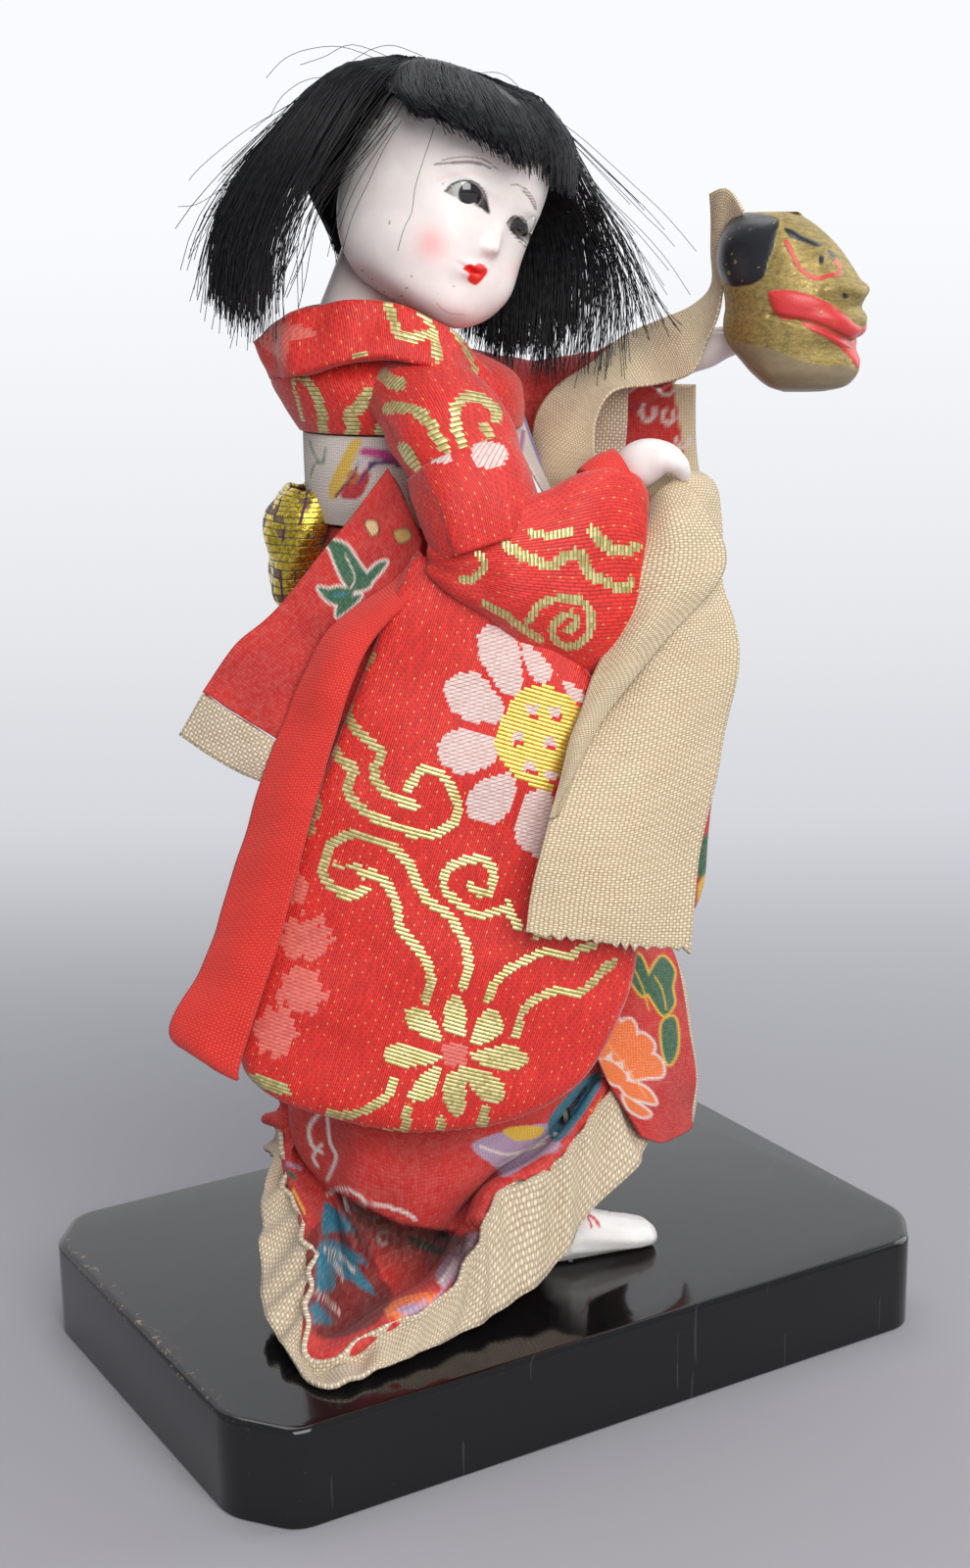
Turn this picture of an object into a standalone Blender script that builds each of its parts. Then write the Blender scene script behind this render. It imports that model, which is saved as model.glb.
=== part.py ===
"""Costume doll of a lion dance on a lacquered board.

The board lies along X. The figure is laid out in a frame turned about Z, whose first
direction runs along the hang of the sleeves and whose second runs from the near side of
the figure to the far side. Points are shares of the figure's height above the board.
"""

import math

import bmesh
import bpy
from mathutils import Matrix, Vector
from mathutils.bvhtree import BVHTree

# board
board_length = 0.120
board_width = 0.080
board_height = 0.015
corner_along = 0.0064
corner_across = 0.0084
corner_round = 0.0028
top_edge_round = 0.00105
foot_edge_round = 0.0004

# figure
figure_height = 0.178
figure_turn = math.radians(-31.0)
seat_gap = 0.0003
wire_radius = 0.0007
wire_sink = 0.0075
wire_rise = 0.010

# head
head_height = 0.0350
head_lean = math.radians(27.0)
face_turn = math.radians(42.0)
neck_radius = 0.0055
neck_length = 0.0150
neck_swell = 1.10
neck_lean = math.radians(20.0)
peg_radius = 0.0016
peg_length = 0.0200
neck_play = 0.0006
eye_radius = 0.0027
eye_slit_length = 0.0060
eye_slit_height = 0.0030
eye_slit_depth = 0.0060

# feet and hands
foot_length = 0.0192
foot_width = 0.0084
foot_height = 0.0068
shin_radius = 0.0029
shin_height = 0.0210
toe_gap = 0.0005
hand_length = 0.0108
hand_width = 0.0072
hand_thickness = 0.0050

# mask
mask_height = 0.0250
mask_width = 0.0200
mask_depth = 0.0218
mask_turn = math.radians(24.0)

# cloth
crepe_thickness = 0.0009
hem_thickness = 0.0012
ribbon_thickness = 0.0006
collar_thickness = 0.0020
hair_thickness = 0.0046
fringe_thickness = 0.0018
smooth_angle = math.radians(50.0)
flat_angle = math.radians(1.5)


def clear_scene():
    for old in list(bpy.data.objects):
        bpy.data.objects.remove(old, do_unlink=True)


# the turned frame

along = Vector((math.cos(figure_turn), math.sin(figure_turn), 0.0))
away = Vector((-math.sin(figure_turn), math.cos(figure_turn), 0.0))
upward = Vector((0.0, 0.0, 1.0))


def turned(first, second, third):
    return along * first + away * second + upward * third


def spot(share):
    """A point above the board, from its shares of the figure's height."""
    return turned(share[0], share[1], share[2]) * figure_height + upward * board_height


# smooth runs

def between(before, start, end, after, part):
    """One value on the smooth run from start to end."""
    square = part * part
    cube = square * part
    lead = 2.0 * start + (end - before) * part
    bend = (2.0 * before - 5.0 * start + 4.0 * end - after) * square
    return (lead + bend + (3.0 * start - before - 3.0 * end + after) * cube) / 2.0


def run(points, count, closed=False):
    """Count points along a smooth run through the given ones."""
    total = len(points)
    spans = total if closed else total - 1
    steps = count if closed else count - 1
    result = []
    for step in range(count):
        place = step * spans / steps
        first = min(int(place), spans - 1)
        part = place - first
        if closed:
            picks = [points[(first + shift) % total] for shift in (-1, 0, 1, 2)]
        else:
            picks = [points[max(0, min(total - 1, first + shift))] for shift in (-1, 0, 1, 2)]
        result.append(tuple(between(*values, part) for values in zip(*picks)))
    return result


def grid_of(rows, across, down, closed=False):
    """A smooth grid through rows of points: down rows of across points each."""
    fine = [run(row, across, closed) for row in rows]
    columns = [run(list(column), down) for column in zip(*fine)]
    return [list(row) for row in zip(*columns)]


# pieces

def paint(name, color, roughness, metallic=0.0):
    material = bpy.data.materials.new(name)
    material.use_nodes = True
    shader = material.node_tree.nodes["Principled BSDF"]
    shader.inputs["Base Color"].default_value = (*color, 1.0)
    shader.inputs["Roughness"].default_value = roughness
    shader.inputs["Metallic"].default_value = metallic
    material.diffuse_color = (*color, 1.0)
    return material


def piece_from(name, points, faces, material):
    mesh = bpy.data.meshes.new(name)
    mesh.from_pydata([tuple(point) for point in points], [], faces)
    piece = bpy.data.objects.new(name, mesh)
    bpy.context.scene.collection.objects.link(piece)
    mesh.materials.append(material)
    face_out(mesh)
    return piece


def face_out(mesh):
    work = bmesh.new()
    work.from_mesh(mesh)
    bmesh.ops.recalc_face_normals(work, faces=work.faces)
    if work.calc_volume(signed=True) < 0.0:
        bmesh.ops.reverse_faces(work, faces=work.faces)
    work.to_mesh(mesh)
    work.free()


def baked(piece):
    """The piece's mesh with its modifiers worked in."""
    graph = bpy.context.evaluated_depsgraph_get()
    mesh = bpy.data.meshes.new_from_object(piece.evaluated_get(graph))
    piece.modifiers.clear()
    piece.data = mesh
    return piece


def skin(rings, closed_ends=True):
    """Points and faces of closed rings joined one to the next, with the ends filled."""
    count = len(rings[0])
    points = [point for ring in rings for point in ring]
    faces = []
    for level in range(len(rings) - 1):
        for side in range(count):
            after = (side + 1) % count
            low = level * count
            high = low + count
            faces.append((low + side, low + after, high + after, high + side))
    if closed_ends:
        faces.append(tuple(reversed(range(count))))
        faces.append(tuple(range(len(points) - count, len(points))))
    return points, faces


def loft(name, rings, material):
    points, faces = skin(rings)
    return piece_from(name, points, faces, material)


def stack(name, rows, sides, levels, material):
    """Level ellipses, each from its middle and its two half widths."""
    rings = []
    for first, second, third, wide, deep in run(rows, levels):
        ring = []
        for side in range(sides):
            angle = math.tau * side / sides
            ring.append(spot((first + wide * math.cos(angle), second + deep * math.sin(angle), third)))
        rings.append(ring)
    return loft(name, rings, material)


def tube(name, rows, sides, levels, material):
    """A bent tube from its middle points, its half width and its half height."""
    fine = run(rows, levels)
    middles = [spot(row) for row in fine]
    rings = []
    for level, row in enumerate(fine):
        before = middles[max(0, level - 1)]
        after = middles[min(levels - 1, level + 1)]
        course = (after - before).normalized()
        flat = course.cross(upward)
        if flat.length < 0.2:
            flat = away.copy()
        flat.normalize()
        tall = flat.cross(course).normalized()
        ring = []
        for side in range(sides):
            angle = math.tau * side / sides
            wide = flat * (row[3] * figure_height * math.cos(angle))
            high = tall * (row[4] * figure_height * math.sin(angle))
            ring.append(middles[level] + wide + high)
        rings.append(ring)
    return loft(name, rings, material)


def rod(name, middles, radius, sides, material):
    rings = []
    for level, middle in enumerate(middles):
        before = middles[max(0, level - 1)]
        after = middles[min(len(middles) - 1, level + 1)]
        course = (after - before).normalized()
        flat = course.cross(away).normalized()
        tall = flat.cross(course).normalized()
        ring = []
        for side in range(sides):
            angle = math.tau * side / sides
            ring.append(middle + flat * (radius * math.cos(angle)) + tall * (radius * math.sin(angle)))
        rings.append(ring)
    return loft(name, rings, material)


def sheet(name, rows, across, down, thickness, material, closed=False):
    """Cloth with a thickness, through rows of points from its upper edge to its lower one."""
    grid = grid_of(rows, across, down, closed)
    points = [spot(share) for row in grid for share in row]
    faces = []
    spans = across if closed else across - 1
    for level in range(down - 1):
        for side in range(spans):
            after = (side + 1) % across
            low = level * across
            high = low + across
            faces.append((low + side, low + after, high + after, high + side))
    piece = piece_from(name, points, faces, material)
    solid = piece.modifiers.new("Thickness", "SOLIDIFY")
    solid.thickness = thickness
    solid.offset = 0.0
    solid.use_even_offset = True
    solid.thickness_clamp = 0.0
    baked(piece)
    face_out(piece.data)
    return piece


def lens(name, rows, sides, levels, material):
    """A hanging bag of cloth: each level runs from a left edge to a right one and swells between."""
    rings = []
    for left, right, third, near_left, near_right, half in run(rows, levels):
        ring = []
        for side in range(sides):
            angle = math.tau * side / sides
            part = (1.0 - math.cos(angle)) / 2.0
            swell = math.sin(angle)
            first = left + (right - left) * part
            second = near_left + (near_right - near_left) * part + half * swell
            ring.append(spot((first, second, third)))
        rings.append(ring)
    return loft(name, rings, material)


def tree_of(piece):
    mesh = piece.data
    corners = [vertex.co.copy() for vertex in mesh.vertices]
    return BVHTree.FromPolygons(corners, [tuple(face.vertices) for face in mesh.polygons])


def room_of(piece, gap):
    """The piece grown by a gap, as a cutter."""
    room = bpy.data.objects.new(piece.name + "_room", piece.data.copy())
    bpy.context.scene.collection.objects.link(room)
    grow = room.modifiers.new("Gap", "DISPLACE")
    grow.mid_level = 0.0
    grow.strength = gap
    grow.direction = "NORMAL"
    baked(room)
    room.hide_render = True
    room.display_type = "WIRE"
    return room


def tidy(mesh):
    """Keeps the largest closed body and faces it outward."""
    work = bmesh.new()
    work.from_mesh(mesh)
    bmesh.ops.dissolve_limit(work, angle_limit=flat_angle, verts=work.verts, edges=work.edges)
    seen = set()
    bodies = []
    for start in work.verts:
        if start in seen:
            continue
        body = [start]
        seen.add(start)
        for vertex in body:
            for edge in vertex.link_edges:
                other = edge.other_vert(vertex)
                if other not in seen:
                    seen.add(other)
                    body.append(other)
        bodies.append(body)
    bodies.sort(key=len)
    spare = [vertex for body in bodies[:-1] for vertex in body]
    bmesh.ops.delete(work, geom=spare, context="VERTS")
    bmesh.ops.triangulate(work, faces=work.faces)
    work.to_mesh(mesh)
    work.free()
    face_out(mesh)


def cut(piece, cutter):
    change = piece.modifiers.new("Cut", "BOOLEAN")
    change.operation = "DIFFERENCE"
    change.solver = "EXACT"
    change.object = cutter
    baked(piece)
    tidy(piece.data)


def join(piece, other):
    change = piece.modifiers.new("Join", "BOOLEAN")
    change.operation = "UNION"
    change.solver = "EXACT"
    change.object = other
    baked(piece)
    tidy(piece.data)
    bpy.data.objects.remove(other, do_unlink=True)


def inside(tree, point):
    """Whether a point lies inside a closed shape."""
    hits = 0
    start = point.copy()
    while hits < 50:
        place, _, _, _ = tree.ray_cast(start, upward)
        if place is None:
            return hits % 2 == 1
        hits += 1
        start = place + upward * (seat_gap / 100.0)
    return False


def make_way(pieces, gap):
    """Each piece gives way to those before it in the list, with a gap between them."""
    rooms = []
    for piece in pieces:
        next_room = room_of(piece, gap)
        for room, tree in rooms:
            mine = tree_of(piece)
            if mine.overlap(tree) or inside(mine, room.data.vertices[0].co):
                cut(piece, room)
        rooms.append((next_room, tree_of(next_room)))


clear_scene()

lacquer = paint("black_lacquer", (0.010, 0.010, 0.011), 0.10)
wire = paint("iron_wire", (0.35, 0.34, 0.32), 0.45, 1.0)
shell_white = paint("shell_white", (0.83, 0.78, 0.77), 0.42)
straw = paint("wood_wool", (0.62, 0.48, 0.28), 0.85)
peg_wood = paint("peg_wood", (0.60, 0.44, 0.27), 0.60)
eye_glass = paint("eye_glass", (0.02, 0.02, 0.025), 0.06)
silk_black = paint("black_silk", (0.012, 0.012, 0.014), 0.45)
brocade = paint("red_brocade", (0.72, 0.035, 0.030), 0.40)
crepe = paint("printed_crepe", (0.62, 0.045, 0.045), 0.80)
red_lining = paint("red_lining", (0.72, 0.030, 0.030), 0.60)
beige = paint("beige_silk", (0.72, 0.60, 0.40), 0.55)
gold_cloth = paint("gold_lame", (0.75, 0.55, 0.12), 0.30, 0.9)
pale_crepe = paint("pale_crepe", (0.72, 0.66, 0.62), 0.80)
mask_gold = paint("gold_paint", (0.36, 0.27, 0.10), 0.45, 0.6)

# board: an eight-sided slab with rounded corners and edges

def board_outline():
    """The slab's outline, with each of its eight corners rounded."""
    half_long = board_length / 2.0
    half_wide = board_width / 2.0
    corners = []
    for sign_x, sign_y in ((1, 1), (-1, 1), (-1, -1), (1, -1)):
        side_end = Vector((sign_x * half_long, sign_y * (half_wide - corner_across)))
        end_end = Vector((sign_x * (half_long - corner_along), sign_y * half_wide))
        pair = (side_end, end_end) if sign_x * sign_y > 0 else (end_end, side_end)
        corners.extend(pair)
    outline = []
    for place, corner in enumerate(corners):
        back = (corners[place - 1] - corner).normalized()
        ahead = (corners[(place + 1) % len(corners)] - corner).normalized()
        start = corner + back * corner_round
        end = corner + ahead * corner_round
        for part in (0.0, 0.5, 1.0):
            rest = 1.0 - part
            outline.append(start * (rest * rest) + corner * (2.0 * rest * part) + end * (part * part))
    return outline


def edge_steps(radius, lower):
    """Insets and heights of a rounded edge."""
    steps = []
    for part in (0.0, 0.33, 0.67, 1.0):
        angle = part * math.pi / 2.0
        inset = radius * (1.0 - math.sin(angle)) if lower else radius * (1.0 - math.cos(angle))
        rise = radius * (1.0 - math.cos(angle)) if lower else radius * math.sin(angle)
        steps.append((inset, rise))
    return steps


def make_board():
    outline = board_outline()
    rings = []
    steps = [(inset, rise) for inset, rise in edge_steps(foot_edge_round, True)[::3]]
    top = board_height - top_edge_round
    steps += [(inset, top + rise) for inset, rise in edge_steps(top_edge_round, False)]
    for inset, height in steps:
        ring = []
        for point in outline:
            ring.append(Vector((
                point.x * (1.0 - 2.0 * inset / board_length),
                point.y * (1.0 - 2.0 * inset / board_width),
                height,
            )))
        rings.append(ring)
    return loft("base_board", rings, lacquer)


base_board = make_board()

# leg wires: from their bores in the board through the feet into the body

leg_right_shares = [
    (0.074, -0.068, 0.118), (0.039, -0.056, 0.264), (-0.011, -0.037, 0.449), (-0.034, -0.028, 0.545),
]
leg_left_shares = [
    (0.011, 0.062, 0.118), (-0.006, 0.056, 0.264), (-0.028, 0.039, 0.449), (-0.039, 0.028, 0.545),
]


def make_leg(name, shares):
    bend = [spot(share) for share in shares]
    ankle = bend[0]
    sunk = Vector((ankle.x, ankle.y, board_height - wire_sink))
    shelf = Vector((ankle.x, ankle.y, board_height + wire_rise / 2.0))
    top = bend[-1] + (bend[-1] - bend[-2]).normalized() * wire_rise
    middles = [Vector(point) for point in run([tuple(point) for point in bend + [top]], 8)]
    return rod(name, [sunk, shelf] + middles, wire_radius, 6, wire)


leg_wire_right = make_leg("leg_wire_right", leg_right_shares)
leg_wire_left = make_leg("leg_wire_left", leg_left_shares)

# feet: a split-toed sock moulded with the shin

foot_shares = [
    (0.00, 0.26, 0.62),
    (0.05, 0.50, 0.95),
    (0.18, 0.74, 1.16),
    (0.34, 0.82, 1.24),
    (0.50, 0.86, 1.04),
    (0.66, 0.94, 0.86),
    (0.80, 1.00, 0.74),
    (0.92, 0.84, 0.62),
    (1.00, 0.40, 0.40),
]
ankle_share = 0.26
toe_turn_right = math.radians(22.0)
toe_turn_left = math.radians(10.0)
toe_split_share = 0.12
toe_split_from_share = 0.78
foot_steps = 10


def make_foot(name, shares, turn, toe_side):
    ankle = spot(shares[0])
    course = turned(math.cos(turn), math.sin(turn), 0.0)
    side_way = turned(-math.sin(turn), math.cos(turn), 0.0)
    floor = Vector((ankle.x, ankle.y, board_height + seat_gap))
    heel = floor - course * (foot_length * ankle_share)
    rings = []
    for reach, wide, tall in foot_shares:
        ring = []
        for step in range(foot_steps):
            angle = math.tau * step / foot_steps
            high = (1.0 + math.sin(angle)) / 2.0
            sideways = math.cos(angle) * (1.0 if high < 0.5 else math.cos((high - 0.5) * 0.9))
            rise = foot_height * tall * (high if high > 0.12 else 0.0)
            middle = heel + course * (foot_length * reach)
            ring.append(middle + side_way * (foot_width / 2.0 * wide * sideways) + upward * rise)
        rings.append(ring)
    foot = loft(name, rings, shell_white)
    shin_rings = []
    for rise_share in (0.10, 0.30, 0.70, 1.0):
        radius = shin_radius * (1.12 - 0.12 * rise_share)
        middle = floor + upward * (shin_height * rise_share)
        shin_rings.append([
            middle + course * (radius * math.cos(math.tau * step / foot_steps))
            + side_way * (radius * math.sin(math.tau * step / foot_steps))
            for step in range(foot_steps)
        ])
    join(foot, loft(name + "_shin", shin_rings, shell_white))
    split_from = heel + course * (foot_length * toe_split_from_share)
    split_from += side_way * (foot_width * toe_split_share * toe_side)
    reach = foot_length * (1.0 - toe_split_from_share) + foot_width
    block = []
    for ahead, aside in ((0.0, -1.0), (0.0, 1.0), (1.0, 1.0), (1.0, -1.0)):
        block.append(split_from + course * (reach * ahead) + side_way * (toe_gap / 2.0 * aside))
    low = [point + upward * (foot_height / 4.0) for point in block]
    high = [point + upward * (foot_height * 2.0) for point in block]
    splitter = loft(name + "_split", [low, high], shell_white)
    splitter.hide_render = True
    splitter.display_type = "WIRE"
    cut(foot, splitter)
    return foot


right_foot = make_foot("right_foot", leg_right_shares, toe_turn_right, 1.0)
left_foot = make_foot("left_foot", leg_left_shares, toe_turn_left, -1.0)

# body under the clothes

torso_shares = [
    (-0.045, 0.000, 0.551, 0.048, 0.042),
    (-0.048, 0.000, 0.590, 0.062, 0.053),
    (-0.053, 0.000, 0.657, 0.067, 0.059),
    (-0.062, 0.000, 0.725, 0.070, 0.062),
    (-0.076, 0.006, 0.758, 0.062, 0.053),
    (-0.087, 0.011, 0.778, 0.045, 0.039),
]
torso_core = stack("torso_core", torso_shares, 16, 7, straw)

# head: placed by its middle, leaning and turned

head_middle_share = (-0.026, 0.003, 0.889)
neck_foot_share = (-0.094, 0.017, 0.792)


def head_frame():
    lean = Matrix.Rotation(head_lean, 3, "Y")
    turn = Matrix.Rotation(face_turn, 3, "Z")
    forward = lean @ (turn @ Vector((0.0, -1.0, 0.0)))
    top = lean @ Vector((0.0, 0.0, 1.0))
    side = forward.cross(top)
    columns = [turned(*axis) for axis in (side, forward, top)]
    frame = Matrix([list(column) for column in columns]).transposed().to_4x4()
    frame.translation = spot(head_middle_share)
    return frame


head_place = head_frame()
neck_axis = turned(math.sin(neck_lean), 0.0, math.cos(neck_lean))
neck_foot = spot(neck_foot_share)

# levels from the chin to the crown: height, half width, reach of the face, reach of the back
skull_shares = [
    (-0.495, 0.075, 0.340, -0.180),
    (-0.470, 0.180, 0.385, -0.080),
    (-0.400, 0.280, 0.418, 0.020),
    (-0.280, 0.352, 0.430, 0.180),
    (-0.130, 0.388, 0.424, 0.330),
    (0.040, 0.392, 0.410, 0.420),
    (0.200, 0.384, 0.392, 0.450),
    (0.330, 0.345, 0.350, 0.415),
    (0.430, 0.255, 0.262, 0.320),
    (0.485, 0.125, 0.138, 0.165),
    (0.500, 0.030, 0.035, 0.040),
]
head_sides = 28
head_levels = 18
# bumps of the face: place across, place up, width, height, rise
bump_shares = [
    (0.000, -0.045, 0.040, 0.060, 0.030),
    (0.000, -0.085, 0.050, 0.030, 0.038),
    (0.000, -0.215, 0.055, 0.030, 0.018),
    (0.190, -0.170, 0.120, 0.110, 0.020),
    (-0.190, -0.170, 0.120, 0.110, 0.020),
    (0.160, 0.045, 0.075, 0.045, -0.012),
    (-0.160, 0.045, 0.075, 0.045, -0.012),
    (0.000, -0.400, 0.090, 0.070, 0.014),
]
eye_place_shares = [(0.155, 0.286, 0.070), (-0.155, 0.286, 0.070)]


def make_head():
    rings = []
    for height, half, front, rear in run(skull_shares, head_levels):
        ring = []
        for side in range(head_sides):
            angle = math.tau * side / head_sides
            across = half * math.cos(angle)
            reach = math.sin(angle) * (front if math.sin(angle) > 0.0 else rear)
            if math.sin(angle) > 0.3:
                for at_x, at_z, wide, tall, rise in bump_shares:
                    off = ((across - at_x) / wide) ** 2 + ((height - at_z) / tall) ** 2
                    reach += rise * math.exp(-off)
            ring.append(head_place @ (Vector((across, reach, height)) * head_height))
        rings.append(ring)
    head = loft("head", rings, shell_white)
    neck_rings = []
    neck_top = neck_foot + neck_axis * neck_length
    for part in (0.0, 0.12, 0.4, 0.7, 1.0):
        radius = neck_radius * (1.0 + (neck_swell - 1.0) * (1.0 - part) ** 2)
        middle = neck_foot.lerp(neck_top, part)
        flat = neck_axis.cross(away).normalized()
        neck_rings.append([
            middle + flat * (radius * math.cos(math.tau * step / 16))
            + away * (radius * math.sin(math.tau * step / 16))
            for step in range(16)
        ])
    join(head, loft("neck", neck_rings, shell_white))
    return head


def make_eye(name, shares):
    across, reach, height = shares
    middle = head_place @ (Vector((across, reach, height)) * head_height)
    mesh = bpy.data.meshes.new(name)
    work = bmesh.new()
    bmesh.ops.create_uvsphere(work, u_segments=12, v_segments=8, radius=eye_radius)
    work.to_mesh(mesh)
    work.free()
    mesh.transform(head_place.to_3x3().to_4x4())
    mesh.transform(Matrix.Translation(middle))
    mesh.materials.append(eye_glass)
    eye = bpy.data.objects.new(name, mesh)
    bpy.context.scene.collection.objects.link(eye)
    return eye


def make_slit(shares, slant):
    """An almond that opens the face in front of an eye."""
    across, reach, height = shares
    rings = []
    for ahead in (0.0, eye_slit_depth):
        ring = []
        for step in range(16):
            angle = math.tau * step / 16
            width = eye_slit_length / 2.0 * math.cos(angle)
            rise = eye_slit_height / 2.0 * math.sin(angle) * abs(math.sin(angle)) ** 0.3
            rise += width * slant
            local = Vector((across, reach, height)) * head_height
            ring.append(head_place @ (local + Vector((width, ahead, rise))))
        rings.append(ring)
    slit = loft("slit", rings, eye_glass)
    slit.hide_render = True
    slit.display_type = "WIRE"
    return slit


head = make_head()
eye_right = make_eye("eye_right", eye_place_shares[0])
eye_left = make_eye("eye_left", eye_place_shares[1])
slit_slant = 0.10
cut(head, make_slit(eye_place_shares[0], slit_slant))
cut(head, make_slit(eye_place_shares[1], -slit_slant))

peg_from = neck_foot + neck_axis * (neck_length / 2.0 - peg_length)
neck_peg = rod("neck_peg", [peg_from, peg_from + neck_axis * peg_length], peg_radius, 12, peg_wood)

# hair: pieces of silk on the skull, each from the crown to its ends

fringe_shares = [
    [
        (-0.060, 0.011, 0.991), (-0.041, -0.000, 0.994), (-0.022, -0.006, 0.992),
        (-0.002, -0.000, 0.986), (0.016, 0.017, 0.977), (0.032, 0.034, 0.967),
    ],
    [
        (-0.063, -0.039, 0.970), (-0.043, -0.062, 0.974), (-0.018, -0.067, 0.972),
        (0.011, -0.051, 0.964), (0.037, -0.022, 0.952), (0.053, 0.011, 0.946),
    ],
    [
        (-0.064, -0.067, 0.948), (-0.041, -0.090, 0.956), (-0.010, -0.098, 0.951),
        (0.024, -0.081, 0.938), (0.050, -0.051, 0.925), (0.065, -0.006, 0.920),
    ],
    [
        (-0.062, -0.076, 0.928), (-0.032, -0.098, 0.942), (0.003, -0.107, 0.933), (0.034, -0.093, 0.918),
        (0.055, -0.062, 0.903), (0.066, -0.022, 0.894),
    ],
]
hair_right_shares = [
    [(-0.057, -0.022, 0.986), (-0.061, -0.000, 0.991), (-0.054, 0.022, 0.996), (-0.040, 0.039, 0.994)],
    [(-0.062, -0.067, 0.958), (-0.090, -0.045, 0.970), (-0.105, 0.022, 0.974), (-0.094, 0.067, 0.974)],
    [(-0.080, -0.084, 0.922), (-0.115, -0.067, 0.930), (-0.143, -0.000, 0.932), (-0.142, 0.067, 0.932)],
    [(-0.106, -0.079, 0.891), (-0.134, -0.067, 0.887), (-0.166, -0.006, 0.888), (-0.168, 0.067, 0.889)],
    [(-0.114, -0.062, 0.846), (-0.144, -0.056, 0.846), (-0.183, -0.006, 0.849), (-0.179, 0.062, 0.848)],
    [(-0.116, -0.048, 0.819), (-0.146, -0.053, 0.818), (-0.186, -0.006, 0.823), (-0.182, 0.056, 0.822)],
]
hair_back_shares = [
    [(-0.046, 0.022, 0.994), (-0.034, 0.028, 0.995), (-0.021, 0.028, 0.991), (-0.006, 0.028, 0.985)],
    [(-0.091, 0.073, 0.975), (-0.061, 0.084, 0.977), (-0.029, 0.084, 0.974), (0.003, 0.073, 0.965)],
    [(-0.142, 0.084, 0.935), (-0.107, 0.129, 0.941), (-0.057, 0.140, 0.940), (-0.002, 0.118, 0.934)],
    [(-0.166, 0.079, 0.890), (-0.130, 0.135, 0.888), (-0.076, 0.152, 0.886), (-0.010, 0.135, 0.889)],
    [(-0.176, 0.073, 0.848), (-0.138, 0.124, 0.846), (-0.081, 0.140, 0.841), (-0.014, 0.129, 0.841)],
    [(-0.182, 0.067, 0.820), (-0.141, 0.112, 0.813), (-0.083, 0.124, 0.807), (-0.014, 0.112, 0.800)],
]
hair_left_shares = [
    [(-0.009, 0.034, 0.987), (0.000, 0.028, 0.984), (0.010, 0.022, 0.979), (0.019, 0.011, 0.973)],
    [(0.002, 0.079, 0.967), (0.027, 0.067, 0.963), (0.048, 0.051, 0.954), (0.060, 0.028, 0.944)],
    [(-0.002, 0.124, 0.933), (0.040, 0.096, 0.927), (0.075, 0.067, 0.914), (0.092, 0.034, 0.901)],
    [(-0.010, 0.140, 0.889), (0.045, 0.112, 0.877), (0.098, 0.073, 0.864), (0.127, 0.039, 0.851)],
    [(-0.012, 0.124, 0.840), (0.048, 0.087, 0.823), (0.107, 0.045, 0.817), (0.145, 0.022, 0.814)],
    [(-0.011, 0.096, 0.794), (0.043, 0.045, 0.754), (0.100, 0.018, 0.756), (0.161, 0.012, 0.792)],
]
hair_right = sheet("hair_right", hair_right_shares, 6, 7, hair_thickness, silk_black)
hair_back = sheet("hair_back", hair_back_shares, 6, 7, hair_thickness, silk_black)
hair_left = sheet("hair_left", hair_left_shares, 6, 7, hair_thickness, silk_black)
hair_fringe = sheet("hair_fringe", fringe_shares, 8, 5, fringe_thickness, silk_black)

# hands: a mitt of four fingers with a thumb

hand_shares = [
    (0.00, 0.50, 0.70, 0.00),
    (0.18, 0.52, 0.72, 0.02),
    (0.40, 0.86, 0.98, 0.04),
    (0.60, 1.00, 1.00, 0.00),
    (0.80, 0.94, 0.80, -0.10),
    (0.94, 0.76, 0.60, -0.26),
    (1.00, 0.40, 0.36, -0.36),
]


def make_hand(name, wrist_share, course, palm):
    """A cupped hand: course runs from the wrist to the fingers, palm is the way it bends."""
    wrist = spot(wrist_share)
    course = course.normalized()
    side_way = course.cross(palm).normalized()
    palm = side_way.cross(course).normalized()
    rings = []
    for reach, wide, thick, bend in run(hand_shares, 8):
        middle = wrist + course * (hand_length * reach) - palm * (hand_length * bend)
        ring = []
        for step in range(10):
            angle = math.tau * step / 10
            sideways = side_way * (hand_width / 2.0 * wide * math.cos(angle))
            ring.append(middle + sideways + palm * (hand_thickness / 2.0 * thick * math.sin(angle)))
        rings.append(ring)
    return loft(name, rings, shell_white)


right_wrist_share = (0.108, -0.100, 0.689)
left_wrist_share = (0.188, 0.025, 0.769)
right_hand = make_hand("right_hand", right_wrist_share, turned(0.95, 0.05, 0.10), turned(0.1, 0.0, -1.0))
left_hand = make_hand("left_hand", left_wrist_share, turned(1.0, -0.30, 0.18), turned(0.0, -1.0, 0.1))

# arm wires

arm_right_shares = [
    (-0.062, -0.034, 0.730), (-0.028, -0.067, 0.728), (-0.006, -0.107, 0.697), (0.011, -0.129, 0.657),
    (0.051, -0.124, 0.657), (0.087, -0.110, 0.676), (0.127, -0.100, 0.693),
]
arm_left_shares = [
    (-0.062, 0.034, 0.730), (-0.022, 0.076, 0.731), (0.045, 0.109, 0.727), (0.107, 0.096, 0.738),
    (0.157, 0.053, 0.761), (0.208, 0.020, 0.774),
]
arm_wire_right = rod(
    "arm_wire_right", [spot(point) for point in run(arm_right_shares, 13)], wire_radius, 6, wire
)
arm_wire_left = rod(
    "arm_wire_left", [spot(point) for point in run(arm_left_shares, 11)], wire_radius, 6, wire
)

# lion mask: a moulded head held in the left hand

mask_middle_share = (0.256, -0.006, 0.806)
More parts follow.
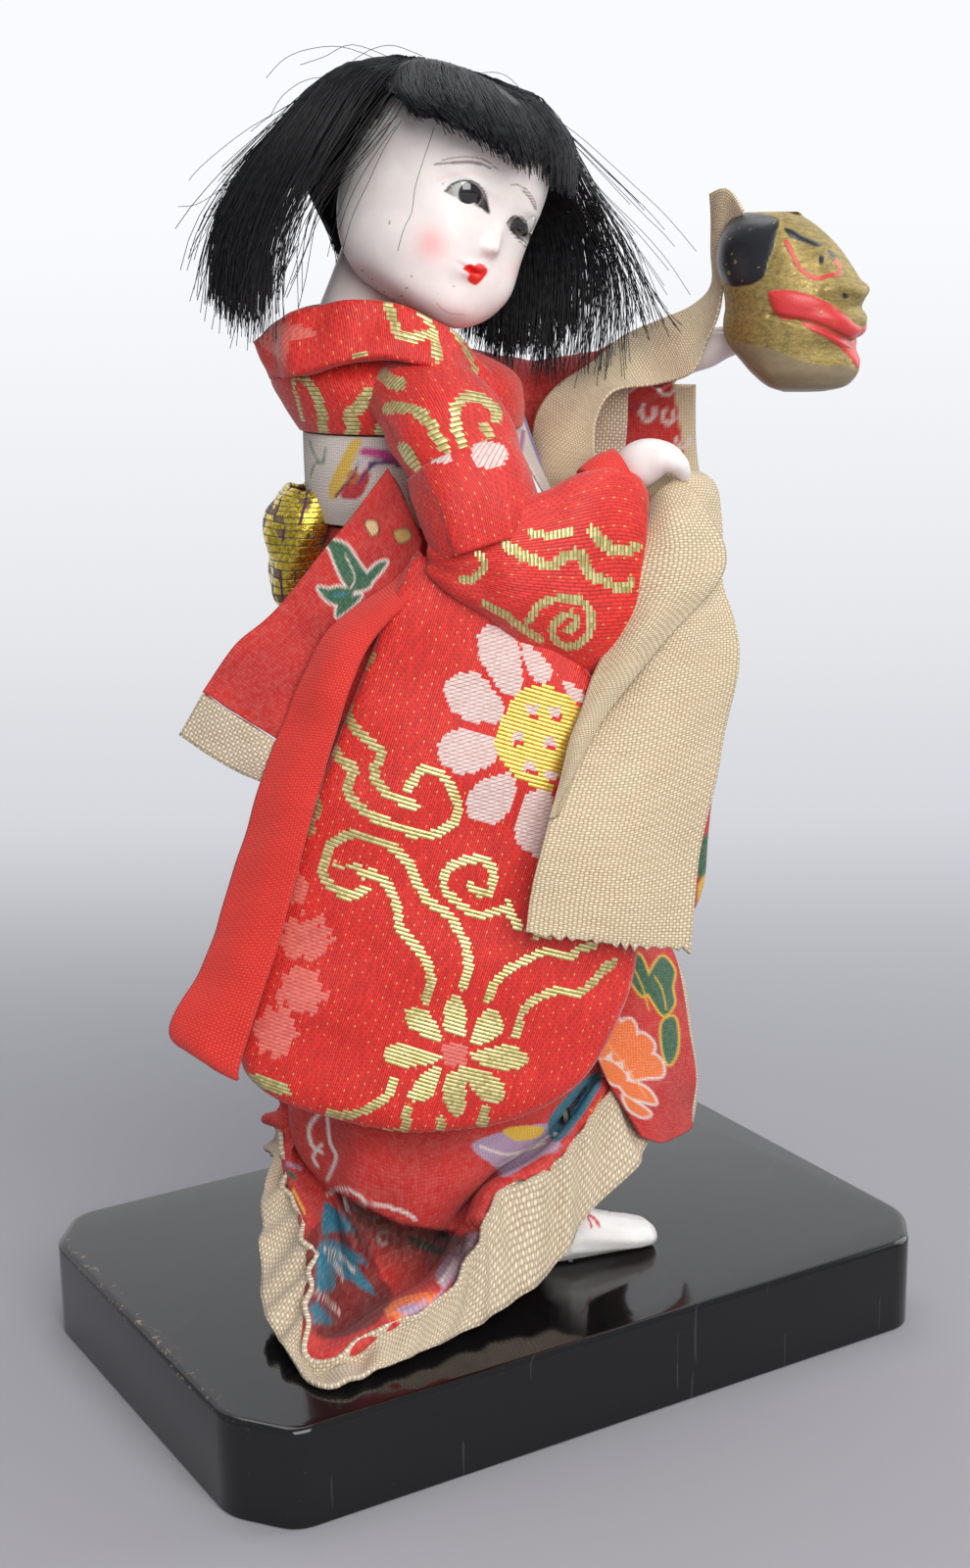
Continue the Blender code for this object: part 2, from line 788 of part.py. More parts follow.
# levels from the jaw to the crown: height, half width, reach of the face, reach of the back
mask_shares = [
    (-0.500, 0.160, 0.250, -0.020),
    (-0.470, 0.300, 0.380, 0.120),
    (-0.400, 0.400, 0.450, 0.230),
    (-0.330, 0.440, 0.455, 0.310),
    (-0.245, 0.465, 0.415, 0.400),
    (-0.160, 0.475, 0.475, 0.440),
    (-0.090, 0.480, 0.500, 0.440),
    (-0.030, 0.480, 0.462, 0.430),
    (0.050, 0.480, 0.492, 0.440),
    (0.130, 0.470, 0.440, 0.470),
    (0.230, 0.450, 0.360, 0.490),
    (0.340, 0.410, 0.250, 0.480),
    (0.430, 0.340, 0.120, 0.440),
    (0.480, 0.240, 0.000, 0.390),
    (0.500, 0.120, -0.100, 0.320),
]


def make_mask():
    middle = spot(mask_middle_share)
    face = turned(math.cos(mask_turn), -math.sin(mask_turn), 0.0)
    side_way = turned(math.sin(mask_turn), math.cos(mask_turn), 0.0)
    rings = []
    for height, half, front, rear in run(mask_shares, 16):
        ring = []
        for step in range(18):
            angle = math.tau * step / 18
            reach = math.cos(angle) * (front if math.cos(angle) > 0.0 else rear)
            sideways = math.sin(angle) * half
            ring.append(
                middle + face * (mask_depth * reach) + side_way * (mask_width * sideways)
                + upward * (mask_height * height)
            )
        rings.append(ring)
    return loft("lion_mask", rings, mask_gold)


lion_mask = make_mask()

# clothes at the waist and chest

waist_shares = [
    (-0.048, 0.000, 0.636, 0.083, 0.071),
    (-0.049, 0.000, 0.657, 0.088, 0.074),
    (-0.051, 0.000, 0.685, 0.088, 0.075),
    (-0.052, 0.000, 0.708, 0.087, 0.075),
]
chest_shares = [
    (-0.052, 0.000, 0.710, 0.090, 0.078),
    (-0.055, 0.000, 0.730, 0.093, 0.082),
    (-0.062, 0.003, 0.758, 0.092, 0.082),
    (-0.087, 0.009, 0.778, 0.064, 0.063),
    (-0.099, 0.017, 0.788, 0.046, 0.046),
]
waist_wrap = stack("waist_wrap", waist_shares, 20, 4, pale_crepe)
kimono_body = stack("kimono_body", chest_shares, 20, 6, brocade)
neck_room = neck_radius * neck_swell + neck_play
neck_run = [neck_foot - neck_axis * neck_length, neck_foot + neck_axis * neck_length]
neck_opening = rod("neck_opening", neck_run, neck_room, 20, peg_wood)
neck_opening.hide_render = True
neck_opening.display_type = "WIRE"
cut(kimono_body, neck_opening)

knot_shares = [
    (-0.149, 0.011, 0.561, 0.017, 0.031),
    (-0.158, 0.011, 0.579, 0.026, 0.045),
    (-0.161, 0.011, 0.612, 0.029, 0.049),
    (-0.153, 0.011, 0.640, 0.027, 0.046),
    (-0.143, 0.011, 0.658, 0.018, 0.034),
]
obi_knot = stack("obi_knot", knot_shares, 14, 6, gold_cloth)

# collar and under-collar: upright bands, each from its upper edge to its lower one

collar_shares = [
    [
        (0.008, 0.037, 0.756), (-0.022, 0.053, 0.781), (-0.067, 0.062, 0.801), (-0.118, 0.053, 0.804),
        (-0.157, 0.022, 0.792), (-0.171, -0.017, 0.782), (-0.140, -0.051, 0.801), (-0.112, -0.067, 0.810),
        (-0.070, -0.078, 0.811), (-0.032, -0.080, 0.798), (-0.010, -0.065, 0.779), (0.013, -0.034, 0.747),
        (0.029, -0.006, 0.727),
    ],
    [
        (0.003, 0.043, 0.736), (-0.028, 0.067, 0.756), (-0.067, 0.076, 0.772), (-0.118, 0.070, 0.775),
        (-0.155, 0.034, 0.770), (-0.165, -0.022, 0.763), (-0.142, -0.067, 0.761), (-0.108, -0.087, 0.770),
        (-0.066, -0.096, 0.770), (-0.032, -0.096, 0.760), (-0.012, -0.079, 0.742), (0.007, -0.048, 0.722),
        (0.022, -0.017, 0.706),
    ],
]
collar = sheet("collar", collar_shares, 26, 3, collar_thickness, brocade)
cut(collar, neck_opening)

under_collar_shares = [
    [(0.013, -0.017, 0.744), (0.024, -0.011, 0.715), (0.041, -0.022, 0.684), (0.056, -0.034, 0.656)],
    [(0.033, 0.011, 0.737), (0.042, 0.017, 0.711), (0.053, 0.006, 0.682), (0.065, -0.011, 0.658)],
]
under_collar = sheet("under_collar", under_collar_shares, 6, 3, crepe_thickness, pale_crepe)

# skirt: a train of printed crepe with a rolled hem and its lining turned out below

waist_ring_shares = [
    (0.028, 0.000, 0.633), (0.023, 0.025, 0.633), (0.008, 0.047, 0.633), (-0.012, 0.062, 0.633),
    (-0.037, 0.069, 0.633), (-0.063, 0.068, 0.633), (-0.088, 0.060, 0.633), (-0.108, 0.043, 0.633),
    (-0.121, 0.021, 0.633), (-0.125, 0.000, 0.633), (-0.121, -0.020, 0.633), (-0.113, -0.037, 0.633),
    (-0.100, -0.051, 0.633), (-0.084, -0.061, 0.633), (-0.065, -0.067, 0.633), (-0.045, -0.069, 0.633),
    (-0.026, -0.066, 0.633), (-0.008, -0.058, 0.633), (0.010, -0.045, 0.633), (0.024, -0.025, 0.633),
]
hip_ring_shares = [
    (0.067, 0.000, 0.433), (0.060, 0.042, 0.433), (0.036, 0.073, 0.433), (0.006, 0.093, 0.433),
    (-0.030, 0.101, 0.433), (-0.067, 0.098, 0.433), (-0.101, 0.081, 0.433), (-0.125, 0.056, 0.433),
    (-0.136, 0.028, 0.433), (-0.139, 0.000, 0.433), (-0.135, -0.028, 0.433), (-0.124, -0.054, 0.433),
    (-0.106, -0.075, 0.433), (-0.084, -0.090, 0.433), (-0.060, -0.099, 0.433), (-0.034, -0.101, 0.433),
    (-0.008, -0.097, 0.433), (0.018, -0.084, 0.433), (0.043, -0.062, 0.433), (0.061, -0.033, 0.433),
]
knee_ring_shares = [
    (0.096, 0.000, 0.242), (0.087, 0.054, 0.230), (0.058, 0.096, 0.219), (0.017, 0.120, 0.213),
    (-0.028, 0.127, 0.208), (-0.073, 0.121, 0.208), (-0.112, 0.101, 0.208), (-0.140, 0.067, 0.213),
    (-0.155, 0.031, 0.219), (-0.160, -0.006, 0.225), (-0.153, -0.045, 0.219), (-0.138, -0.075, 0.208),
    (-0.116, -0.098, 0.197), (-0.087, -0.111, 0.197), (-0.055, -0.116, 0.197), (-0.022, -0.113, 0.202),
    (0.009, -0.104, 0.213), (0.039, -0.088, 0.225), (0.067, -0.063, 0.236), (0.088, -0.033, 0.242),
]
shin_ring_shares = [
    (0.110, -0.003, 0.174), (0.104, 0.056, 0.140), (0.078, 0.107, 0.118), (0.031, 0.136, 0.107),
    (-0.022, 0.144, 0.101), (-0.075, 0.138, 0.101), (-0.121, 0.113, 0.107), (-0.154, 0.074, 0.124),
    (-0.167, 0.029, 0.140), (-0.170, -0.019, 0.146), (-0.159, -0.073, 0.128), (-0.128, -0.107, 0.126),
    (-0.102, -0.140, 0.124), (-0.071, -0.152, 0.117), (-0.036, -0.146, 0.117), (-0.003, -0.129, 0.120),
    (0.022, -0.110, 0.128), (0.052, -0.087, 0.141), (0.078, -0.062, 0.161), (0.094, -0.039, 0.170),
]
lower_ring_shares = [
    (0.115, -0.003, 0.146), (0.111, 0.056, 0.107), (0.085, 0.107, 0.079), (0.039, 0.138, 0.062),
    (-0.017, 0.148, 0.056), (-0.074, 0.144, 0.056), (-0.125, 0.119, 0.062), (-0.160, 0.076, 0.084),
    (-0.174, 0.026, 0.112), (-0.178, -0.028, 0.124), (-0.153, -0.096, 0.096), (-0.128, -0.140, 0.078),
    (-0.113, -0.191, 0.045), (-0.081, -0.191, 0.056), (-0.050, -0.174, 0.060), (-0.021, -0.157, 0.084),
    (0.000, -0.132, 0.102), (0.045, -0.107, 0.118), (0.079, -0.076, 0.142), (0.099, -0.051, 0.158),
]
hem_ring_shares = [
    (0.118, -0.003, 0.129), (0.115, 0.056, 0.090), (0.090, 0.108, 0.059), (0.043, 0.140, 0.039),
    (-0.015, 0.152, 0.031), (-0.074, 0.147, 0.031), (-0.127, 0.122, 0.039), (-0.164, 0.079, 0.062),
    (-0.179, 0.024, 0.096), (-0.175, -0.045, 0.112), (-0.166, -0.090, 0.085), (-0.140, -0.174, 0.057),
    (-0.136, -0.258, 0.010), (-0.076, -0.242, 0.029), (-0.030, -0.208, 0.040), (-0.006, -0.174, 0.069),
    (0.009, -0.140, 0.093), (0.054, -0.112, 0.104), (0.087, -0.079, 0.131), (0.109, -0.051, 0.149),
]
skirt_shares = [
    waist_ring_shares, hip_ring_shares, knee_ring_shares,
    shin_ring_shares, lower_ring_shares, hem_ring_shares,
]
skirt_folds = 7
fold_depth_shares = (0.0, 0.004, 0.009, 0.012, 0.013, 0.013)
fold_span_shares = (0.06, 0.48)


def folded(ring, depth_share, count):
    """A ring with upright folds on the side that the sleeves leave open."""
    fine = run(ring, count, closed=True)
    middle = [sum(values) / count for values in zip(*fine)]
    result = []
    for step, point in enumerate(fine):
        place = (step / count - fold_span_shares[0]) / (fold_span_shares[1] - fold_span_shares[0])
        if 0.0 < place < 1.0:
            fade = math.sin(math.pi * place) ** 0.5
            push = depth_share * fade * math.sin(math.tau * skirt_folds * place)
            first = point[0] - middle[0]
            second = point[1] - middle[1]
            size = math.hypot(first, second)
            point = (point[0] + push * first / size, point[1] + push * second / size, point[2])
        result.append(point)
    return result


skirt_turns = 44
skirt_rows = [folded(ring, depth, skirt_turns) for ring, depth in zip(skirt_shares, fold_depth_shares)]
skirt = sheet("skirt", skirt_rows, skirt_turns, 8, hem_thickness, crepe, closed=True)

lining_upper_shares = [
    (0.113, -0.003, 0.120), (0.110, 0.055, 0.081), (0.085, 0.104, 0.051), (0.040, 0.136, 0.031),
    (-0.015, 0.146, 0.022), (-0.073, 0.142, 0.022), (-0.124, 0.118, 0.031), (-0.161, 0.076, 0.053),
    (-0.175, 0.024, 0.087), (-0.175, -0.045, 0.101), (-0.166, -0.090, 0.074), (-0.145, -0.174, 0.047),
    (-0.136, -0.261, 0.000), (-0.076, -0.244, 0.020), (-0.029, -0.210, 0.031), (-0.002, -0.176, 0.060),
    (0.015, -0.144, 0.086), (0.059, -0.115, 0.097), (0.094, -0.081, 0.122), (0.114, -0.053, 0.141),
]
lining_lower_shares = [
    (0.133, -0.017, 0.093), (0.126, 0.048, 0.058), (0.101, 0.101, 0.028), (0.051, 0.138, 0.013),
    (-0.012, 0.152, 0.008), (-0.075, 0.148, 0.008), (-0.130, 0.126, 0.012), (-0.170, 0.087, 0.028),
    (-0.185, 0.026, 0.056), (-0.183, -0.051, 0.096), (-0.187, -0.096, 0.065), (-0.178, -0.197, 0.021),
    (-0.126, -0.290, 0.007), (-0.081, -0.267, 0.007), (-0.039, -0.233, 0.008), (-0.006, -0.206, 0.011),
    (0.026, -0.174, 0.018), (0.058, -0.144, 0.031), (0.092, -0.110, 0.067), (0.134, -0.074, 0.092),
]
lining_rows = [
    folded(ring, fold_depth_shares[-1], skirt_turns) for ring in (lining_upper_shares, lining_lower_shares)
]
skirt_lining = sheet("skirt_lining", lining_rows, skirt_turns, 3, crepe_thickness, beige, closed=True)

# front panel: the overlap of the skirt, with its lining behind its edge

panel_shares = [
    [(0.037, -0.037, 0.628), (0.043, -0.006, 0.628), (0.039, 0.026, 0.628)],
    [(0.074, -0.053, 0.466), (0.089, -0.014, 0.466), (0.088, 0.028, 0.466)],
    [(0.103, -0.059, 0.320), (0.129, -0.022, 0.320), (0.137, 0.020, 0.320)],
    [(0.108, -0.051, 0.261), (0.138, -0.034, 0.255), (0.170, 0.011, 0.239)],
    [(0.095, -0.062, 0.200), (0.137, -0.045, 0.193), (0.181, 0.011, 0.180)],
    [(0.104, -0.067, 0.168), (0.142, -0.051, 0.150), (0.188, 0.011, 0.129)],
    [(0.136, -0.062, 0.110), (0.157, -0.039, 0.095), (0.184, 0.011, 0.088)],
]
front_panel = sheet("front_panel", panel_shares, 5, 10, crepe_thickness, crepe)
panel_lining_shares = [
    [(0.092, 0.028, 0.410), (0.084, 0.047, 0.410)],
    [(0.139, 0.022, 0.298), (0.130, 0.044, 0.298)],
    [(0.171, 0.015, 0.238), (0.174, 0.037, 0.231)],
    [(0.182, 0.015, 0.179), (0.186, 0.037, 0.171)],
    [(0.188, 0.015, 0.128), (0.192, 0.037, 0.119)],
    [(0.184, 0.015, 0.088), (0.188, 0.034, 0.082)],
]
panel_lining = sheet("panel_lining", panel_lining_shares, 2, 9, crepe_thickness, beige)

# right sleeve: upper part, folded band, forearm with its cuff, and the long hanging bag

sleeve_upper_shares = [
    (-0.051, -0.051, 0.742, 0.039, 0.031),
    (-0.034, -0.076, 0.734, 0.045, 0.037),
    (-0.020, -0.099, 0.717, 0.047, 0.038),
    (-0.010, -0.115, 0.697, 0.046, 0.037),
    (-0.002, -0.122, 0.678, 0.046, 0.036),
]
right_sleeve_upper = tube("right_sleeve_upper", sleeve_upper_shares, 14, 6, brocade)
sleeve_band_shares = [
    (-0.009, -0.120, 0.693, 0.048, 0.038),
    (-0.001, -0.126, 0.674, 0.052, 0.040),
    (0.007, -0.130, 0.648, 0.052, 0.040),
    (0.012, -0.134, 0.629, 0.048, 0.037),
]
right_sleeve_band = tube("right_sleeve_band", sleeve_band_shares, 14, 5, brocade)

# stations along the forearm: middle, half depth and half height
forearm_shares = [
    (-0.035, -0.149, 0.624, 0.009, 0.011),
    (-0.017, -0.149, 0.619, 0.020, 0.025),
    (0.011, -0.147, 0.615, 0.027, 0.042),
    (0.045, -0.142, 0.610, 0.029, 0.058),
    (0.079, -0.133, 0.607, 0.029, 0.074),
    (0.104, -0.124, 0.607, 0.027, 0.080),
    (0.124, -0.117, 0.604, 0.020, 0.074),
    (0.133, -0.115, 0.602, 0.009, 0.062),
]


def upright_loft(name, rows, sides, levels, material):
    """Upright rings along a level course, from each ring's middle, half depth and half height."""
    rings = []
    for first, second, third, deep, tall in run(rows, levels):
        ring = []
        for step in range(sides):
            angle = math.tau * step / sides
            ring.append(spot((first, second + deep * math.cos(angle), third + tall * math.sin(angle))))
        rings.append(ring)
    return loft(name, rings, material)


right_forearm_sleeve = upright_loft("right_forearm_sleeve", forearm_shares, 14, 9, brocade)
cuff_shares = [
    (0.097, -0.109, 0.672, 0.020, 0.022),
    (0.112, -0.104, 0.679, 0.022, 0.026),
    (0.129, -0.101, 0.683, 0.020, 0.024),
]
right_cuff_lining = tube("right_cuff_lining", cuff_shares, 12, 3, red_lining)

# levels of the hanging bag: left edge, right edge, height, depth at each edge, half swell
bag_shares = [
    (-0.048, -0.017, 0.624, -0.146, -0.144, 0.004),
    (-0.064, 0.022, 0.593, -0.148, -0.143, 0.010),
    (-0.081, 0.073, 0.551, -0.154, -0.142, 0.015),
    (-0.108, 0.110, 0.486, -0.161, -0.143, 0.019),
    (-0.130, 0.124, 0.427, -0.165, -0.146, 0.022),
    (-0.154, 0.127, 0.354, -0.169, -0.149, 0.026),
    (-0.176, 0.121, 0.287, -0.173, -0.154, 0.028),
    (-0.191, 0.099, 0.230, -0.178, -0.161, 0.028),
    (-0.165, 0.074, 0.199, -0.182, -0.167, 0.025),
    (-0.109, 0.038, 0.179, -0.184, -0.172, 0.017),
    (-0.064, 0.004, 0.170, -0.184, -0.175, 0.007),
]
right_hanging_sleeve = lens("right_hanging_sleeve", bag_shares, 18, 14, brocade)

facing_shares = [
    [(-0.043, -0.137, 0.627), (-0.041, -0.142, 0.624), (-0.038, -0.146, 0.621)],
    [(-0.063, -0.136, 0.604), (-0.057, -0.147, 0.598), (-0.050, -0.156, 0.592)],
    [(-0.118, -0.140, 0.560), (-0.102, -0.157, 0.560), (-0.084, -0.165, 0.556)],
    [(-0.158, -0.148, 0.477), (-0.135, -0.166, 0.479), (-0.113, -0.175, 0.479)],
    [(-0.194, -0.157, 0.375), (-0.166, -0.176, 0.387), (-0.138, -0.185, 0.394)],
    [(-0.214, -0.163, 0.316), (-0.187, -0.182, 0.320), (-0.160, -0.193, 0.322)],
    [(-0.246, -0.171, 0.255), (-0.218, -0.191, 0.251), (-0.188, -0.202, 0.242)],
    [(-0.226, -0.178, 0.234), (-0.209, -0.191, 0.229), (-0.191, -0.200, 0.221)],
]
right_sleeve_lining = sheet("right_sleeve_lining", facing_shares, 4, 11, crepe_thickness, red_lining)

# back flap: the long under-sleeve with its beige end

flap_shares = [
    [(-0.067, -0.098, 0.686), (-0.054, -0.109, 0.661), (-0.040, -0.118, 0.632)],
    [(-0.103, -0.103, 0.640), (-0.079, -0.117, 0.612), (-0.055, -0.127, 0.584)],
    [(-0.158, -0.112, 0.577), (-0.119, -0.127, 0.548), (-0.078, -0.137, 0.522)],
    [(-0.189, -0.117, 0.550), (-0.149, -0.133, 0.522), (-0.105, -0.143, 0.494)],
    [(-0.215, -0.121, 0.515), (-0.182, -0.136, 0.496), (-0.146, -0.145, 0.476)],
]
flap_end_shares = [
    [(-0.215, -0.122, 0.514), (-0.182, -0.137, 0.495), (-0.147, -0.146, 0.474)],
    [(-0.225, -0.123, 0.497), (-0.191, -0.138, 0.478), (-0.159, -0.146, 0.459)],
    [(-0.234, -0.124, 0.481), (-0.201, -0.138, 0.462), (-0.170, -0.145, 0.449)],
]
flap_thickness = 0.0020
back_flap = sheet("back_flap", flap_shares, 4, 8, flap_thickness, crepe)
back_flap_lining = sheet("back_flap_lining", flap_end_shares, 4, 3, flap_thickness, beige)

# left sleeve, its hanging bag and the lining at its mouth

left_arm_shares = [
    (-0.051, 0.059, 0.743, 0.031, 0.030),
    (-0.011, 0.089, 0.734, 0.035, 0.033),
    (0.045, 0.113, 0.722, 0.034, 0.031),
    (0.101, 0.106, 0.730, 0.033, 0.031),
    (0.146, 0.074, 0.747, 0.028, 0.030),
    (0.178, 0.044, 0.762, 0.024, 0.028),
]
left_sleeve = tube("left_sleeve", left_arm_shares, 12, 7, crepe)
left_bag_shares = [
    (0.081, 0.185, 0.730, 0.104, 0.070, 0.008),
    (0.073, 0.192, 0.680, 0.104, 0.079, 0.015),
    (0.062, 0.206, 0.601, 0.104, 0.084, 0.018),
    (0.054, 0.218, 0.522, 0.104, 0.087, 0.020),
    (0.048, 0.213, 0.433, 0.107, 0.088, 0.022),
    (0.046, 0.206, 0.343, 0.109, 0.089, 0.024),
    (0.051, 0.201, 0.287, 0.111, 0.090, 0.021),
    (0.067, 0.185, 0.253, 0.112, 0.093, 0.015),
    (0.096, 0.157, 0.239, 0.112, 0.098, 0.007),
]
left_hanging_sleeve = lens("left_hanging_sleeve", left_bag_shares, 14, 10, crepe)
left_facing_shares = [
    [(0.096, 0.054, 0.742), (0.112, 0.048, 0.739), (0.129, 0.047, 0.737)],
    [(0.088, 0.064, 0.680), (0.107, 0.062, 0.680), (0.127, 0.063, 0.680)],
    [(0.073, 0.072, 0.601), (0.096, 0.071, 0.601), (0.116, 0.071, 0.601)],
    [(0.062, 0.075, 0.500), (0.084, 0.073, 0.500), (0.107, 0.072, 0.500)],
    [(0.056, 0.081, 0.388), (0.079, 0.076, 0.388), (0.101, 0.072, 0.388)],
]
left_sleeve_lining = sheet("left_sleeve_lining", left_facing_shares, 3, 8, crepe_thickness, beige)

# mask cloth: one ribbon from behind the mask, over the left arm, through the right hand and down

ribbon_shares = [
    [(0.192, 0.017, 0.890), (0.205, 0.006, 0.895), (0.218, -0.006, 0.878)],
    [(0.197, 0.028, 0.850), (0.200, 0.017, 0.854), (0.204, 0.011, 0.850)],
    [(0.199, 0.039, 0.819), (0.205, 0.028, 0.811), (0.209, 0.017, 0.798)],
    [(0.186, 0.051, 0.801), (0.200, 0.039, 0.786), (0.206, 0.028, 0.766)],
    [(0.158, 0.062, 0.790), (0.176, 0.039, 0.770), (0.180, 0.022, 0.746)],
    [(0.125, 0.073, 0.776), (0.139, 0.039, 0.759), (0.149, 0.017, 0.740)],
    [(0.098, 0.062, 0.754), (0.104, 0.034, 0.746), (0.114, 0.011, 0.735)],
    [(0.068, 0.051, 0.734), (0.086, 0.017, 0.725), (0.099, -0.006, 0.712)],
    [(0.051, 0.034, 0.710), (0.071, -0.000, 0.698), (0.097, -0.022, 0.692)],
    [(0.051, 0.006, 0.677), (0.071, -0.022, 0.673), (0.100, -0.045, 0.681)],
    [(0.072, -0.034, 0.655), (0.087, -0.051, 0.666), (0.111, -0.067, 0.680)],
    [(0.103, -0.075, 0.668), (0.112, -0.078, 0.674), (0.125, -0.079, 0.681)],
    [(0.137, -0.098, 0.660), (0.143, -0.102, 0.665), (0.152, -0.104, 0.670)],
    [(0.139, -0.115, 0.641), (0.155, -0.124, 0.647), (0.176, -0.104, 0.650)],
    [(0.123, -0.125, 0.594), (0.157, -0.137, 0.603), (0.195, -0.104, 0.612)],
    [(0.091, -0.138, 0.520), (0.139, -0.146, 0.528), (0.205, -0.110, 0.538)],
    [(0.061, -0.188, 0.446), (0.122, -0.172, 0.445), (0.192, -0.121, 0.460)],
    [(0.044, -0.207, 0.390), (0.106, -0.191, 0.383), (0.176, -0.138, 0.384)],
    [(0.035, -0.211, 0.346), (0.098, -0.197, 0.331), (0.167, -0.149, 0.306)],
]
mask_cloth = sheet("mask_cloth", ribbon_shares, 5, 36, ribbon_thickness, beige)

# what lies further in comes first, and the rest makes way for it

fixed_order = [
    leg_wire_right, leg_wire_left, arm_wire_right, arm_wire_left, base_board,
    right_foot, left_foot, neck_peg, eye_right, eye_left, head,
    hair_right, hair_left, hair_back, hair_fringe,
    torso_core, right_hand, left_hand, lion_mask, waist_wrap, kimono_body, collar, under_collar,
    right_sleeve_band, right_sleeve_upper, right_cuff_lining, right_forearm_sleeve,
    left_sleeve, skirt, skirt_lining, front_panel, panel_lining, obi_knot,
    mask_cloth, right_hanging_sleeve, right_sleeve_lining, back_flap, back_flap_lining,
    left_sleeve_lining, left_hanging_sleeve,
]
make_way(fixed_order, seat_gap)

# the head turns on its peg

neck_pivot = bpy.data.objects.new("neck_pivot", None)
neck_pivot.location = neck_foot
bpy.context.scene.collection.objects.link(neck_pivot)
for mover in (neck_peg, head, eye_right, eye_left, hair_right, hair_back, hair_left, hair_fringe):
    mover.data.transform(Matrix.Translation(-neck_foot))
    mover.parent = neck_pivot

for shown in fixed_order:
    shown.data.shade_smooth()
    shown.data.set_sharp_from_angle(angle=smooth_angle)
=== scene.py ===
# a dressed doll of the lion dance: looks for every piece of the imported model
import math

import bmesh
import bpy
import numpy as np
from mathutils import Matrix, Vector

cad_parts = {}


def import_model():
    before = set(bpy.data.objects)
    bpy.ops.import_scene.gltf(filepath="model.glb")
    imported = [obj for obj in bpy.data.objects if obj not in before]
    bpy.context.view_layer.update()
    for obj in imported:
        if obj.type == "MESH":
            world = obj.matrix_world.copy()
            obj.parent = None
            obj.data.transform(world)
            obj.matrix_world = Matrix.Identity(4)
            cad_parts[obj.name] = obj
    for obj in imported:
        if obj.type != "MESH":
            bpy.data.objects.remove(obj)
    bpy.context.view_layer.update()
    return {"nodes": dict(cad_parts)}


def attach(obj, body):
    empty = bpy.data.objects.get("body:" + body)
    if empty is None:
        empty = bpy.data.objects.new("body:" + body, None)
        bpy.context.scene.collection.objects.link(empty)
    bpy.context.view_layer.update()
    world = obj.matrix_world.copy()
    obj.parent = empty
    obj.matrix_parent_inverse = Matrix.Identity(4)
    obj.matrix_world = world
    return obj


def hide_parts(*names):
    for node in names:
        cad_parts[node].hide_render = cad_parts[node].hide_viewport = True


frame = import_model()
print("frame loaded")

# the doll's own frame, in millimetres: right along the sleeves, away from the viewer, up
doll = {"turn": -31.0}
turn = math.radians(doll["turn"])
rightWay = np.array([math.cos(turn), math.sin(turn), 0.0])
awayWay = np.array([-math.sin(turn), math.cos(turn), 0.0])
upWay = np.array([0.0, 0.0, 1.0])
mm = 0.001

# the photograph's camera, fitted to the board's corners
photo = {
    "width": 990, "height": 1600, "lens": 50.83, "sensor": 36.0,
    "azimuth": -31.02, "elevation": 14.093, "roll": -0.7047, "place": (-0.16668, -0.27900, 0.16914),
}


def cameraAxes():
    angle, lift, roll = [math.radians(photo[name]) for name in ("azimuth", "elevation", "roll")]
    back = np.array([math.sin(angle) * math.cos(lift), -math.cos(angle) * math.cos(lift), math.sin(lift)])
    side = np.array([math.cos(angle), math.sin(angle), 0.0])
    top = np.cross(back, side)
    return math.cos(roll) * side + math.sin(roll) * top, math.cos(roll) * top - math.sin(roll) * side, back


def world(points):
    points = np.asarray(points, float)
    return (points[..., :1] * rightWay + points[..., 1:2] * awayWay + points[..., 2:3] * upWay) * mm


def seen(points):
    # where points of the world, in metres, fall in the photograph, in its pixels
    side, top, back = cameraAxes()
    offset = np.asarray(points) - np.array(photo["place"])
    zoom = photo["lens"] / photo["sensor"] * photo["height"]
    depth = -(offset @ back)
    return photo["width"] / 2 + zoom * (offset @ side) / depth, photo["height"] / 2 - zoom * (offset @ top) / depth


# smooth runs and grids

def smoothRun(points, count, closed=False):
    points = np.asarray(points, float)
    total = len(points)
    spans = total if closed else total - 1
    place = np.arange(count) * spans / (count if closed else count - 1)
    first = np.minimum(place.astype(int), spans - 1)
    part = (place - first).reshape((-1,) + (1,) * (points.ndim - 1))
    picks = [(first + shift) % total if closed else np.clip(first + shift, 0, total - 1) for shift in (-1, 0, 1, 2)]
    before, start, end, after = [points[pick] for pick in picks]
    bend = (2 * before - 5 * start + 4 * end - after) * part**2
    return (2 * start + (end - before) * part + bend + (3 * start - before - 3 * end + after) * part**3) / 2


def evenRun(points, count, closed=False):
    # the same run with its steps all about as long, and its length
    dense = smoothRun(points, 20 * len(points), closed)
    if closed:
        dense = np.concatenate([dense, dense[:1]])
    steps = np.linalg.norm(np.diff(dense[..., :3], axis=0), axis=-1)
    steps = steps.reshape(len(steps), -1).mean(1)
    length = np.concatenate([[0.0], np.cumsum(steps)])
    wanted = np.linspace(0.0, length[-1], count + 1)[:-1] if closed else np.linspace(0.0, length[-1], count)
    index = np.interp(wanted, length, np.arange(len(length)))
    low = np.minimum(index.astype(int), len(length) - 2)
    part = (index - low).reshape((-1,) + (1,) * (dense.ndim - 1))
    return dense[low] * (1 - part) + dense[low + 1] * part, length[-1]


def clothGrid(rows, cell, closed=False):
    # a grid through rows of points, its cells about cell = (across, down) in size, and its flat size
    rows = np.array(rows, float).reshape(len(rows), -1, 3)
    down, long = evenRun(rows, 8 * len(rows))
    across, wide = evenRun(np.swapaxes(down, 0, 1), 12, closed)
    acrossCount = max(4, round(wide / cell[0])) + (0 if closed else 1)
    down, long = evenRun(rows, max(3, round(long / cell[1])) + 1)
    across, wide = evenRun(np.swapaxes(down, 0, 1), acrossCount, closed)
    return np.swapaxes(across, 0, 1), (wide, long)


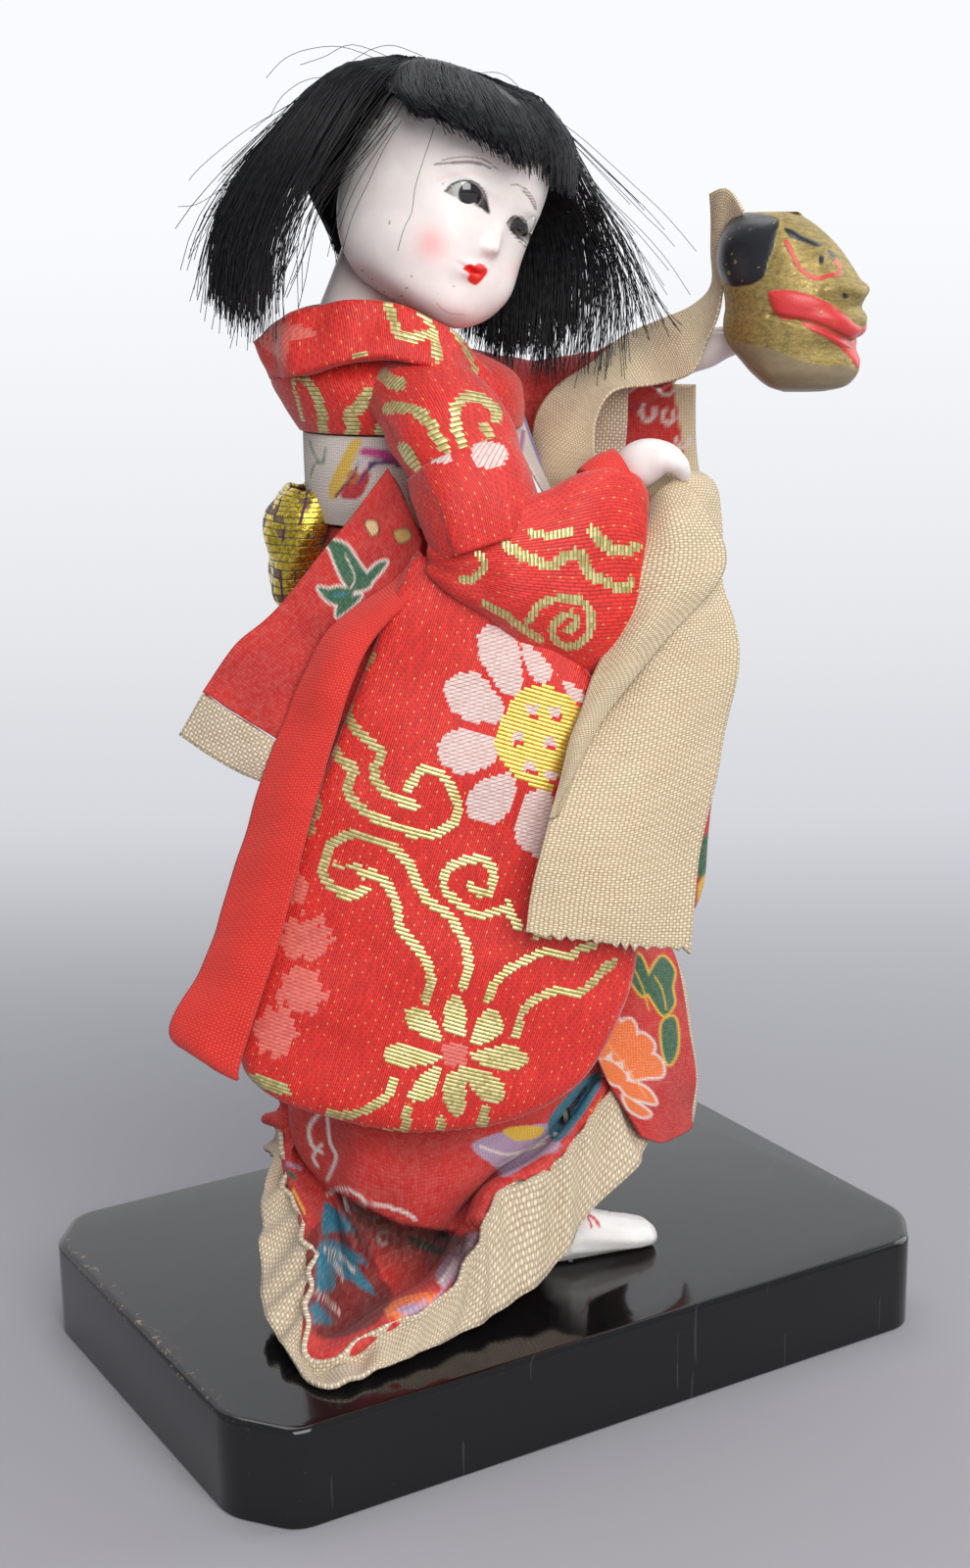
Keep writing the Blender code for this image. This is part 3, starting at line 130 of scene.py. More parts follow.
def normals(grid, closed=False):
    acrossWay = (np.roll(grid, -1, 1) - np.roll(grid, 1, 1)) / 2 if closed else np.gradient(grid, axis=1)
    normal = np.cross(acrossWay, np.gradient(grid, axis=0))
    return normal / np.maximum(np.linalg.norm(normal, axis=-1, keepdims=True), 1e-9)


def pushed(grid, amount, closed=False):
    amount = np.asarray(amount, float)
    return grid + normals(grid, closed) * (amount[..., None] if amount.ndim else amount)


def waves(x, y, size, seed, count=10):
    # slow unevenness in every direction, about -1 to 1
    picks = np.random.default_rng(seed)
    total = 0.0
    for _ in range(count):
        angle, wave, phase = picks.uniform(0, math.tau), size * picks.uniform(0.7, 1.6), picks.uniform(0, math.tau)
        total = total + np.sin((x * math.cos(angle) + y * math.sin(angle)) * math.tau / wave + phase)
    return total / math.sqrt(count)


def places(grid, size):
    # each grid point's place on the flat cloth, in millimetres
    across, down = np.meshgrid(np.linspace(0, 1, grid.shape[1]), np.linspace(0, 1, grid.shape[0]))
    return across * size[0], down * size[1]


# meshes

def placed(name, mesh):
    piece = bpy.data.objects.new(name, mesh)
    bpy.context.scene.collection.objects.link(piece)
    return piece


def meshPiece(name, points, faces, finish):
    mesh = bpy.data.meshes.new(name)
    faces = faces.tolist() if isinstance(faces, np.ndarray) else faces
    mesh.from_pydata(np.asarray(points).tolist(), [], faces)
    mesh.validate()
    mesh.materials.append(finish)
    mesh.shade_smooth()
    return placed(name, mesh)


def reworked(piece, change):
    work = bmesh.new()
    work.from_mesh(piece.data)
    change(work)
    work.to_mesh(piece.data)
    work.free()
    return piece


def faceOut(work):
    bmesh.ops.recalc_face_normals(work, faces=work.faces)
    if work.calc_volume(signed=True) < 0:
        bmesh.ops.reverse_faces(work, faces=work.faces)


def applied(piece):
    # the piece with its modifiers worked in
    graph = bpy.context.evaluated_depsgraph_get()
    mesh = bpy.data.meshes.new_from_object(piece.evaluated_get(graph), preserve_all_data_layers=True, depsgraph=graph)
    piece.modifiers.clear()
    piece.data = mesh
    mesh.shade_smooth()
    return piece


def setThreads(mesh, x, y):
    # the flat cloth's own places, one pair for each corner of the faces
    layer = mesh.uv_layers.new(name="threads")
    corner = np.empty(len(mesh.loops), np.int32)
    mesh.loops.foreach_get("vertex_index", corner)
    layer.data.foreach_set("uv", np.stack([x[corner], y[corner]], -1).ravel())


def setColours(mesh, name, colours, domain):
    colours = np.asarray(colours, float)
    if domain == "CORNER":
        counts = np.empty(len(mesh.polygons), np.int32)
        mesh.polygons.foreach_get("loop_total", counts)
        colours = np.repeat(colours, counts, axis=0)
    full = np.ones((len(colours), 4))
    full[:, :colours.shape[1]] = colours
    mesh.attributes.new(name, "FLOAT_COLOR", domain).data.foreach_set("color", full.ravel())


def quads(index, closed=False):
    here, after = (index, np.roll(index, -1, 1)) if closed else (index[:, :-1], index[:, 1:])
    return np.stack([here[:-1], after[:-1], after[1:], here[1:]], -1).reshape(-1, 4)


def ringFaces(down, across):
    index = np.arange(down * across).reshape(down, across)
    return quads(index, True).tolist() + [index[0, ::-1].tolist(), index[-1].tolist()]


def rimFaces(outer, inner, picks, closed, way):
    # the strip between a fine edge and a coarse one
    for step in range(len(picks) - (not closed)):
        last = picks[step + 1] if step + 1 < len(picks) else len(outer)
        run = [int(outer[place % len(outer)]) for place in range(picks[step], last + 1)]
        yield (run + [int(inner[(step + 1) % len(picks)]), int(inner[step])])[::way]


def shell(name, grid, size, half, finish, closed=False, weave=None, print_=None, coarse=1, at=None):
    # cloth with a front, a back and a rim; weave paints each cell, print_ paints each point
    # coarse takes only every so many points for the side out of sight, and below zero swaps the sides
    half, coarse = (half, coarse) if coarse > 0 else (-np.asarray(half), -coarse)
    down, across = grid.shape[:2]
    index = np.arange(down * across).reshape(down, across)
    rowPicks = sorted({*range(0, down, coarse), down - 1})
    colPicks = sorted({*range(0, across, coarse)} | (set() if closed else {across - 1}))
    picks = np.ix_(rowPicks, colPicks)
    inner = np.arange(len(rowPicks) * len(colPicks)).reshape(len(rowPicks), -1) + down * across
    cells = np.concatenate([quads(index, closed), quads(inner, closed)[:, [0, 3, 2, 1]]])
    faces = cells.tolist()
    rims = [(index[0], inner[0], colPicks, closed, -1), (index[-1], inner[-1], colPicks, closed, 1)]
    if not closed:
        rims += [(index[:, 0], inner[:, 0], rowPicks, False, 1), (index[:, -1], inner[:, -1], rowPicks, False, -1)]
    for rim in rims:
        faces += rimFaces(*rim)
    outside, inside = pushed(grid, half, closed), pushed(grid, -np.asarray(half), closed)
    points = np.concatenate([outside.reshape(-1, 3), inside[picks].reshape(-1, 3)])
    piece = meshPiece(name, world(points), faces, finish)
    setThreads(piece.data, *[np.concatenate([side.ravel(), side[picks].ravel()]) for side in at or places(grid, size)])
    if weave:
        colours = np.zeros((len(faces), 3))
        colours[:len(cells)] = weave(world(points[cells].mean(1)))
        setColours(piece.data, "weave", colours, "CORNER")
    if print_:
        setColours(piece.data, "print", print_(world(points)), "POINT")
    return reworked(piece, faceOut)


def rings(name, grid, finish, print_=None):
    # closed rings joined one to the next, the ends filled
    points = world(grid.reshape(-1, 3))
    piece = meshPiece(name, points, ringFaces(*grid.shape[:2]), finish)
    setThreads(piece.data, *[side.ravel() for side in places(grid, (1.0, 1.0))])
    if print_:
        setColours(piece.data, "print", print_(points), "POINT")
    return reworked(piece, faceOut)


def ellipses(rows, sides, levels):
    # level ellipses: middle, then the two half widths
    rows = smoothRun(rows, levels)
    angle = np.linspace(0, math.tau, sides, endpoint=False)
    grid = np.repeat(rows[:, None, :3], sides, 1)
    grid[..., 0] += rows[:, 3:4] * np.cos(angle)
    grid[..., 1] += rows[:, 4:5] * np.sin(angle)
    return grid


def tube(rows, sides, levels):
    # a bent tube: middle points, then half width and half height
    rows, long = evenRun(rows, levels)
    middles = rows[:, :3]
    course = np.gradient(middles, axis=0)
    course /= np.linalg.norm(course, axis=1, keepdims=True)
    flat = np.cross(course, upWay)
    size = np.linalg.norm(flat, axis=1, keepdims=True)
    flat = np.where(size < 0.2, np.array([0.0, 1.0, 0.0]), flat / np.maximum(size, 1e-6))
    tall = np.cross(flat, course)
    angle = np.linspace(0, math.tau, sides, endpoint=False)[None, :, None]
    grid = middles[:, None] + flat[:, None] * rows[:, None, 3:4] * np.cos(angle)
    return grid + tall[:, None] * rows[:, None, 4:5] * np.sin(angle), long


def uprights(rows, sides, levels):
    # upright rings along a level course: middle, half depth, half height
    rows, long = evenRun(rows, levels)
    angle = np.linspace(0, math.tau, sides, endpoint=False)
    grid = np.repeat(rows[:, None, :3], sides, 1)
    grid[..., 1] += rows[:, 3:4] * np.cos(angle)
    grid[..., 2] += rows[:, 4:5] * np.sin(angle)
    return grid, long


# drawing on cloth: strokes and filled shapes, in any flat pair of coordinates

def toLine(x, y, line):
    # the distance of each place from a broken line
    line = np.asarray(line, float)
    best = np.full(len(x), 1e9)
    for start, end in zip(line[:-1], line[1:]):
        way = end - start
        part = np.clip(((x - start[0]) * way[0] + (y - start[1]) * way[1]) / max(way @ way, 1e-9), 0, 1)
        best = np.minimum(best, np.hypot(x - start[0] - part * way[0], y - start[1] - part * way[1]))
    return best


def withinShape(x, y, shape):
    shape = np.asarray(shape, float)
    inside = np.zeros(len(x), bool)
    for start, end in zip(shape, np.roll(shape, -1, 0)):
        if start[1] == end[1]:
            continue
        crosses = (start[1] > y) != (end[1] > y)
        inside ^= crosses & (x < (end[0] - start[0]) * (y - start[1]) / (end[1] - start[1]) + start[0])
    return inside


class Drawing:
    # colours laid one over another at scattered places
    def __init__(self, x, y, ground, soft=1.0):
        self.x, self.y, self.soft = np.asarray(x, float), np.asarray(y, float), soft
        self.colour = np.tile(np.asarray(ground, float), (len(self.x), 1))

    def lay(self, mask, colour):
        self.colour += np.asarray(mask, float)[:, None] * (np.asarray(colour, float) - self.colour)

    def edge(self, distance):
        return np.clip(0.5 - distance / self.soft, 0, 1)

    def stroke(self, line, width, colour, smooth=True):
        line = smoothRun(line, 6 * len(line)) if smooth and len(line) > 2 else line
        self.lay(self.edge(toLine(self.x, self.y, line) - width / 2), colour)

    def fill(self, shape, colour, smooth=True, grow=0.0):
        shape = smoothRun(shape, 6 * len(shape), True) if smooth else np.asarray(shape, float)
        distance = toLine(self.x, self.y, np.concatenate([shape, shape[:1]]))
        distance = np.where(withinShape(self.x, self.y, shape), -distance, distance)
        self.lay(self.edge(distance - grow), colour)

    def marks(self, table):
        # laid in turn: kind, shape, colour, and width or growth
        for kind, shape, colour, width in table:
            if kind == "fill":
                self.fill(shape, colour, grow=width)
            else:
                self.stroke(shape, width, colour)

    def petals(self, middle, colour, inner, outer, width, count, first=0.0, squash=1.0):
        # a ring of blunt petals about a middle
        for step in range(count):
            angle = math.radians(first) + math.tau * step / count
            ahead = (self.x - middle[0]) * math.cos(angle) + (self.y - middle[1]) / squash * math.sin(angle)
            aside = (self.y - middle[1]) / squash * math.cos(angle) - (self.x - middle[0]) * math.sin(angle)
            part = (ahead - inner) / (outer - inner)
            half = width / 2 * np.sqrt(np.clip(np.sin(np.pi * np.clip(part, 0, 1) ** 0.75), 0, 1))
            self.lay((part > 0) & (part < 1) & (np.abs(aside) < half), colour)


def pairs(numbers):
    return list(zip(numbers[::2], numbers[1::2]))


def line(colour, width, *numbers):
    return "line", pairs(numbers), colour, width


def fill(colour, grow, *numbers):
    return "fill", pairs(numbers), colour, grow


def srgb(red, green, blue):
    # a colour as it looks, 0 to 255, as the light that it stands for
    return tuple(value / 255 / 12.92 if value < 10.3 else ((value / 255 + 0.055) / 1.055) ** 2.4
                 for value in (red, green, blue))


# shader sums

class Flow:
    # a socket whose value takes part in sums written as Python
    def __init__(self, paint, socket):
        self.paint, self.socket = paint, socket

    def math(self, operation, *others):
        return self.paint.add("ShaderNodeMath", {"operation": operation}, dict(enumerate((self, *others))))

    def __add__(self, other):
        return self.math("ADD", other)

    def __sub__(self, other):
        return self.math("SUBTRACT", other)

    def __mul__(self, other):
        return self.math("MULTIPLY", other)

    def __rsub__(self, other):
        return self.paint.add("ShaderNodeMath", {"operation": "SUBTRACT"}, {0: other, 1: self})

    __radd__ = __add__
    __rmul__ = __mul__

    def floor(self):
        return self.math("FLOOR")

    def ridge(self):
        # 0 at each whole number, 1 half way between
        return self.math("PINGPONG", 0.5) * 2.0

    def over(self, edge, soft=0.02):
        # 0 below the edge and 1 above it
        node = {"interpolation_type": "SMOOTHSTEP"}
        return self.paint.add("ShaderNodeMapRange", node, {0: self, 1: edge - soft, 2: edge + soft, 3: 0.0, 4: 1.0})

    def clamp(self):
        return self.paint.add("ShaderNodeClamp", {}, {0: self})


class Paint:
    # one material, with a Principled shader at its end
    def __init__(self, name, look, **sockets):
        self.material = bpy.data.materials.new(name)
        self.material.use_nodes = True
        self.material.diffuse_color = (*look, 1.0)
        self.tree = self.material.node_tree
        self.shader = self.tree.nodes["Principled BSDF"]
        self.set(**{"Base Color": (*look, 1.0)}, **sockets)

    def add(self, kind, settings, sockets, out=0):
        node = self.tree.nodes.new("ShaderNode" + kind.removeprefix("ShaderNode"))
        for name, value in settings.items():
            setattr(node, name, value)
        self.join(node, sockets)
        return Flow(self, node.outputs[out])

    def join(self, node, sockets):
        for key, value in sockets.items():
            if isinstance(value, Flow):
                self.tree.links.new(value.socket, node.inputs[key])
            elif value is not None:
                node.inputs[key].default_value = value

    def set(self, **sockets):
        self.join(self.shader, {key.replace("_", " "): value for key, value in sockets.items()})

    def spot(self):
        # Object coordinates, in millimetres
        return self.add("VectorMath", {"operation": "SCALE"}, {0: self.add("TexCoord", {}, {}, 3), 3: 1000.0})

    def parts(self, vector, count=3):
        return [self.add("SeparateXYZ", {}, {0: vector}, out) for out in range(count)]

    def threads(self):
        # along and across places on the flat cloth
        return self.parts(self.add("UVMap", {"uv_map": "threads"}, {}), 2)

    def attribute(self, name):
        return self.add("Attribute", {"attribute_name": name}, {})

    def channels(self, colour):
        return [self.add("SeparateColor", {}, {0: colour}, out) for out in (0, 1, 2)]

    def noise(self, vector, scale, detail=2.0, rough=0.5):
        return self.add("TexNoise", {}, {"Vector": vector, "Scale": scale, "Detail": detail, "Roughness": rough})

    def chance(self, x, y):
        return self.add("TexWhiteNoise", {"noise_dimensions": "2D"}, {"Vector": self.join3(x, y)})

    def stretched(self, vector, scale):
        return self.add("Mapping", {}, {"Vector": vector, "Scale": scale})

    def mix(self, mask, first, second, blend="MIX"):
        first, second = [(*side, 1.0) if isinstance(side, tuple) else side for side in (first, second)]
        return self.add("Mix", {"data_type": "RGBA", "blend_type": blend}, {0: mask, 6: first, 7: second}, 2)

    def join3(self, x, y, z=0.0):
        return self.add("CombineXYZ", {}, {0: x, 1: y, 2: z})

    def bump(self, height, distance, strength=1.0, normal=None):
        # height 0 to 1 over a distance in millimetres
        values = {"Height": height, "Distance": distance * mm, "Strength": strength, "Normal": normal}
        return self.add("Bump", {}, values)


# finishes

def lacquerFinish():
    black = (0.0055, 0.0055, 0.006)
    paint = Paint("blackLacquer", black, Specular_IOR_Level=0.34, Coat_Weight=0.34, Coat_Roughness=0.05)
    spot = paint.spot()
    smear = paint.noise(spot, 0.06, 4.0, 0.6)
    dust = paint.noise(spot, 2.6, 2.0, 0.6).over(0.76, 0.02)
    x, y, z = paint.parts(spot)
    scratch = paint.noise(paint.join3(x * 0.04 + y * 0.02, y * 1.4 - x * 0.9, z * 0.04), 1.3, 2.0).over(0.715, 0.006)
    # paint chipped off along the near end's upper edge
    edge = z.over(13.9, 0.4) * paint.noise(spot, 0.75, 4.0, 0.75).over(0.60, 0.02)
    chip = edge * (1.0 - (board["length"] / 2 + x).over(2.0, 0.8)) * y.over(-34.0, 6.0)
    dull = paint.mix(dust * 0.35 + scratch * 0.10, black, (0.25, 0.24, 0.23))
    ripple = paint.bump(paint.noise(spot, 0.11, 2.0), 0.10, 0.35)
    paint.set(Base_Color=paint.mix(chip, dull, srgb(150, 128, 104)),
              Roughness=(smear.over(0.5, 0.25) * 0.06 + 0.075 + dust * 0.3 + chip * 0.5).clamp(),
              Normal=paint.bump(chip * -1.0 + dust * 0.4, 0.12, 0.8, ripple))
    return paint.material


def shellWhiteFinish():
    paint = Paint("shellWhite", srgb(238, 230, 228), Subsurface_Weight=0.06, Subsurface_Scale=0.002,
                  Coat_Weight=0.25, Coat_Roughness=0.30)
    spot = paint.spot()
    cloud = paint.noise(spot, 0.22, 3.0)
    speck = paint.noise(spot, 1.7, 1.0).over(0.80, 0.015)
    body = paint.mix(cloud.over(0.5, 0.3), srgb(238, 229, 226), srgb(232, 224, 222))
    paint.set(Base_Color=paint.mix(speck * 0.6, body, srgb(120, 100, 90)), Roughness=cloud * 0.12 + 0.36,
              Normal=paint.bump(paint.noise(spot, 1.3, 3.0), 0.05, 0.5))
    return paint.material


def faceFinish():
    # burnished shell white with its painting carried by the points of the head
    paint = Paint("faceWhite", srgb(234, 225, 224), Subsurface_Weight=0.25, Subsurface_Scale=0.004,
                  Coat_Weight=0.16, Coat_Roughness=0.34)
    spot = paint.spot()
    cloud = paint.noise(spot, 0.20, 3.0)
    speck = paint.noise(spot, 0.85, 2.0).over(0.765, 0.012)
    body = paint.mix(cloud.over(0.5, 0.3) * 0.6, paint.attribute("print"), (0.80, 0.785, 0.785), "MULTIPLY")
    paint.set(Base_Color=paint.mix(speck * 0.55, body, srgb(96, 74, 66)), Roughness=cloud * 0.10 + 0.34,
              Normal=paint.bump(paint.noise(spot, 1.2, 3.0), 0.04, 0.45))
    return paint.material


def glassEyeFinish():
    paint = Paint("eyeGlass", (0.02, 0.02, 0.025), Roughness=0.04, Coat_Weight=1.0, Coat_Roughness=0.02)
    streak = paint.noise(paint.spot(), 2.5, 2.0).over(0.5, 0.3)
    paint.set(Base_Color=paint.mix(streak * 0.12, paint.attribute("print"), (0.05, 0.055, 0.06)))
    return paint.material


def hairFinish(name, gloss, rough):
    paint = Paint(name, (0.009, 0.010, 0.012), Specular_IOR_Level=gloss, Sheen_Weight=0.05)
    shade = paint.noise(paint.spot(), 0.9, 3.0)
    paint.set(Base_Color=paint.mix(shade.over(0.55, 0.25), (0.006, 0.0065, 0.008), (0.026, 0.026, 0.030)),
              Roughness=shade * 0.22 + rough)
    return paint.material


def woodFinish(name, light, dark, scale):
    paint = Paint(name, light)
    grain = paint.noise(paint.stretched(paint.spot(), (2.0, 2.0, 0.15)), scale, 5.0, 0.65)
    paint.set(Base_Color=paint.mix(grain.over(0.5, 0.2), light, dark), Roughness=grain * 0.3 + 0.55,
              Normal=paint.bump(grain, 0.15, 0.6))
    return paint.material


def wireFinish():
    iron = (0.30, 0.29, 0.27)
    paint = Paint("ironWire", iron, Metallic=1.0)
    spot = paint.spot()
    rust = paint.noise(spot, 0.8, 4.0).over(0.62, 0.08)
    paint.set(Base_Color=paint.mix(rust, iron, srgb(120, 66, 38)), Roughness=rust * 0.4 + 0.38,
              Normal=paint.bump(paint.noise(spot, 4.0, 2.0), 0.03, 0.5))
    return paint.material


def goldPaintFinish():
    # brushed antique gold with red and black painting, worn along its ridges
    paint = Paint("goldPaint", srgb(150, 132, 84))
    spot = paint.spot()
    brush = paint.noise(paint.stretched(spot, (0.5, 1.0, 1.6)), 1.1, 6.0, 0.75)
    flake = paint.noise(spot, 3.4, 2.0).over(0.66, 0.05)
    covered = paint.channels(paint.attribute("cover"))[0]
    gold = paint.mix(brush.over(0.5, 0.22), srgb(124, 108, 68), srgb(184, 162, 98))
    gold = paint.mix(flake * 0.45, gold, srgb(226, 202, 120))
    paint.set(Base_Color=paint.mix(covered, gold, paint.attribute("print")), Metallic=(1.0 - covered) * 0.62,
              Roughness=(0.52 - flake * 0.16 - covered * 0.24 + brush * 0.10).clamp(),
              Normal=paint.bump(brush * 0.6 + covered * 0.9, 0.10, 0.6))
    return paint.material


# the board: an eight-sided slab, its corners and edges rounded, lacquered black

board = {
    "length": 120.0, "width": 80.0, "height": 15.0, "cornerAlong": 6.4, "cornerAcross": 8.4,
    "cornerRound": 2.8, "topRound": 1.05, "footRound": 0.4,
}


def makeBoard():
    half, wide = board["length"] / 2, board["width"] / 2
    corners = []
    for signX, signY in ((1, 1), (-1, 1), (-1, -1), (1, -1)):
        pair = [np.array([signX * half, signY * (wide - board["cornerAcross"])]),
                np.array([signX * (half - board["cornerAlong"]), signY * wide])]
        corners += pair if signX * signY > 0 else pair[::-1]
    outline = []
    for place, corner in enumerate(corners):
        back, ahead = corners[place - 1] - corner, corners[(place + 1) % 8] - corner
        start = corner + back / np.linalg.norm(back) * board["cornerRound"]
        end = corner + ahead / np.linalg.norm(ahead) * board["cornerRound"]
        for part in np.linspace(0, 1, 9):
            outline.append(start * (1 - part)**2 + corner * 2 * (1 - part) * part + end * part**2)
    bend = np.linspace(0, math.pi / 2, 8)
    steps = [(board["footRound"] * (1 - math.sin(b)), board["footRound"] * (1 - math.cos(b))) for b in bend]
    top = board["height"] - board["topRound"]
    steps += [(board["topRound"] * (1 - math.cos(b)), top + board["topRound"] * math.sin(b)) for b in bend]
    grid = np.array([[(x * (1 - 2 * inset / board["length"]), y * (1 - 2 * inset / board["width"]), height)
                      for x, y in outline] for inset, height in steps])
    piece = meshPiece("baseBoard", grid.reshape(-1, 3) * mm, ringFaces(*grid.shape[:2]), lacquerFinish())
    reworked(piece, faceOut).data.set_sharp_from_angle(angle=math.radians(40))
    return piece


# small solids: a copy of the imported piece, rounded

def rounded(node, name, finish, voxel, rounds):
    piece = placed(name, frame["nodes"][node].data.copy())
    reworked(piece, lambda work: bmesh.ops.remove_doubles(work, verts=work.verts, dist=1e-6))
    remesh = piece.modifiers.new("remesh", "REMESH")
    remesh.mode, remesh.voxel_size = "VOXEL", voxel * mm
    soften = piece.modifiers.new("soften", "SMOOTH")
    soften.factor, soften.iterations = 0.5, rounds
    applied(piece)
    piece.data.materials.clear()
    piece.data.materials.append(finish)
    return reworked(piece, faceOut)


# the hands: one closed over the ribbon, one reaching under the mask

rightHand = [
    (20.1, -16.6, 135, 2.2, 2.4), (21.6, -17.2, 136.2, 2.9, 3), (23.1, -18, 137.4, 3.2, 3.2),
    (24.7, -18.6, 138, 3, 2.9), (26.3, -19.2, 138.1, 2.7, 2.3), (27.6, -19.6, 137.6, 2.2, 1.7),
    (28.5, -19.4, 136.5, 1.5, 1.2), (29, -19, 135.4, 0.7, 0.7),
]
leftHand = [
    (29.7, 7.6, 149.2, 2.2, 2.2), (31.9, 6.6, 150.6, 2.4, 2.6), (34.1, 5.4, 151.6, 2.5, 2.8),
    (36.4, 4.2, 152.5, 2.5, 2.4), (38.4, 3, 152.8, 2.4, 1.9), (39.7, 2.2, 152.5, 1.4, 1.1),
]


def makeHand(name, rows, finish, fingers=0.0):
    # a bent tube, lightly grooved between its fingers
    grid, long = tube(rows, 96, 70)
    part = np.linspace(0, 1, 70)[:, None]
    angle = np.linspace(0, math.tau, 96, endpoint=False)[None]
    inside = np.clip(np.sin(angle), 0, 1) * np.abs(np.cos(angle * 4))**6
    groove = fingers * np.clip((part - 0.55) / 0.25, 0, 1) * inside
    middle = grid.mean(1, keepdims=True)
    return rings(name, middle + (grid - middle) * (1 - groove[..., None]), finish)


def footPrint(points):
    # white, with the red that has rubbed off the cloth
    drawn = Drawing(*seen(points), srgb(244, 240, 238), 1.0)
    red = srgb(214, 44, 40)
    drawn.marks([line(red, 3.0, 596, 1237, 606, 1243, 612, 1251), line(red, 2.4, 614, 1218, 619, 1226, 622, 1236),
                 line(red, 2.0, 600, 1242, 604, 1252)])
    return drawn.colour


# the head: rings from chin to crown, with the face worked in as soft bumps

head = {
    "height": 35.0, "lean": 27.0, "faceTurn": 42.0, "middle": (-4.6, 0.5, 173.2), "sides": 290, "levels": 250,
    "neckFoot": (-16.73, 3.03, 155.98), "neckLean": 20.0, "neckRadius": 5.5, "neckLength": 15.0,
    "eyeRadius": 3.0,
}
# heights from the chin to the crown: half width, reach of the face, reach of the back, as shares of its height
skull = [
    (-0.436, 0.1, 0.34, -0.15), (-0.414, 0.215, 0.388, -0.05), (-0.352, 0.318, 0.424, 0.12),
    (-0.26, 0.368, 0.434, 0.27), (-0.13, 0.388, 0.424, 0.38), (0.04, 0.392, 0.41, 0.435),
    (0.2, 0.384, 0.392, 0.45), (0.33, 0.345, 0.35, 0.415), (0.43, 0.255, 0.262, 0.32),
    (0.485, 0.125, 0.138, 0.165), (0.5, 0.03, 0.035, 0.04),
]
# soft bumps: place across and up, width, height and rise
bumps = [
    (0.014, -0.024, 0.034, 0.07, 0.016), (0.022, -0.072, 0.036, 0.034, 0.03), (0.052, -0.084, 0.022, 0.02, 0.008),
    (-0.006, -0.084, 0.022, 0.02, 0.006), (0.036, -0.124, 0.028, 0.018, -0.006),
    (0.062, -0.168, 0.046, 0.016, 0.018), (0.064, -0.204, 0.038, 0.015, 0.018),
    (0.063, -0.186, 0.056, 0.007, -0.012), (0.066, -0.248, 0.07, 0.03, -0.01), (0.19, -0.19, 0.13, 0.12, 0.02),
    (-0.185, -0.205, 0.13, 0.12, 0.046), (0.16, 0.045, 0.085, 0.05, -0.01), (-0.16, 0.045, 0.085, 0.05, -0.01),
    (0.16, 0.118, 0.09, 0.02, 0.006), (-0.16, 0.118, 0.09, 0.02, 0.006), (0.06, -0.35, 0.11, 0.06, 0.018),
]
eyePlaces = {1: (0.155, 0.286, 0.070), -1: (-0.155, 0.286, 0.070)}
# the lids' outlines, and each iris as its middle and radii, in the photograph's pixels: the near eye, then the far one
lids = {
    1: [(455.5, 195), (462, 189.5), (471.5, 186), (481, 186.5), (488.5, 191.5), (494, 200), (498, 216.5), (491, 212),
        (485.5, 208), (477, 203), (468, 200), (460, 198)],
    -1: [(518.5, 227.5), (524, 222), (532, 223.5), (537.5, 230), (540, 239), (538.5, 253),
         (532, 247), (526.5, 241), (521, 235)],
}
irises = {1: (480, 198, 12.2, 13.0), -1: (529.7, 234, 9.4, 12.5)}


def headFrame():
    lean = Matrix.Rotation(math.radians(head["lean"]), 3, "Y")
    spin = Matrix.Rotation(math.radians(head["faceTurn"]), 3, "Z")
    forward = lean @ (spin @ Vector((0.0, -1.0, 0.0)))
    top = lean @ Vector((0.0, 0.0, 1.0))
    return np.array([forward.cross(top), forward, top])


def headPlace(local):
    # from the head's own frame, in shares of its height, to the doll's, in millimetres
    return np.array(head["middle"]) + (np.asarray(local) * head["height"]) @ headFrame()


# what is painted on the face, in the photograph's pixels, laid in turn
faceMarks = [
    line(srgb(246, 226, 222), 4, 447, 184, 462, 178, 480, 176, 496, 180),
    line(srgb(150, 130, 120), 1.2, 450, 164, 464, 160.8, 480, 160.3, 495, 163.4, 508, 173),
    line(srgb(176, 164, 158), 3.6, 462, 166, 480, 165.4, 490, 167.4),
    line(srgb(122, 106, 100), 1.7, 444, 167.5, 462, 166, 480, 165.4, 492, 167.8, 501, 171.6),
    line(srgb(150, 130, 120), 1.2, 522, 188.6, 530.5, 189, 539, 195.6, 545.5, 205.5, 547.5, 215),
    line(srgb(126, 110, 104), 1.6, 534, 194.5, 541, 202.5, 546, 213),
    line(srgb(46, 42, 44), 2.4, 454.5, 195.5, 461, 188.6, 471, 185, 481.5, 185.4, 489.5, 190.6, 495.2, 199.6, 499,
     217), line(srgb(150, 142, 140), 1.2, 455, 196, 468, 201, 477, 204, 486, 209, 498, 217.4),
    line(srgb(46, 42, 44), 2, 517.6, 228, 523.6, 221.2, 532.6, 222.6, 538.6, 229.6, 541.2, 239, 539.4, 254),
    line(srgb(150, 142, 140), 1.2, 518, 229, 521, 236, 526, 242, 538.5, 254),
    # painted shade: a faint darker line down the side of the nose, and one under the chin
    line(srgb(232, 220, 214), 1.6, 503, 232, 506, 246, 503, 256, 508, 261),
    line(srgb(208, 190, 184), 1.1, 446, 309, 451, 315, 460, 320, 474, 321),
    fill(srgb(236, 36, 22), 0.6, 473, 274, 480, 270, 484.5, 272, 489, 269.5, 497, 275, 493.5, 283, 487, 289.5, 483,
     290, 477.5, 285, 479.5, 279.5), line(srgb(176, 18, 14), 0.9, 476, 275.5, 485, 277.5, 494, 276),
]
specks = [
    (353, 267), (370, 276), (384, 294), (356, 290), (415, 294), (402, 306), (463, 292), (452, 187), (366, 298),
    (392, 298), (347, 262), (380, 285), (410, 302), (420, 282),
]


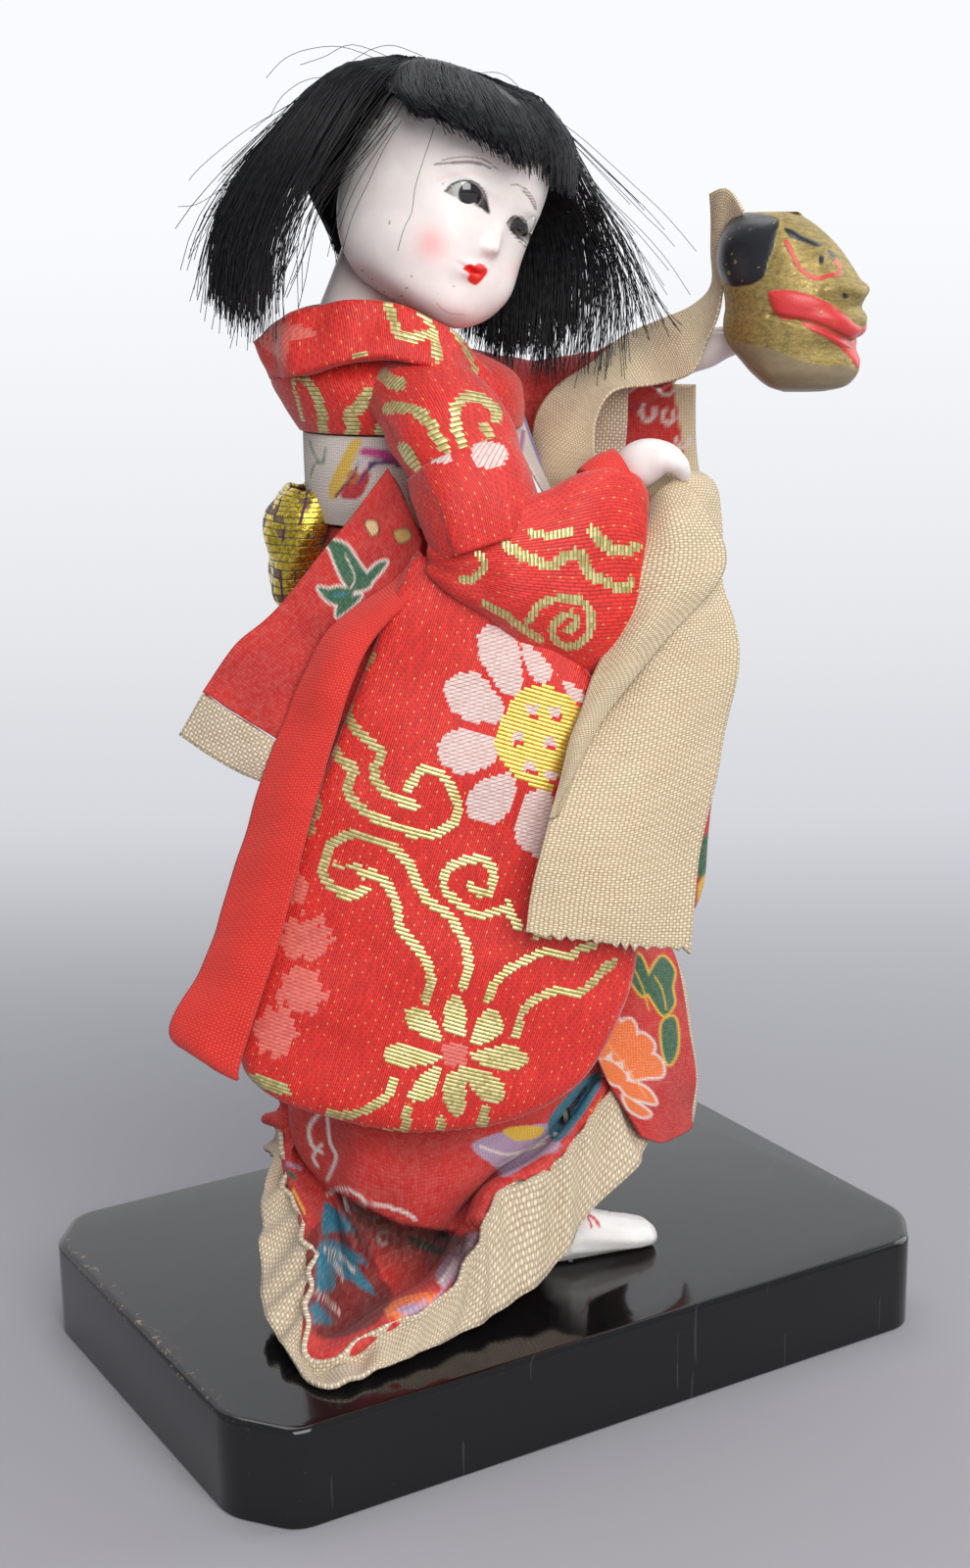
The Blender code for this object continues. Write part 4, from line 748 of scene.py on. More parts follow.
def facePrint(points, local):
    u, v = seen(points)
    drawn = Drawing(u, v, srgb(244, 235, 232), 0.8)
    # the blush
    for (atU, atV), wide, strength in (((443, 248), 17.0, 0.85), ((528, 276), 10.0, 0.25), ((470, 326), 16.0, 0.3)):
        drawn.lay(strength * np.exp(-(((u - atU) / wide)**2 + ((v - atV) / wide)**2)), srgb(246, 176, 178))
    drawn.marks(faceMarks)
    for atU, atV in specks:
        drawn.lay(drawn.edge(np.hypot(u - atU, v - atV) - 0.9), srgb(146, 106, 92))
    reach, up = local[:, 1], local[:, 2]
    drawn.colour[reach < 1.0] = srgb(240, 231, 228)
    # the scalp is dark under the hair
    behind = (reach < -3.5 - 0.4 * (6.0 - up).clip(0, 12)) & (up > -9.0)
    drawn.colour[(up > 11.0) | (v < 98 + (u - 400) * 0.42) | behind] = srgb(26, 25, 27)
    return drawn.colour


def makeHead(finish):
    levels = smoothRun(skull, head["levels"])
    # more of the points stand in front, where the face is
    front = round(head["sides"] * 0.72)
    angle = np.concatenate([np.linspace(0, math.pi, front, endpoint=False),
                            np.linspace(math.pi, math.tau, head["sides"] - front, endpoint=False)])
    height = np.repeat(levels[:, :1], head["sides"], 1)
    across = levels[:, 1:2] * np.cos(angle)
    reach = np.sin(angle) * np.where(np.sin(angle) > 0, levels[:, 2:3], levels[:, 3:4])
    facing = np.clip((np.sin(angle) - 0.2) / 0.2, 0, 1)
    for atX, atZ, wide, tall, rise in bumps:
        reach = reach + facing * rise * np.exp(-(((across - atX) / wide)**2 + ((height - atZ) / tall)**2))
    local = np.stack([across, reach, height], -1)
    piece = joinedNeck(rings("headShell", headPlace(local), finish))
    face = local[local[..., 1] > 0.15]
    for side, spot in eyePlaces.items():
        opened(piece, lids[side], spot, face * head["height"], np.stack(seen(world(headPlace(face))), -1))
    points = np.array([vertex.co for vertex in piece.data.vertices]) / mm
    flat = np.stack([points @ rightWay, points @ awayWay, points[:, 2]], -1) - np.array(head["middle"])
    setColours(piece.data, "print", facePrint(points * mm, flat @ headFrame().T), "POINT")
    piece.data.shade_smooth()
    piece.data.set_sharp_from_angle(angle=math.radians(48))
    return piece


def joinedNeck(piece):
    lean = math.radians(head["neckLean"])
    axis = np.array([math.sin(lean), 0.0, math.cos(lean)])
    flat, side = np.array([-math.cos(lean), 0.0, math.sin(lean)]), np.array([0.0, 1.0, 0.0])
    grid = []
    for part in np.linspace(0, 1, 14):
        radius = head["neckRadius"] * (1 + 0.10 * (1 - part)**2)
        middle = np.array(head["neckFoot"]) + axis * head["neckLength"] * part
        turned = np.linspace(0, math.tau, 96, endpoint=False)[:, None]
        grid.append(middle + radius * (flat * np.cos(turned) + side * np.sin(turned)))
    neck = rings("neckCopy", np.array(grid), piece.data.materials[0])
    return worked(piece, neck, "UNION")


def worked(piece, other, operation):
    change = piece.modifiers.new("change", "BOOLEAN")
    change.operation, change.solver, change.object = operation, "EXACT", other
    applied(piece)
    bpy.data.objects.remove(other, do_unlink=True)
    return piece


def opened(piece, lid, spot, places, pixels):
    # the lids' outline cut through the face in front of the eye
    shape = []
    for point in smoothRun(lid, 56, True):
        near = ((pixels - point)**2).sum(1)
        closest = np.argsort(near)[:4]
        weight = 1 / (near[closest] + 0.05)
        shape.append((places[closest] * weight[:, None]).sum(0) / weight.sum())
    shape = np.array(shape)
    grid = []
    for ahead in (0.6, 6.5):
        shape[:, 1] = spot[1] * head["height"] + ahead
        grid.append(headPlace(shape / head["height"]))
    worked(piece, rings("eyeCut", np.array(grid), piece.data.materials[0]), "DIFFERENCE")


def makeEye(name, spot, side, finish):
    # a glass ball, white with a dark iris looking the same way as its fellow
    level = np.linspace(-math.pi / 2, math.pi / 2, 112)[1:-1][:, None]
    turned = np.linspace(0, math.tau, 150, endpoint=False)
    local = np.stack([np.cos(level) * np.cos(turned), np.cos(level) * np.sin(turned),
                      np.repeat(np.sin(level), 150, 1)], -1) * head["eyeRadius"]

    def look(points):
        u, v = seen(points)
        drawn = Drawing(u, v, srgb(206, 206, 200), 0.8)
        atU, atV, wide, tall = irises[side]
        edge = (np.hypot((u - atU) / wide, (v - atV) / tall) - 1) * wide
        drawn.lay(drawn.edge(edge), srgb(44, 46, 48))
        drawn.lay(drawn.edge(edge + 2.4), srgb(14, 14, 16))
        return drawn.colour

    return rings(name, headPlace((local + np.array(spot) * head["height"]) / head["height"]), finish, look)


# the lion mask: a moulded head, with brows, snout, lips and jaw raised on it

mask = {"height": 25.0, "width": 20.0, "depth": 21.8, "turn": 24.0, "middle": (45.6, -1.0, 158.4)}
maskRows = [
    (-0.5, 0.16, 0.25, -0.02), (-0.47, 0.3, 0.38, 0.12), (-0.4, 0.4, 0.45, 0.23), (-0.33, 0.44, 0.455, 0.31),
    (-0.245, 0.465, 0.415, 0.4), (-0.16, 0.475, 0.475, 0.44), (-0.09, 0.48, 0.5, 0.44), (-0.03, 0.48, 0.462, 0.43),
    (0.05, 0.48, 0.492, 0.44), (0.13, 0.47, 0.44, 0.47), (0.23, 0.45, 0.36, 0.49), (0.34, 0.41, 0.25, 0.48),
    (0.43, 0.34, 0.12, 0.44), (0.48, 0.24, 0, 0.39), (0.5, 0.12, -0.1, 0.32),
]
# drawn in the photograph's pixels on the near side, and mirrored on the far one
maskMarks = {
    "hair": [(729, 268), (732, 245), (742, 228), (754, 219), (770, 218), (794, 223), (793, 238),
        (790, 252), (784, 268),
             (780, 282), (770, 289), (757, 292), (745, 292), (735, 282)],
    "brow": [(800, 233), (808, 234), (820, 241), (832, 246), (840, 250), (834, 252), (822, 248), (808, 243)],
    "browEnd": [(846, 257), (852, 262)],
    "underEye": [(802, 246), (808, 258), (814, 270), (822, 279), (834, 284), (846, 281), (856, 280)],
    "eyeCorner": [(853, 267), (858, 274), (856, 280)],
    "pupil": [(835, 262), (840, 263), (838, 270), (834, 270)],
    "upperLip": [(784, 300), (790, 296), (806, 296), (826, 301), (846, 309), (862, 321), (872, 330),
        (880, 335), (876, 342),
                 (868, 346), (856, 340), (840, 332), (820, 326), (800, 326), (790, 318)],
    "lowerLip": [(818, 328), (836, 332), (852, 340), (866, 347), (872, 352), (876, 364), (875, 376),
        (868, 366), (856, 354),
                 (840, 343), (826, 336)],
    "nostril": [(860, 299), (865, 300), (866, 304), (861, 305)],
}


def maskFrame():
    turned = math.radians(mask["turn"])
    along, aside = math.cos(turned), math.sin(turned)
    return np.array([[along, -aside, 0.0], [aside, along, 0.0], [0, 0, 1.0]])


def makeMask(finish):
    levels = smoothRun(maskRows, 190)
    turned = np.linspace(0, math.tau, 260, endpoint=False)
    ahead = np.cos(turned) * np.where(np.cos(turned) > 0, levels[:, 2:3], levels[:, 3:4]) * mask["depth"]
    aside = np.sin(turned) * levels[:, 1:2] * mask["width"]
    up = np.repeat(levels[:, :1] * mask["height"], 260, 1)
    grid = np.array(mask["middle"]) + np.stack([ahead, aside, up], -1) @ maskFrame()
    # the near half is drawn on; the far half takes its mirror image
    mirror = np.array(mask["middle"]) + np.stack([ahead, -np.abs(aside), up], -1) @ maskFrame()
    x, y = seen(world(mirror.reshape(-1, 3)))

    def near(shape, wide):
        return np.exp(-(toLine(x, y, shape) / wide)**2)

    def nearSpot(atX, atY, wide):
        return np.exp(-(np.hypot(x - atX, y - atY) / wide)**2)

    lift = np.zeros(len(x))
    raised = (("upperLip", 0.55, 5.0), ("lowerLip", 0.45, 4.0), ("hair", 0.35, 5.0), ("brow", 0.30, 4.0))
    for name, rise, wide in raised:
        shape = smoothRun(maskMarks[name], 60, True)
        distance = toLine(x, y, np.concatenate([shape, shape[:1]]))
        lift += rise * np.where(withinShape(x, y, shape), 1 - np.exp(-distance / wide), 0.0)
    lift -= 0.5 * near(smoothRun([(786, 322), (808, 326), (840, 336), (870, 350)], 30), 3.0)
    lift += 0.5 * nearSpot(836, 268, 10.0)
    lift -= 0.35 * nearSpot(863, 302, 3.0)
    lift += 0.5 * near([(842, 296), (858, 292), (876, 296)], 5.0)
    ends = 1 - np.clip((np.abs(up) / mask["height"] - 0.46) / 0.04, 0, 1)
    piece = rings("lionMask", pushed(grid, lift.reshape(190, 260) * ends, True), finish)
    black, red = srgb(30, 31, 36), srgb(206, 58, 58)
    # the paint's colour, and where there is paint rather than gold
    drawn, cover = [Drawing(x, y, (0.0, 0.0, 0.0), 1.2) for _ in range(2)]
    for names, colour in (("hair brow pupil nostril", black), ("upperLip lowerLip", red)):
        for name in names.split():
            drawn.fill(maskMarks[name], colour, grow=1.5)
            cover.fill(maskMarks[name], (1.0, 1.0, 0.0))
    bare = [(736, 350), (767, 351), (787, 356), (813, 366), (840, 373), (872, 373), (872, 404), (736, 404)]
    drawn.fill(bare, srgb(138, 124, 104), False)
    cover.fill(bare, (0.75, 0.0, 0.0), False)
    strokes = (("browEnd", 4.0, black), ("underEye", 4.2, red), ("eyeCorner", 5.0, srgb(190, 96, 80)))
    for name, width, colour in strokes:
        drawn.stroke(maskMarks[name], width + 3, colour)
        cover.stroke(maskMarks[name], width, (1.0, 1.0, 0.0))
    worn = (waves(x, y, 9.0, 3, 14) > 1.75) | (waves(x + y, y - x, 5.0, 4, 14) > 1.9)
    cover.colour[:, 0] *= 1 - worn
    setColours(piece.data, "print", drawn.colour, "POINT")
    setColours(piece.data, "cover", cover.colour, "POINT")
    return piece


# cloth finishes

def brocadeFinish(name, ground=srgb(244, 44, 34)):
    # red satin with flat gold and white threads; each cell of the weave carries its own thread
    paint = Paint(name, ground, Sheen_Weight=0.25, Sheen_Roughness=0.4)
    x, y = paint.threads()
    across, down = x * (1 / weave["across"]), y * (1 / weave["down"])
    gold, white, other = paint.channels(paint.attribute("weave"))
    chance = paint.chance(across.floor(), down.floor())
    # satin floats: short dashes down the warp, each column shifted from the last
    warp = x * (1 / weave["warp"])
    column, ridge = warp.floor(), warp.ridge()
    course = y * (1 / weave["float"]) + column * 0.375
    dash, dashChance = course.math("FRACT"), paint.chance(column, course.floor())
    dashEnd = (1.0 - dash.over(0.10, 0.08)) + dash.over(0.93, 0.05)
    slow = paint.noise(paint.join3(x, y), 0.10, 2.0)
    red = paint.mix((ridge * 0.55 + dashChance * 0.45 + slow * 0.3 - 0.2).clamp(), tuple(0.55 * c for c in ground),
                    tuple(min(1.0, 1.20 * c + 0.008) for c in ground))
    red = paint.mix((dashEnd * 0.40 + (1.0 - ridge.over(0.22, 0.2)) * 0.5).clamp(), red, srgb(142, 10, 12))
    # one warp in four lets the gold behind show as a dot at the end of its float
    fourth = 1.0 - (column * 0.25).math("FRACT").over(0.12, 0.01)
    fleck = fourth * dashChance.over(1.0 - weave["fleck"], 0.01) * ridge.over(0.52, 0.1)
    fleck = fleck * (1.0 - dash.over(0.20, 0.03))
    red = paint.mix((fleck * (0.35 + dashChance * 0.5)).clamp(), red, srgb(228, 184, 104))
    # lamella rows: a thin dark line between one strip and the next
    lamella = down.ridge()
    gap = 1.0 - lamella.over(0.20, 0.10)
    knot = 1.0 - (across * 0.5 + down.floor() * 0.5).math("PINGPONG", 0.5).over(0.045, 0.03)
    glint = paint.noise(paint.join3(x, y), 3.0, 3.0, 0.7)
    pale = paint.mix((chance * 0.6 + glint * 0.9 - 0.3).clamp(), srgb(182, 170, 92), srgb(250, 242, 178))
    deep = paint.mix((chance * 0.5 + glint * 0.6 - 0.1).clamp(), srgb(220, 164, 40), srgb(255, 232, 120))
    goldTone = paint.mix((gap * 0.9 + knot * 0.2).clamp(), paint.mix(other, pale, deep), srgb(112, 44, 22))
    shade = (chance * 0.5 + glint * 0.5).clamp()
    silk = paint.mix(other, paint.mix(shade, srgb(205, 176, 170), srgb(240, 222, 216)),
                     paint.mix(shade, srgb(206, 84, 76), srgb(244, 128, 112)))
    slant = 1.0 - ((x * 0.62 + y) * (1 / 0.62)).math("PINGPONG", 0.5).over(0.10, 0.06)
    silk = paint.mix((slant * 0.75).clamp(), silk, srgb(186, 84, 78))
    thick = (gold + white).clamp()
    satin = ridge.math("SQRT") * (1.0 - dashEnd.clamp() * 0.7)
    height = thick * (lamella * 0.8 + 0.35) + (1.0 - thick) * satin * 0.65
    paint.set(Base_Color=paint.mix(white, paint.mix(gold, red, goldTone), silk),
              Metallic=(gold * (1.0 - gap) * 0.5).clamp(),
              Roughness=((1.0 - gold) * 0.13 + 0.34 + chance * 0.10 - glint * gold * 0.10).clamp(),
              Normal=paint.bump(height + chance * gold * 0.12, 0.10, 0.9))
    return paint.material


def plainFinish(name, light, dark, pitch):
    # plain weave: threads that pass over and under each other
    paint = Paint(name, light, Sheen_Weight=0.15, Sheen_Roughness=0.5)
    x, y = paint.threads()
    wobble = paint.noise(paint.join3(x, y), 0.5, 2.0) * pitch * 0.9
    u, v = (x + wobble) * (1 / pitch), (y - wobble) * (1 / pitch)
    over = ((u.floor() + v.floor()) * 0.5).math("FRACT").over(0.25, 0.01)
    alongU, alongV = u.ridge(), v.ridge()
    crown = (alongU * alongV).math("SQRT")
    lift = over * alongV + (1.0 - over) * alongU
    blotch = paint.noise(paint.join3(x * 0.35, y * 2.2), 0.8, 3.0)
    shade = (crown * (over * 0.55 + 0.45) + lift * 0.2 + blotch * 0.35 - 0.175 + 0.05).clamp()
    paint.set(Base_Color=paint.mix(shade, dark, light), Roughness=blotch * 0.15 + 0.5,
              Normal=paint.bump(crown * 0.7 + lift * 0.4, 0.10, 0.85))
    return paint.material


def crepeFinish(name, pitch=0.42):
    # printed crepe: the print carried by the points, on a grainy plain weave
    paint = Paint(name, srgb(196, 44, 44), Sheen_Weight=0.08, Sheen_Roughness=0.6, Specular_IOR_Level=0.3)
    x, y = paint.threads()
    wobble = paint.noise(paint.join3(x, y), 1.1, 2.0) * pitch * 1.5
    u, v = (x + wobble) * (1 / pitch), (y + wobble) * (1 / pitch)
    chance = paint.chance(u.floor(), v.floor())
    crown = (u.ridge() * v.ridge()).math("SQRT")
    worn = paint.noise(paint.join3(x, y), 0.35, 4.0, 0.7)
    body = paint.mix((0.56 - crown * 0.7).clamp(), paint.attribute("print"), (0.36, 0.27, 0.27), "MULTIPLY")
    body = paint.mix((chance * 0.07 + worn.over(0.62, 0.12) * 0.05).clamp(), body, srgb(250, 205, 190))
    paint.set(Base_Color=body, Roughness=worn * 0.1 + 0.66, Normal=paint.bump(crown * 0.8 + chance * 0.3, 0.10, 0.8))
    return paint.material


def lameFinish():
    paint = Paint("goldLame", srgb(206, 164, 40), Coat_Weight=0.2)
    x, y = paint.threads()
    across, down = x * (1 / 2.3), y * (1 / 0.85)
    chance = paint.chance(across.floor(), down.floor())
    gap = 1.0 - down.ridge().over(0.16, 0.08)
    thread = 1.0 - across.ridge().over(0.20, 0.08)
    patch = paint.noise(paint.join3(x * 1.2, y * 0.8), 0.35, 2.0).over(0.52, 0.03)
    purple = (gap * 0.8 + patch * (thread + chance.over(0.6, 0.02) * 0.8)).clamp()
    crumple = paint.noise(paint.join3(x, y), 1.6, 3.0, 0.7)
    # painted reflections: the gold is lighter and darker with the crumples, as highlights and dark reflections
    gold = paint.mix(crumple.over(0.5, 0.2), srgb(176, 134, 14), srgb(255, 236, 96))
    paint.set(Base_Color=paint.mix(purple, gold, srgb(84, 52, 70)), Metallic=(1.0 - purple) * 0.9,
              Roughness=purple * 0.5 + crumple * 0.2 + 0.16,
              Normal=paint.bump(crumple * 0.8 + chance * 0.5 - gap * 0.6, 0.25, 0.8))
    return paint.material


# the brocade's weave, in millimetres: its cells, its satin floats, and the share of floats that show gold
weave = {"across": 0.44, "down": 0.55, "warp": 0.31, "float": 1.7, "fleck": 0.62}

# figures of the brocade, in the photograph's pixels
scrolls = [
    (10, 373, 908, 356, 914, 337, 903, 329, 890, 333, 872, 340, 860, 359, 852, 380, 856, 401, 865, 415, 879, 423,
     894, 436, 918, 458, 934, 468, 950, 475, 966, 478, 985, 472, 1006),
    (10, 364, 884, 372, 893, 380, 892, 396, 904, 405, 923, 408, 947, 420, 961, 435, 982, 440, 1003, 435, 1022),
    (4, 340, 880, 348, 884, 357, 884),
    (9, 530, 947, 519, 931, 506, 930, 487, 934, 466, 920, 454, 907, 455, 891, 468, 880, 487, 877, 500, 883, 503,
     896, 500, 911, 486, 910, 480, 903), (6, 519, 919, 520, 928),
    (10, 354, 721, 359, 739, 380, 759, 390, 770, 382, 785, 388, 803, 405, 815, 423, 823),
    (10, 339, 762, 349, 777, 362, 785, 354, 803, 362, 818, 377, 831, 398, 841, 423, 850, 444, 851, 461, 841, 467,
     823, 461, 805, 449, 790, 433, 785, 423, 795, 416, 805), (8, 321, 813, 326, 826, 319, 838, 317, 849),
    (8, 370, 683, 380, 670), (9, 498, 1019, 506, 1003, 519, 990, 538, 979, 559, 971, 581, 976, 592, 968, 605, 966),
    (9, 527, 1057, 533, 1033, 549, 1019, 567, 1011, 589, 1014, 605, 1003, 613, 992, 626, 982),
    (7, 546, 955, 573, 953), (9, 401, 1102, 396, 1118, 380, 1129, 358, 1138, 337, 1136),
    (10, 417, 1132, 412, 1153), (9, 450, 1143, 450, 1161), (11, 495, 1132, 490, 1159), (4, 375, 1153, 415, 1154),
]
goldPetals = [
    [463, 1015, 472, 1022, 476, 1043, 472, 1058, 455, 1054, 452, 1041, 456, 1025],
    [503, 1029, 514, 1043, 511, 1054, 495, 1065, 479, 1065, 484, 1049, 492, 1035],
    [479, 1075, 498, 1070, 522, 1066, 539, 1080, 525, 1092, 503, 1090, 487, 1084],
    [468, 1089, 487, 1089, 511, 1102, 515, 1118, 508, 1126, 490, 1121, 479, 1108],
    [460, 1094, 471, 1097, 476, 1110, 474, 1132, 466, 1140, 455, 1129, 452, 1108],
    [450, 1089, 448, 1105, 441, 1118, 428, 1125, 417, 1121, 423, 1105, 436, 1092],
    [452, 1081, 441, 1075, 417, 1066, 399, 1067, 391, 1078, 404, 1089, 428, 1088],
    [450, 1065, 444, 1043, 433, 1030, 415, 1030, 415, 1043, 425, 1054],
    [254, 1097, 275, 1098, 293, 1108, 295, 1118, 275, 1113, 259, 1108],
]
whitePetals = [
    [497, 638, 518, 642, 530, 660, 533, 683, 533, 703, 520, 711, 502, 693, 490, 670, 487, 652],
    [532, 656, 548, 665, 563, 683, 556, 698, 543, 690, 535, 672],
    [469, 687, 489, 688, 505, 706, 515, 723, 507, 739, 489, 737, 464, 728, 454, 708, 456, 695],
    [454, 749, 479, 744, 505, 754, 510, 769, 497, 782, 477, 790, 454, 782, 446, 767],
    [515, 789, 525, 795, 525, 815, 515, 833, 500, 842, 479, 833, 477, 815, 489, 798],
    [538, 810, 561, 808, 566, 840, 558, 876, 530, 862, 525, 841, 533, 823],
    [575, 697, 590, 702, 600, 718, 585, 714],
]
flowerHeart = [
    (530, 706), (558, 700), (592, 721), (589, 744), (579, 769), (569, 795), (561, 808), (530, 795), (510, 774),
    (505, 757), (515, 729),
]
heartSpots = [
    (543, 724), (566, 726), (528, 752), (561, 757), (541, 782), (563, 792),
]
salmonFlowers = [((313, 958), 27, 24), ((308, 1011), 26, 24), ((281, 1054), 22, 28), ((305, 907), 11, 16)]
forearmScrolls = [
    (11, 515, 554, 530, 565, 548, 573, 563, 578, 576, 568, 592, 565, 599, 583, 617, 593, 635, 601, 643, 596),
    (8, 539, 634, 553, 616, 574, 611, 594, 614, 603, 629, 599, 650, 581, 660, 566, 652, 565, 637, 579, 627, 589,
     634, 579, 644), (8, 494, 616, 515, 627, 530, 639, 551, 652), (8, 541, 544, 566, 547, 581, 542),
    (12, 604, 542, 617, 555, 630, 563, 650, 558), (8, 489, 565, 494, 578, 482, 591, 472, 591),
]
torsoScrolls = [
    (10, 303, 384, 311, 386, 319, 398, 327, 415, 329, 433, 331, 443),
    (14, 378, 401, 368, 413, 357, 425, 361, 437, 355, 449), (14, 392, 423, 388, 453), (4, 298, 388, 309, 429),
]
upperSleeveScrolls = [
    (14, 388, 380, 400, 390, 408, 392), (12, 396, 417, 408, 415, 424, 419, 436, 429, 446, 445, 454, 457),
    (11, 471, 453, 465, 429, 469, 409, 487, 405, 505, 417, 507, 427), (12, 412, 457, 424, 475),
    (10, 495, 435, 505, 453),
]
collarScrolls = [
    (10, 397, 312, 401, 326, 406, 340, 424, 344, 440, 341, 444, 352, 446, 364), (6, 428, 320, 440, 330, 444, 344),
    (5, 452, 326, 466, 342, 478, 362, 487, 380), (8, 352, 372, 372, 364, 392, 372),
    (8, 470, 376, 482, 388, 494, 392),
]
gold, white, bright, salmon = (1.0, 0.0, 0.0), (0.0, 1.0, 0.0), (1.0, 0.0, 1.0), (0.0, 1.0, 1.0)
collarPatches = [
    fill(salmon, 0, 262, 346, 280, 334, 300, 330, 322, 340, 310, 348, 296, 350, 292, 372, 284, 366),
]
bandPatches = [
    fill(white, 0, 482, 456, 500, 450, 517, 458, 514, 476, 500, 478, 486, 474),
    fill(white, 0, 430, 461, 446, 458, 461, 464, 456, 472, 434, 470),
]
plainGround = (0.0, 0.0, 0.0)


def facing(points):
    # where the viewer sees a surface: nearer than the doll's middle plane
    return points @ awayWay < 0.004


def scrollWeave(strokes, shapes=()):
    # a weave that follows strokes seen on the near side, with rows of scrolls and flowers on the far side
    def weaveAt(points):
        drawn = Drawing(*seen(points), plainGround, 0.01)
        drawn.marks([line(gold, *stroke) for stroke in strokes] + list(shapes))
        far = ~facing(points)
        drawn.colour[far] = farWeave(points[far])
        return drawn.colour
    return weaveAt


def farWeave(points):
    # the same traditional scrolls and flowers, strewn on the sides that the photograph doesn't show
    drawn = Drawing((points @ rightWay) / mm, points[:, 2] / mm, plainGround, 0.01)
    for row in range(8):
        for place in range(-3, 4):
            atX, atY = middle = (place * 19.0 + (row % 2) * 9.5, 42.0 + row * 15.5)
            if (row + place) % 3 == 0:
                drawn.petals(middle, gold, 1.2, 5.6, 2.6, 8, 12.0)
                drawn.petals(middle, white, 0.0, 1.4, 2.2, 6)
            elif (row + place) % 3 == 1:
                drawn.petals(middle, white, 1.8, 6.4, 3.6, 9, 5.0)
                drawn.petals(middle, bright, 0.0, 2.2, 3.0, 7)
            else:
                bend = np.linspace(0.3, 2.1 * math.pi, 22)
                curl = [(atX + (1.0 + 0.75 * b) * math.cos(b), atY + (1.0 + 0.75 * b) * math.sin(b)) for b in bend]
                drawn.stroke(curl, 1.5, gold, False)
                drawn.stroke([(atX + 5.4, atY + 2.0), (atX + 8.6, atY - 3.0), (atX + 6.0, atY - 7.0)], 1.4, gold)
    return drawn.colour


# right hanging sleeve: two panels on one grain, sewn round their edge

bag = {
    "levels": [
        (-8.5, -3, 126, -26, -25.6, 0.8), (-11.4, 4, 120.5, -26.4, -25.4, 1.8), (-14.4, 13, 113, -27.4, -25.2, 2.6),
        (-19.2, 19.6, 101.5, -28.6, -25.4, 3.4), (-23.2, 22, 91, -29.4, -26, 4), (-27.4, 22.6, 78, -30, -26.6, 4.6),
        (-31.4, 21.6, 66, -30.8, -27.4, 5), (-34, 17.6, 56, -31.6, -28.6, 5), (-29.4, 13.2, 50.4, -32.4, -29.8, 4.4),
        (-19.4, 6.8, 46.8, -32.8, -30.6, 3), (-11.4, 0.8, 45.2, -32.8, -31.2, 1.2),
    ],
}
leftBag = {
    "levels": [
        (14.5, 33.4, 146, 18.6, 12.4, 1.4), (13, 33.9, 135, 18.6, 14, 2.4), (11, 36.6, 122, 18.6, 15, 3.2),
        (9.6, 38.8, 108, 18.6, 15.4, 3.6), (8.6, 38, 92, 19, 15.6, 4), (8.2, 36.6, 76, 19.4, 15.8, 4.2),
        (9, 35.8, 66, 19.8, 16, 3.8), (12, 33, 60, 20, 16.6, 2.6), (17, 28, 57.6, 20, 17.4, 1.2),
    ],
}


def bagSurface(levels, tilt, cell, inset=0.0, slack=0.35):
    # a bag's two panels on one grain, sharing their rim: points, faces, and the cloth's own places
    rows = smoothRun(levels, 120)[::-1].copy()
    rows[:, 0] += inset
    rows[:, 1] -= inset
    rows[:, 2] = rows[:, 2].mean() + (rows[:, 2] - rows[:, 2].mean()) * (1 - 2 * inset / np.ptp(rows[:, 2]))
    outline = np.concatenate([rows[:, [1, 2]], rows[::-1][:, [0, 2]]])
    lean = math.radians(tilt)
    ahead, below = np.array([math.cos(lean), -math.sin(lean)]), np.array([-math.sin(lean), -math.cos(lean)])
    first, second = outline @ ahead, outline @ below
    i = np.arange(math.floor(first.min() / cell[0]) - 1, math.ceil(first.max() / cell[0]) + 2)
    j = np.arange(math.floor(second.min() / cell[1]) - 1, math.ceil(second.max() / cell[1]) + 2)
    across, down = np.meshgrid(i * cell[0], j * cell[1])
    flat = across[..., None] * ahead + down[..., None] * below
    middle = (flat[:-1, :-1] + flat[1:, 1:]) / 2
    keep = withinShape(middle[..., 0].ravel(), middle[..., 1].ravel(), outline).reshape(middle.shape[:2])
    index = np.arange(flat[..., 0].size).reshape(flat.shape[:2])
    quads = np.stack([index[:-1, :-1], index[:-1, 1:], index[1:, 1:], index[1:, :-1]], -1)[keep]
    alone = np.ones(1, bool)
    while alone.any():
        # a cell that has no inner corner would lie flat on its twin
        alone = (np.bincount(quads.ravel(), minlength=index.size) < 4)[quads].all(1)
        quads = quads[~alone]
    used, faces = np.unique(quads, return_inverse=True)
    faces = faces.reshape(-1, 4)
    points = flat.reshape(-1, 2)[used]
    rim = np.bincount(faces.ravel(), minlength=len(used)) < 4
    course = np.concatenate([outline, outline[:1]])
    steps = np.linspace(0, 1, 6, endpoint=False)[:, None]
    fine = np.concatenate([a + (b - a) * steps for a, b in zip(course[:-1], course[1:])])
    points[rim] = [fine[np.argmin(((fine - point)**2).sum(1))] for point in points[rim]]
    # its depth runs from one edge to the other, and it swells between them
    left, right, depthLeft, depthRight, swell = [
        np.interp(points[:, 1], rows[:, 2], rows[:, k]) for k in (0, 1, 3, 4, 5)]
    part = np.clip((points[:, 0] - left) / np.maximum(right - left, 0.01), 0, 1)
    bulge = np.maximum(swell - inset, 0.1) * 2 * np.sqrt(part * (1 - part))
    depth = depthLeft + (depthRight - depthLeft) * part
    depth = depth + waves(points[:, 0], points[:, 1], 17.0, 5) * slack * np.clip(bulge / 2.0, 0, 1)
    front = np.stack([points[:, 0], depth - bulge, points[:, 1]], -1)
    back = np.stack([points[:, 0], depth + bulge, points[:, 1]], -1)
    front[rim, 1] = back[rim, 1] = depth[rim]
    number = len(points)
    other = np.arange(number) + number
    other[rim] = np.arange(number)[rim]
    both = np.concatenate([faces, other[faces][:, ::-1]])
    return np.concatenate([front, back]), both, np.tile(points @ ahead, 2), np.tile(points @ below, 2)


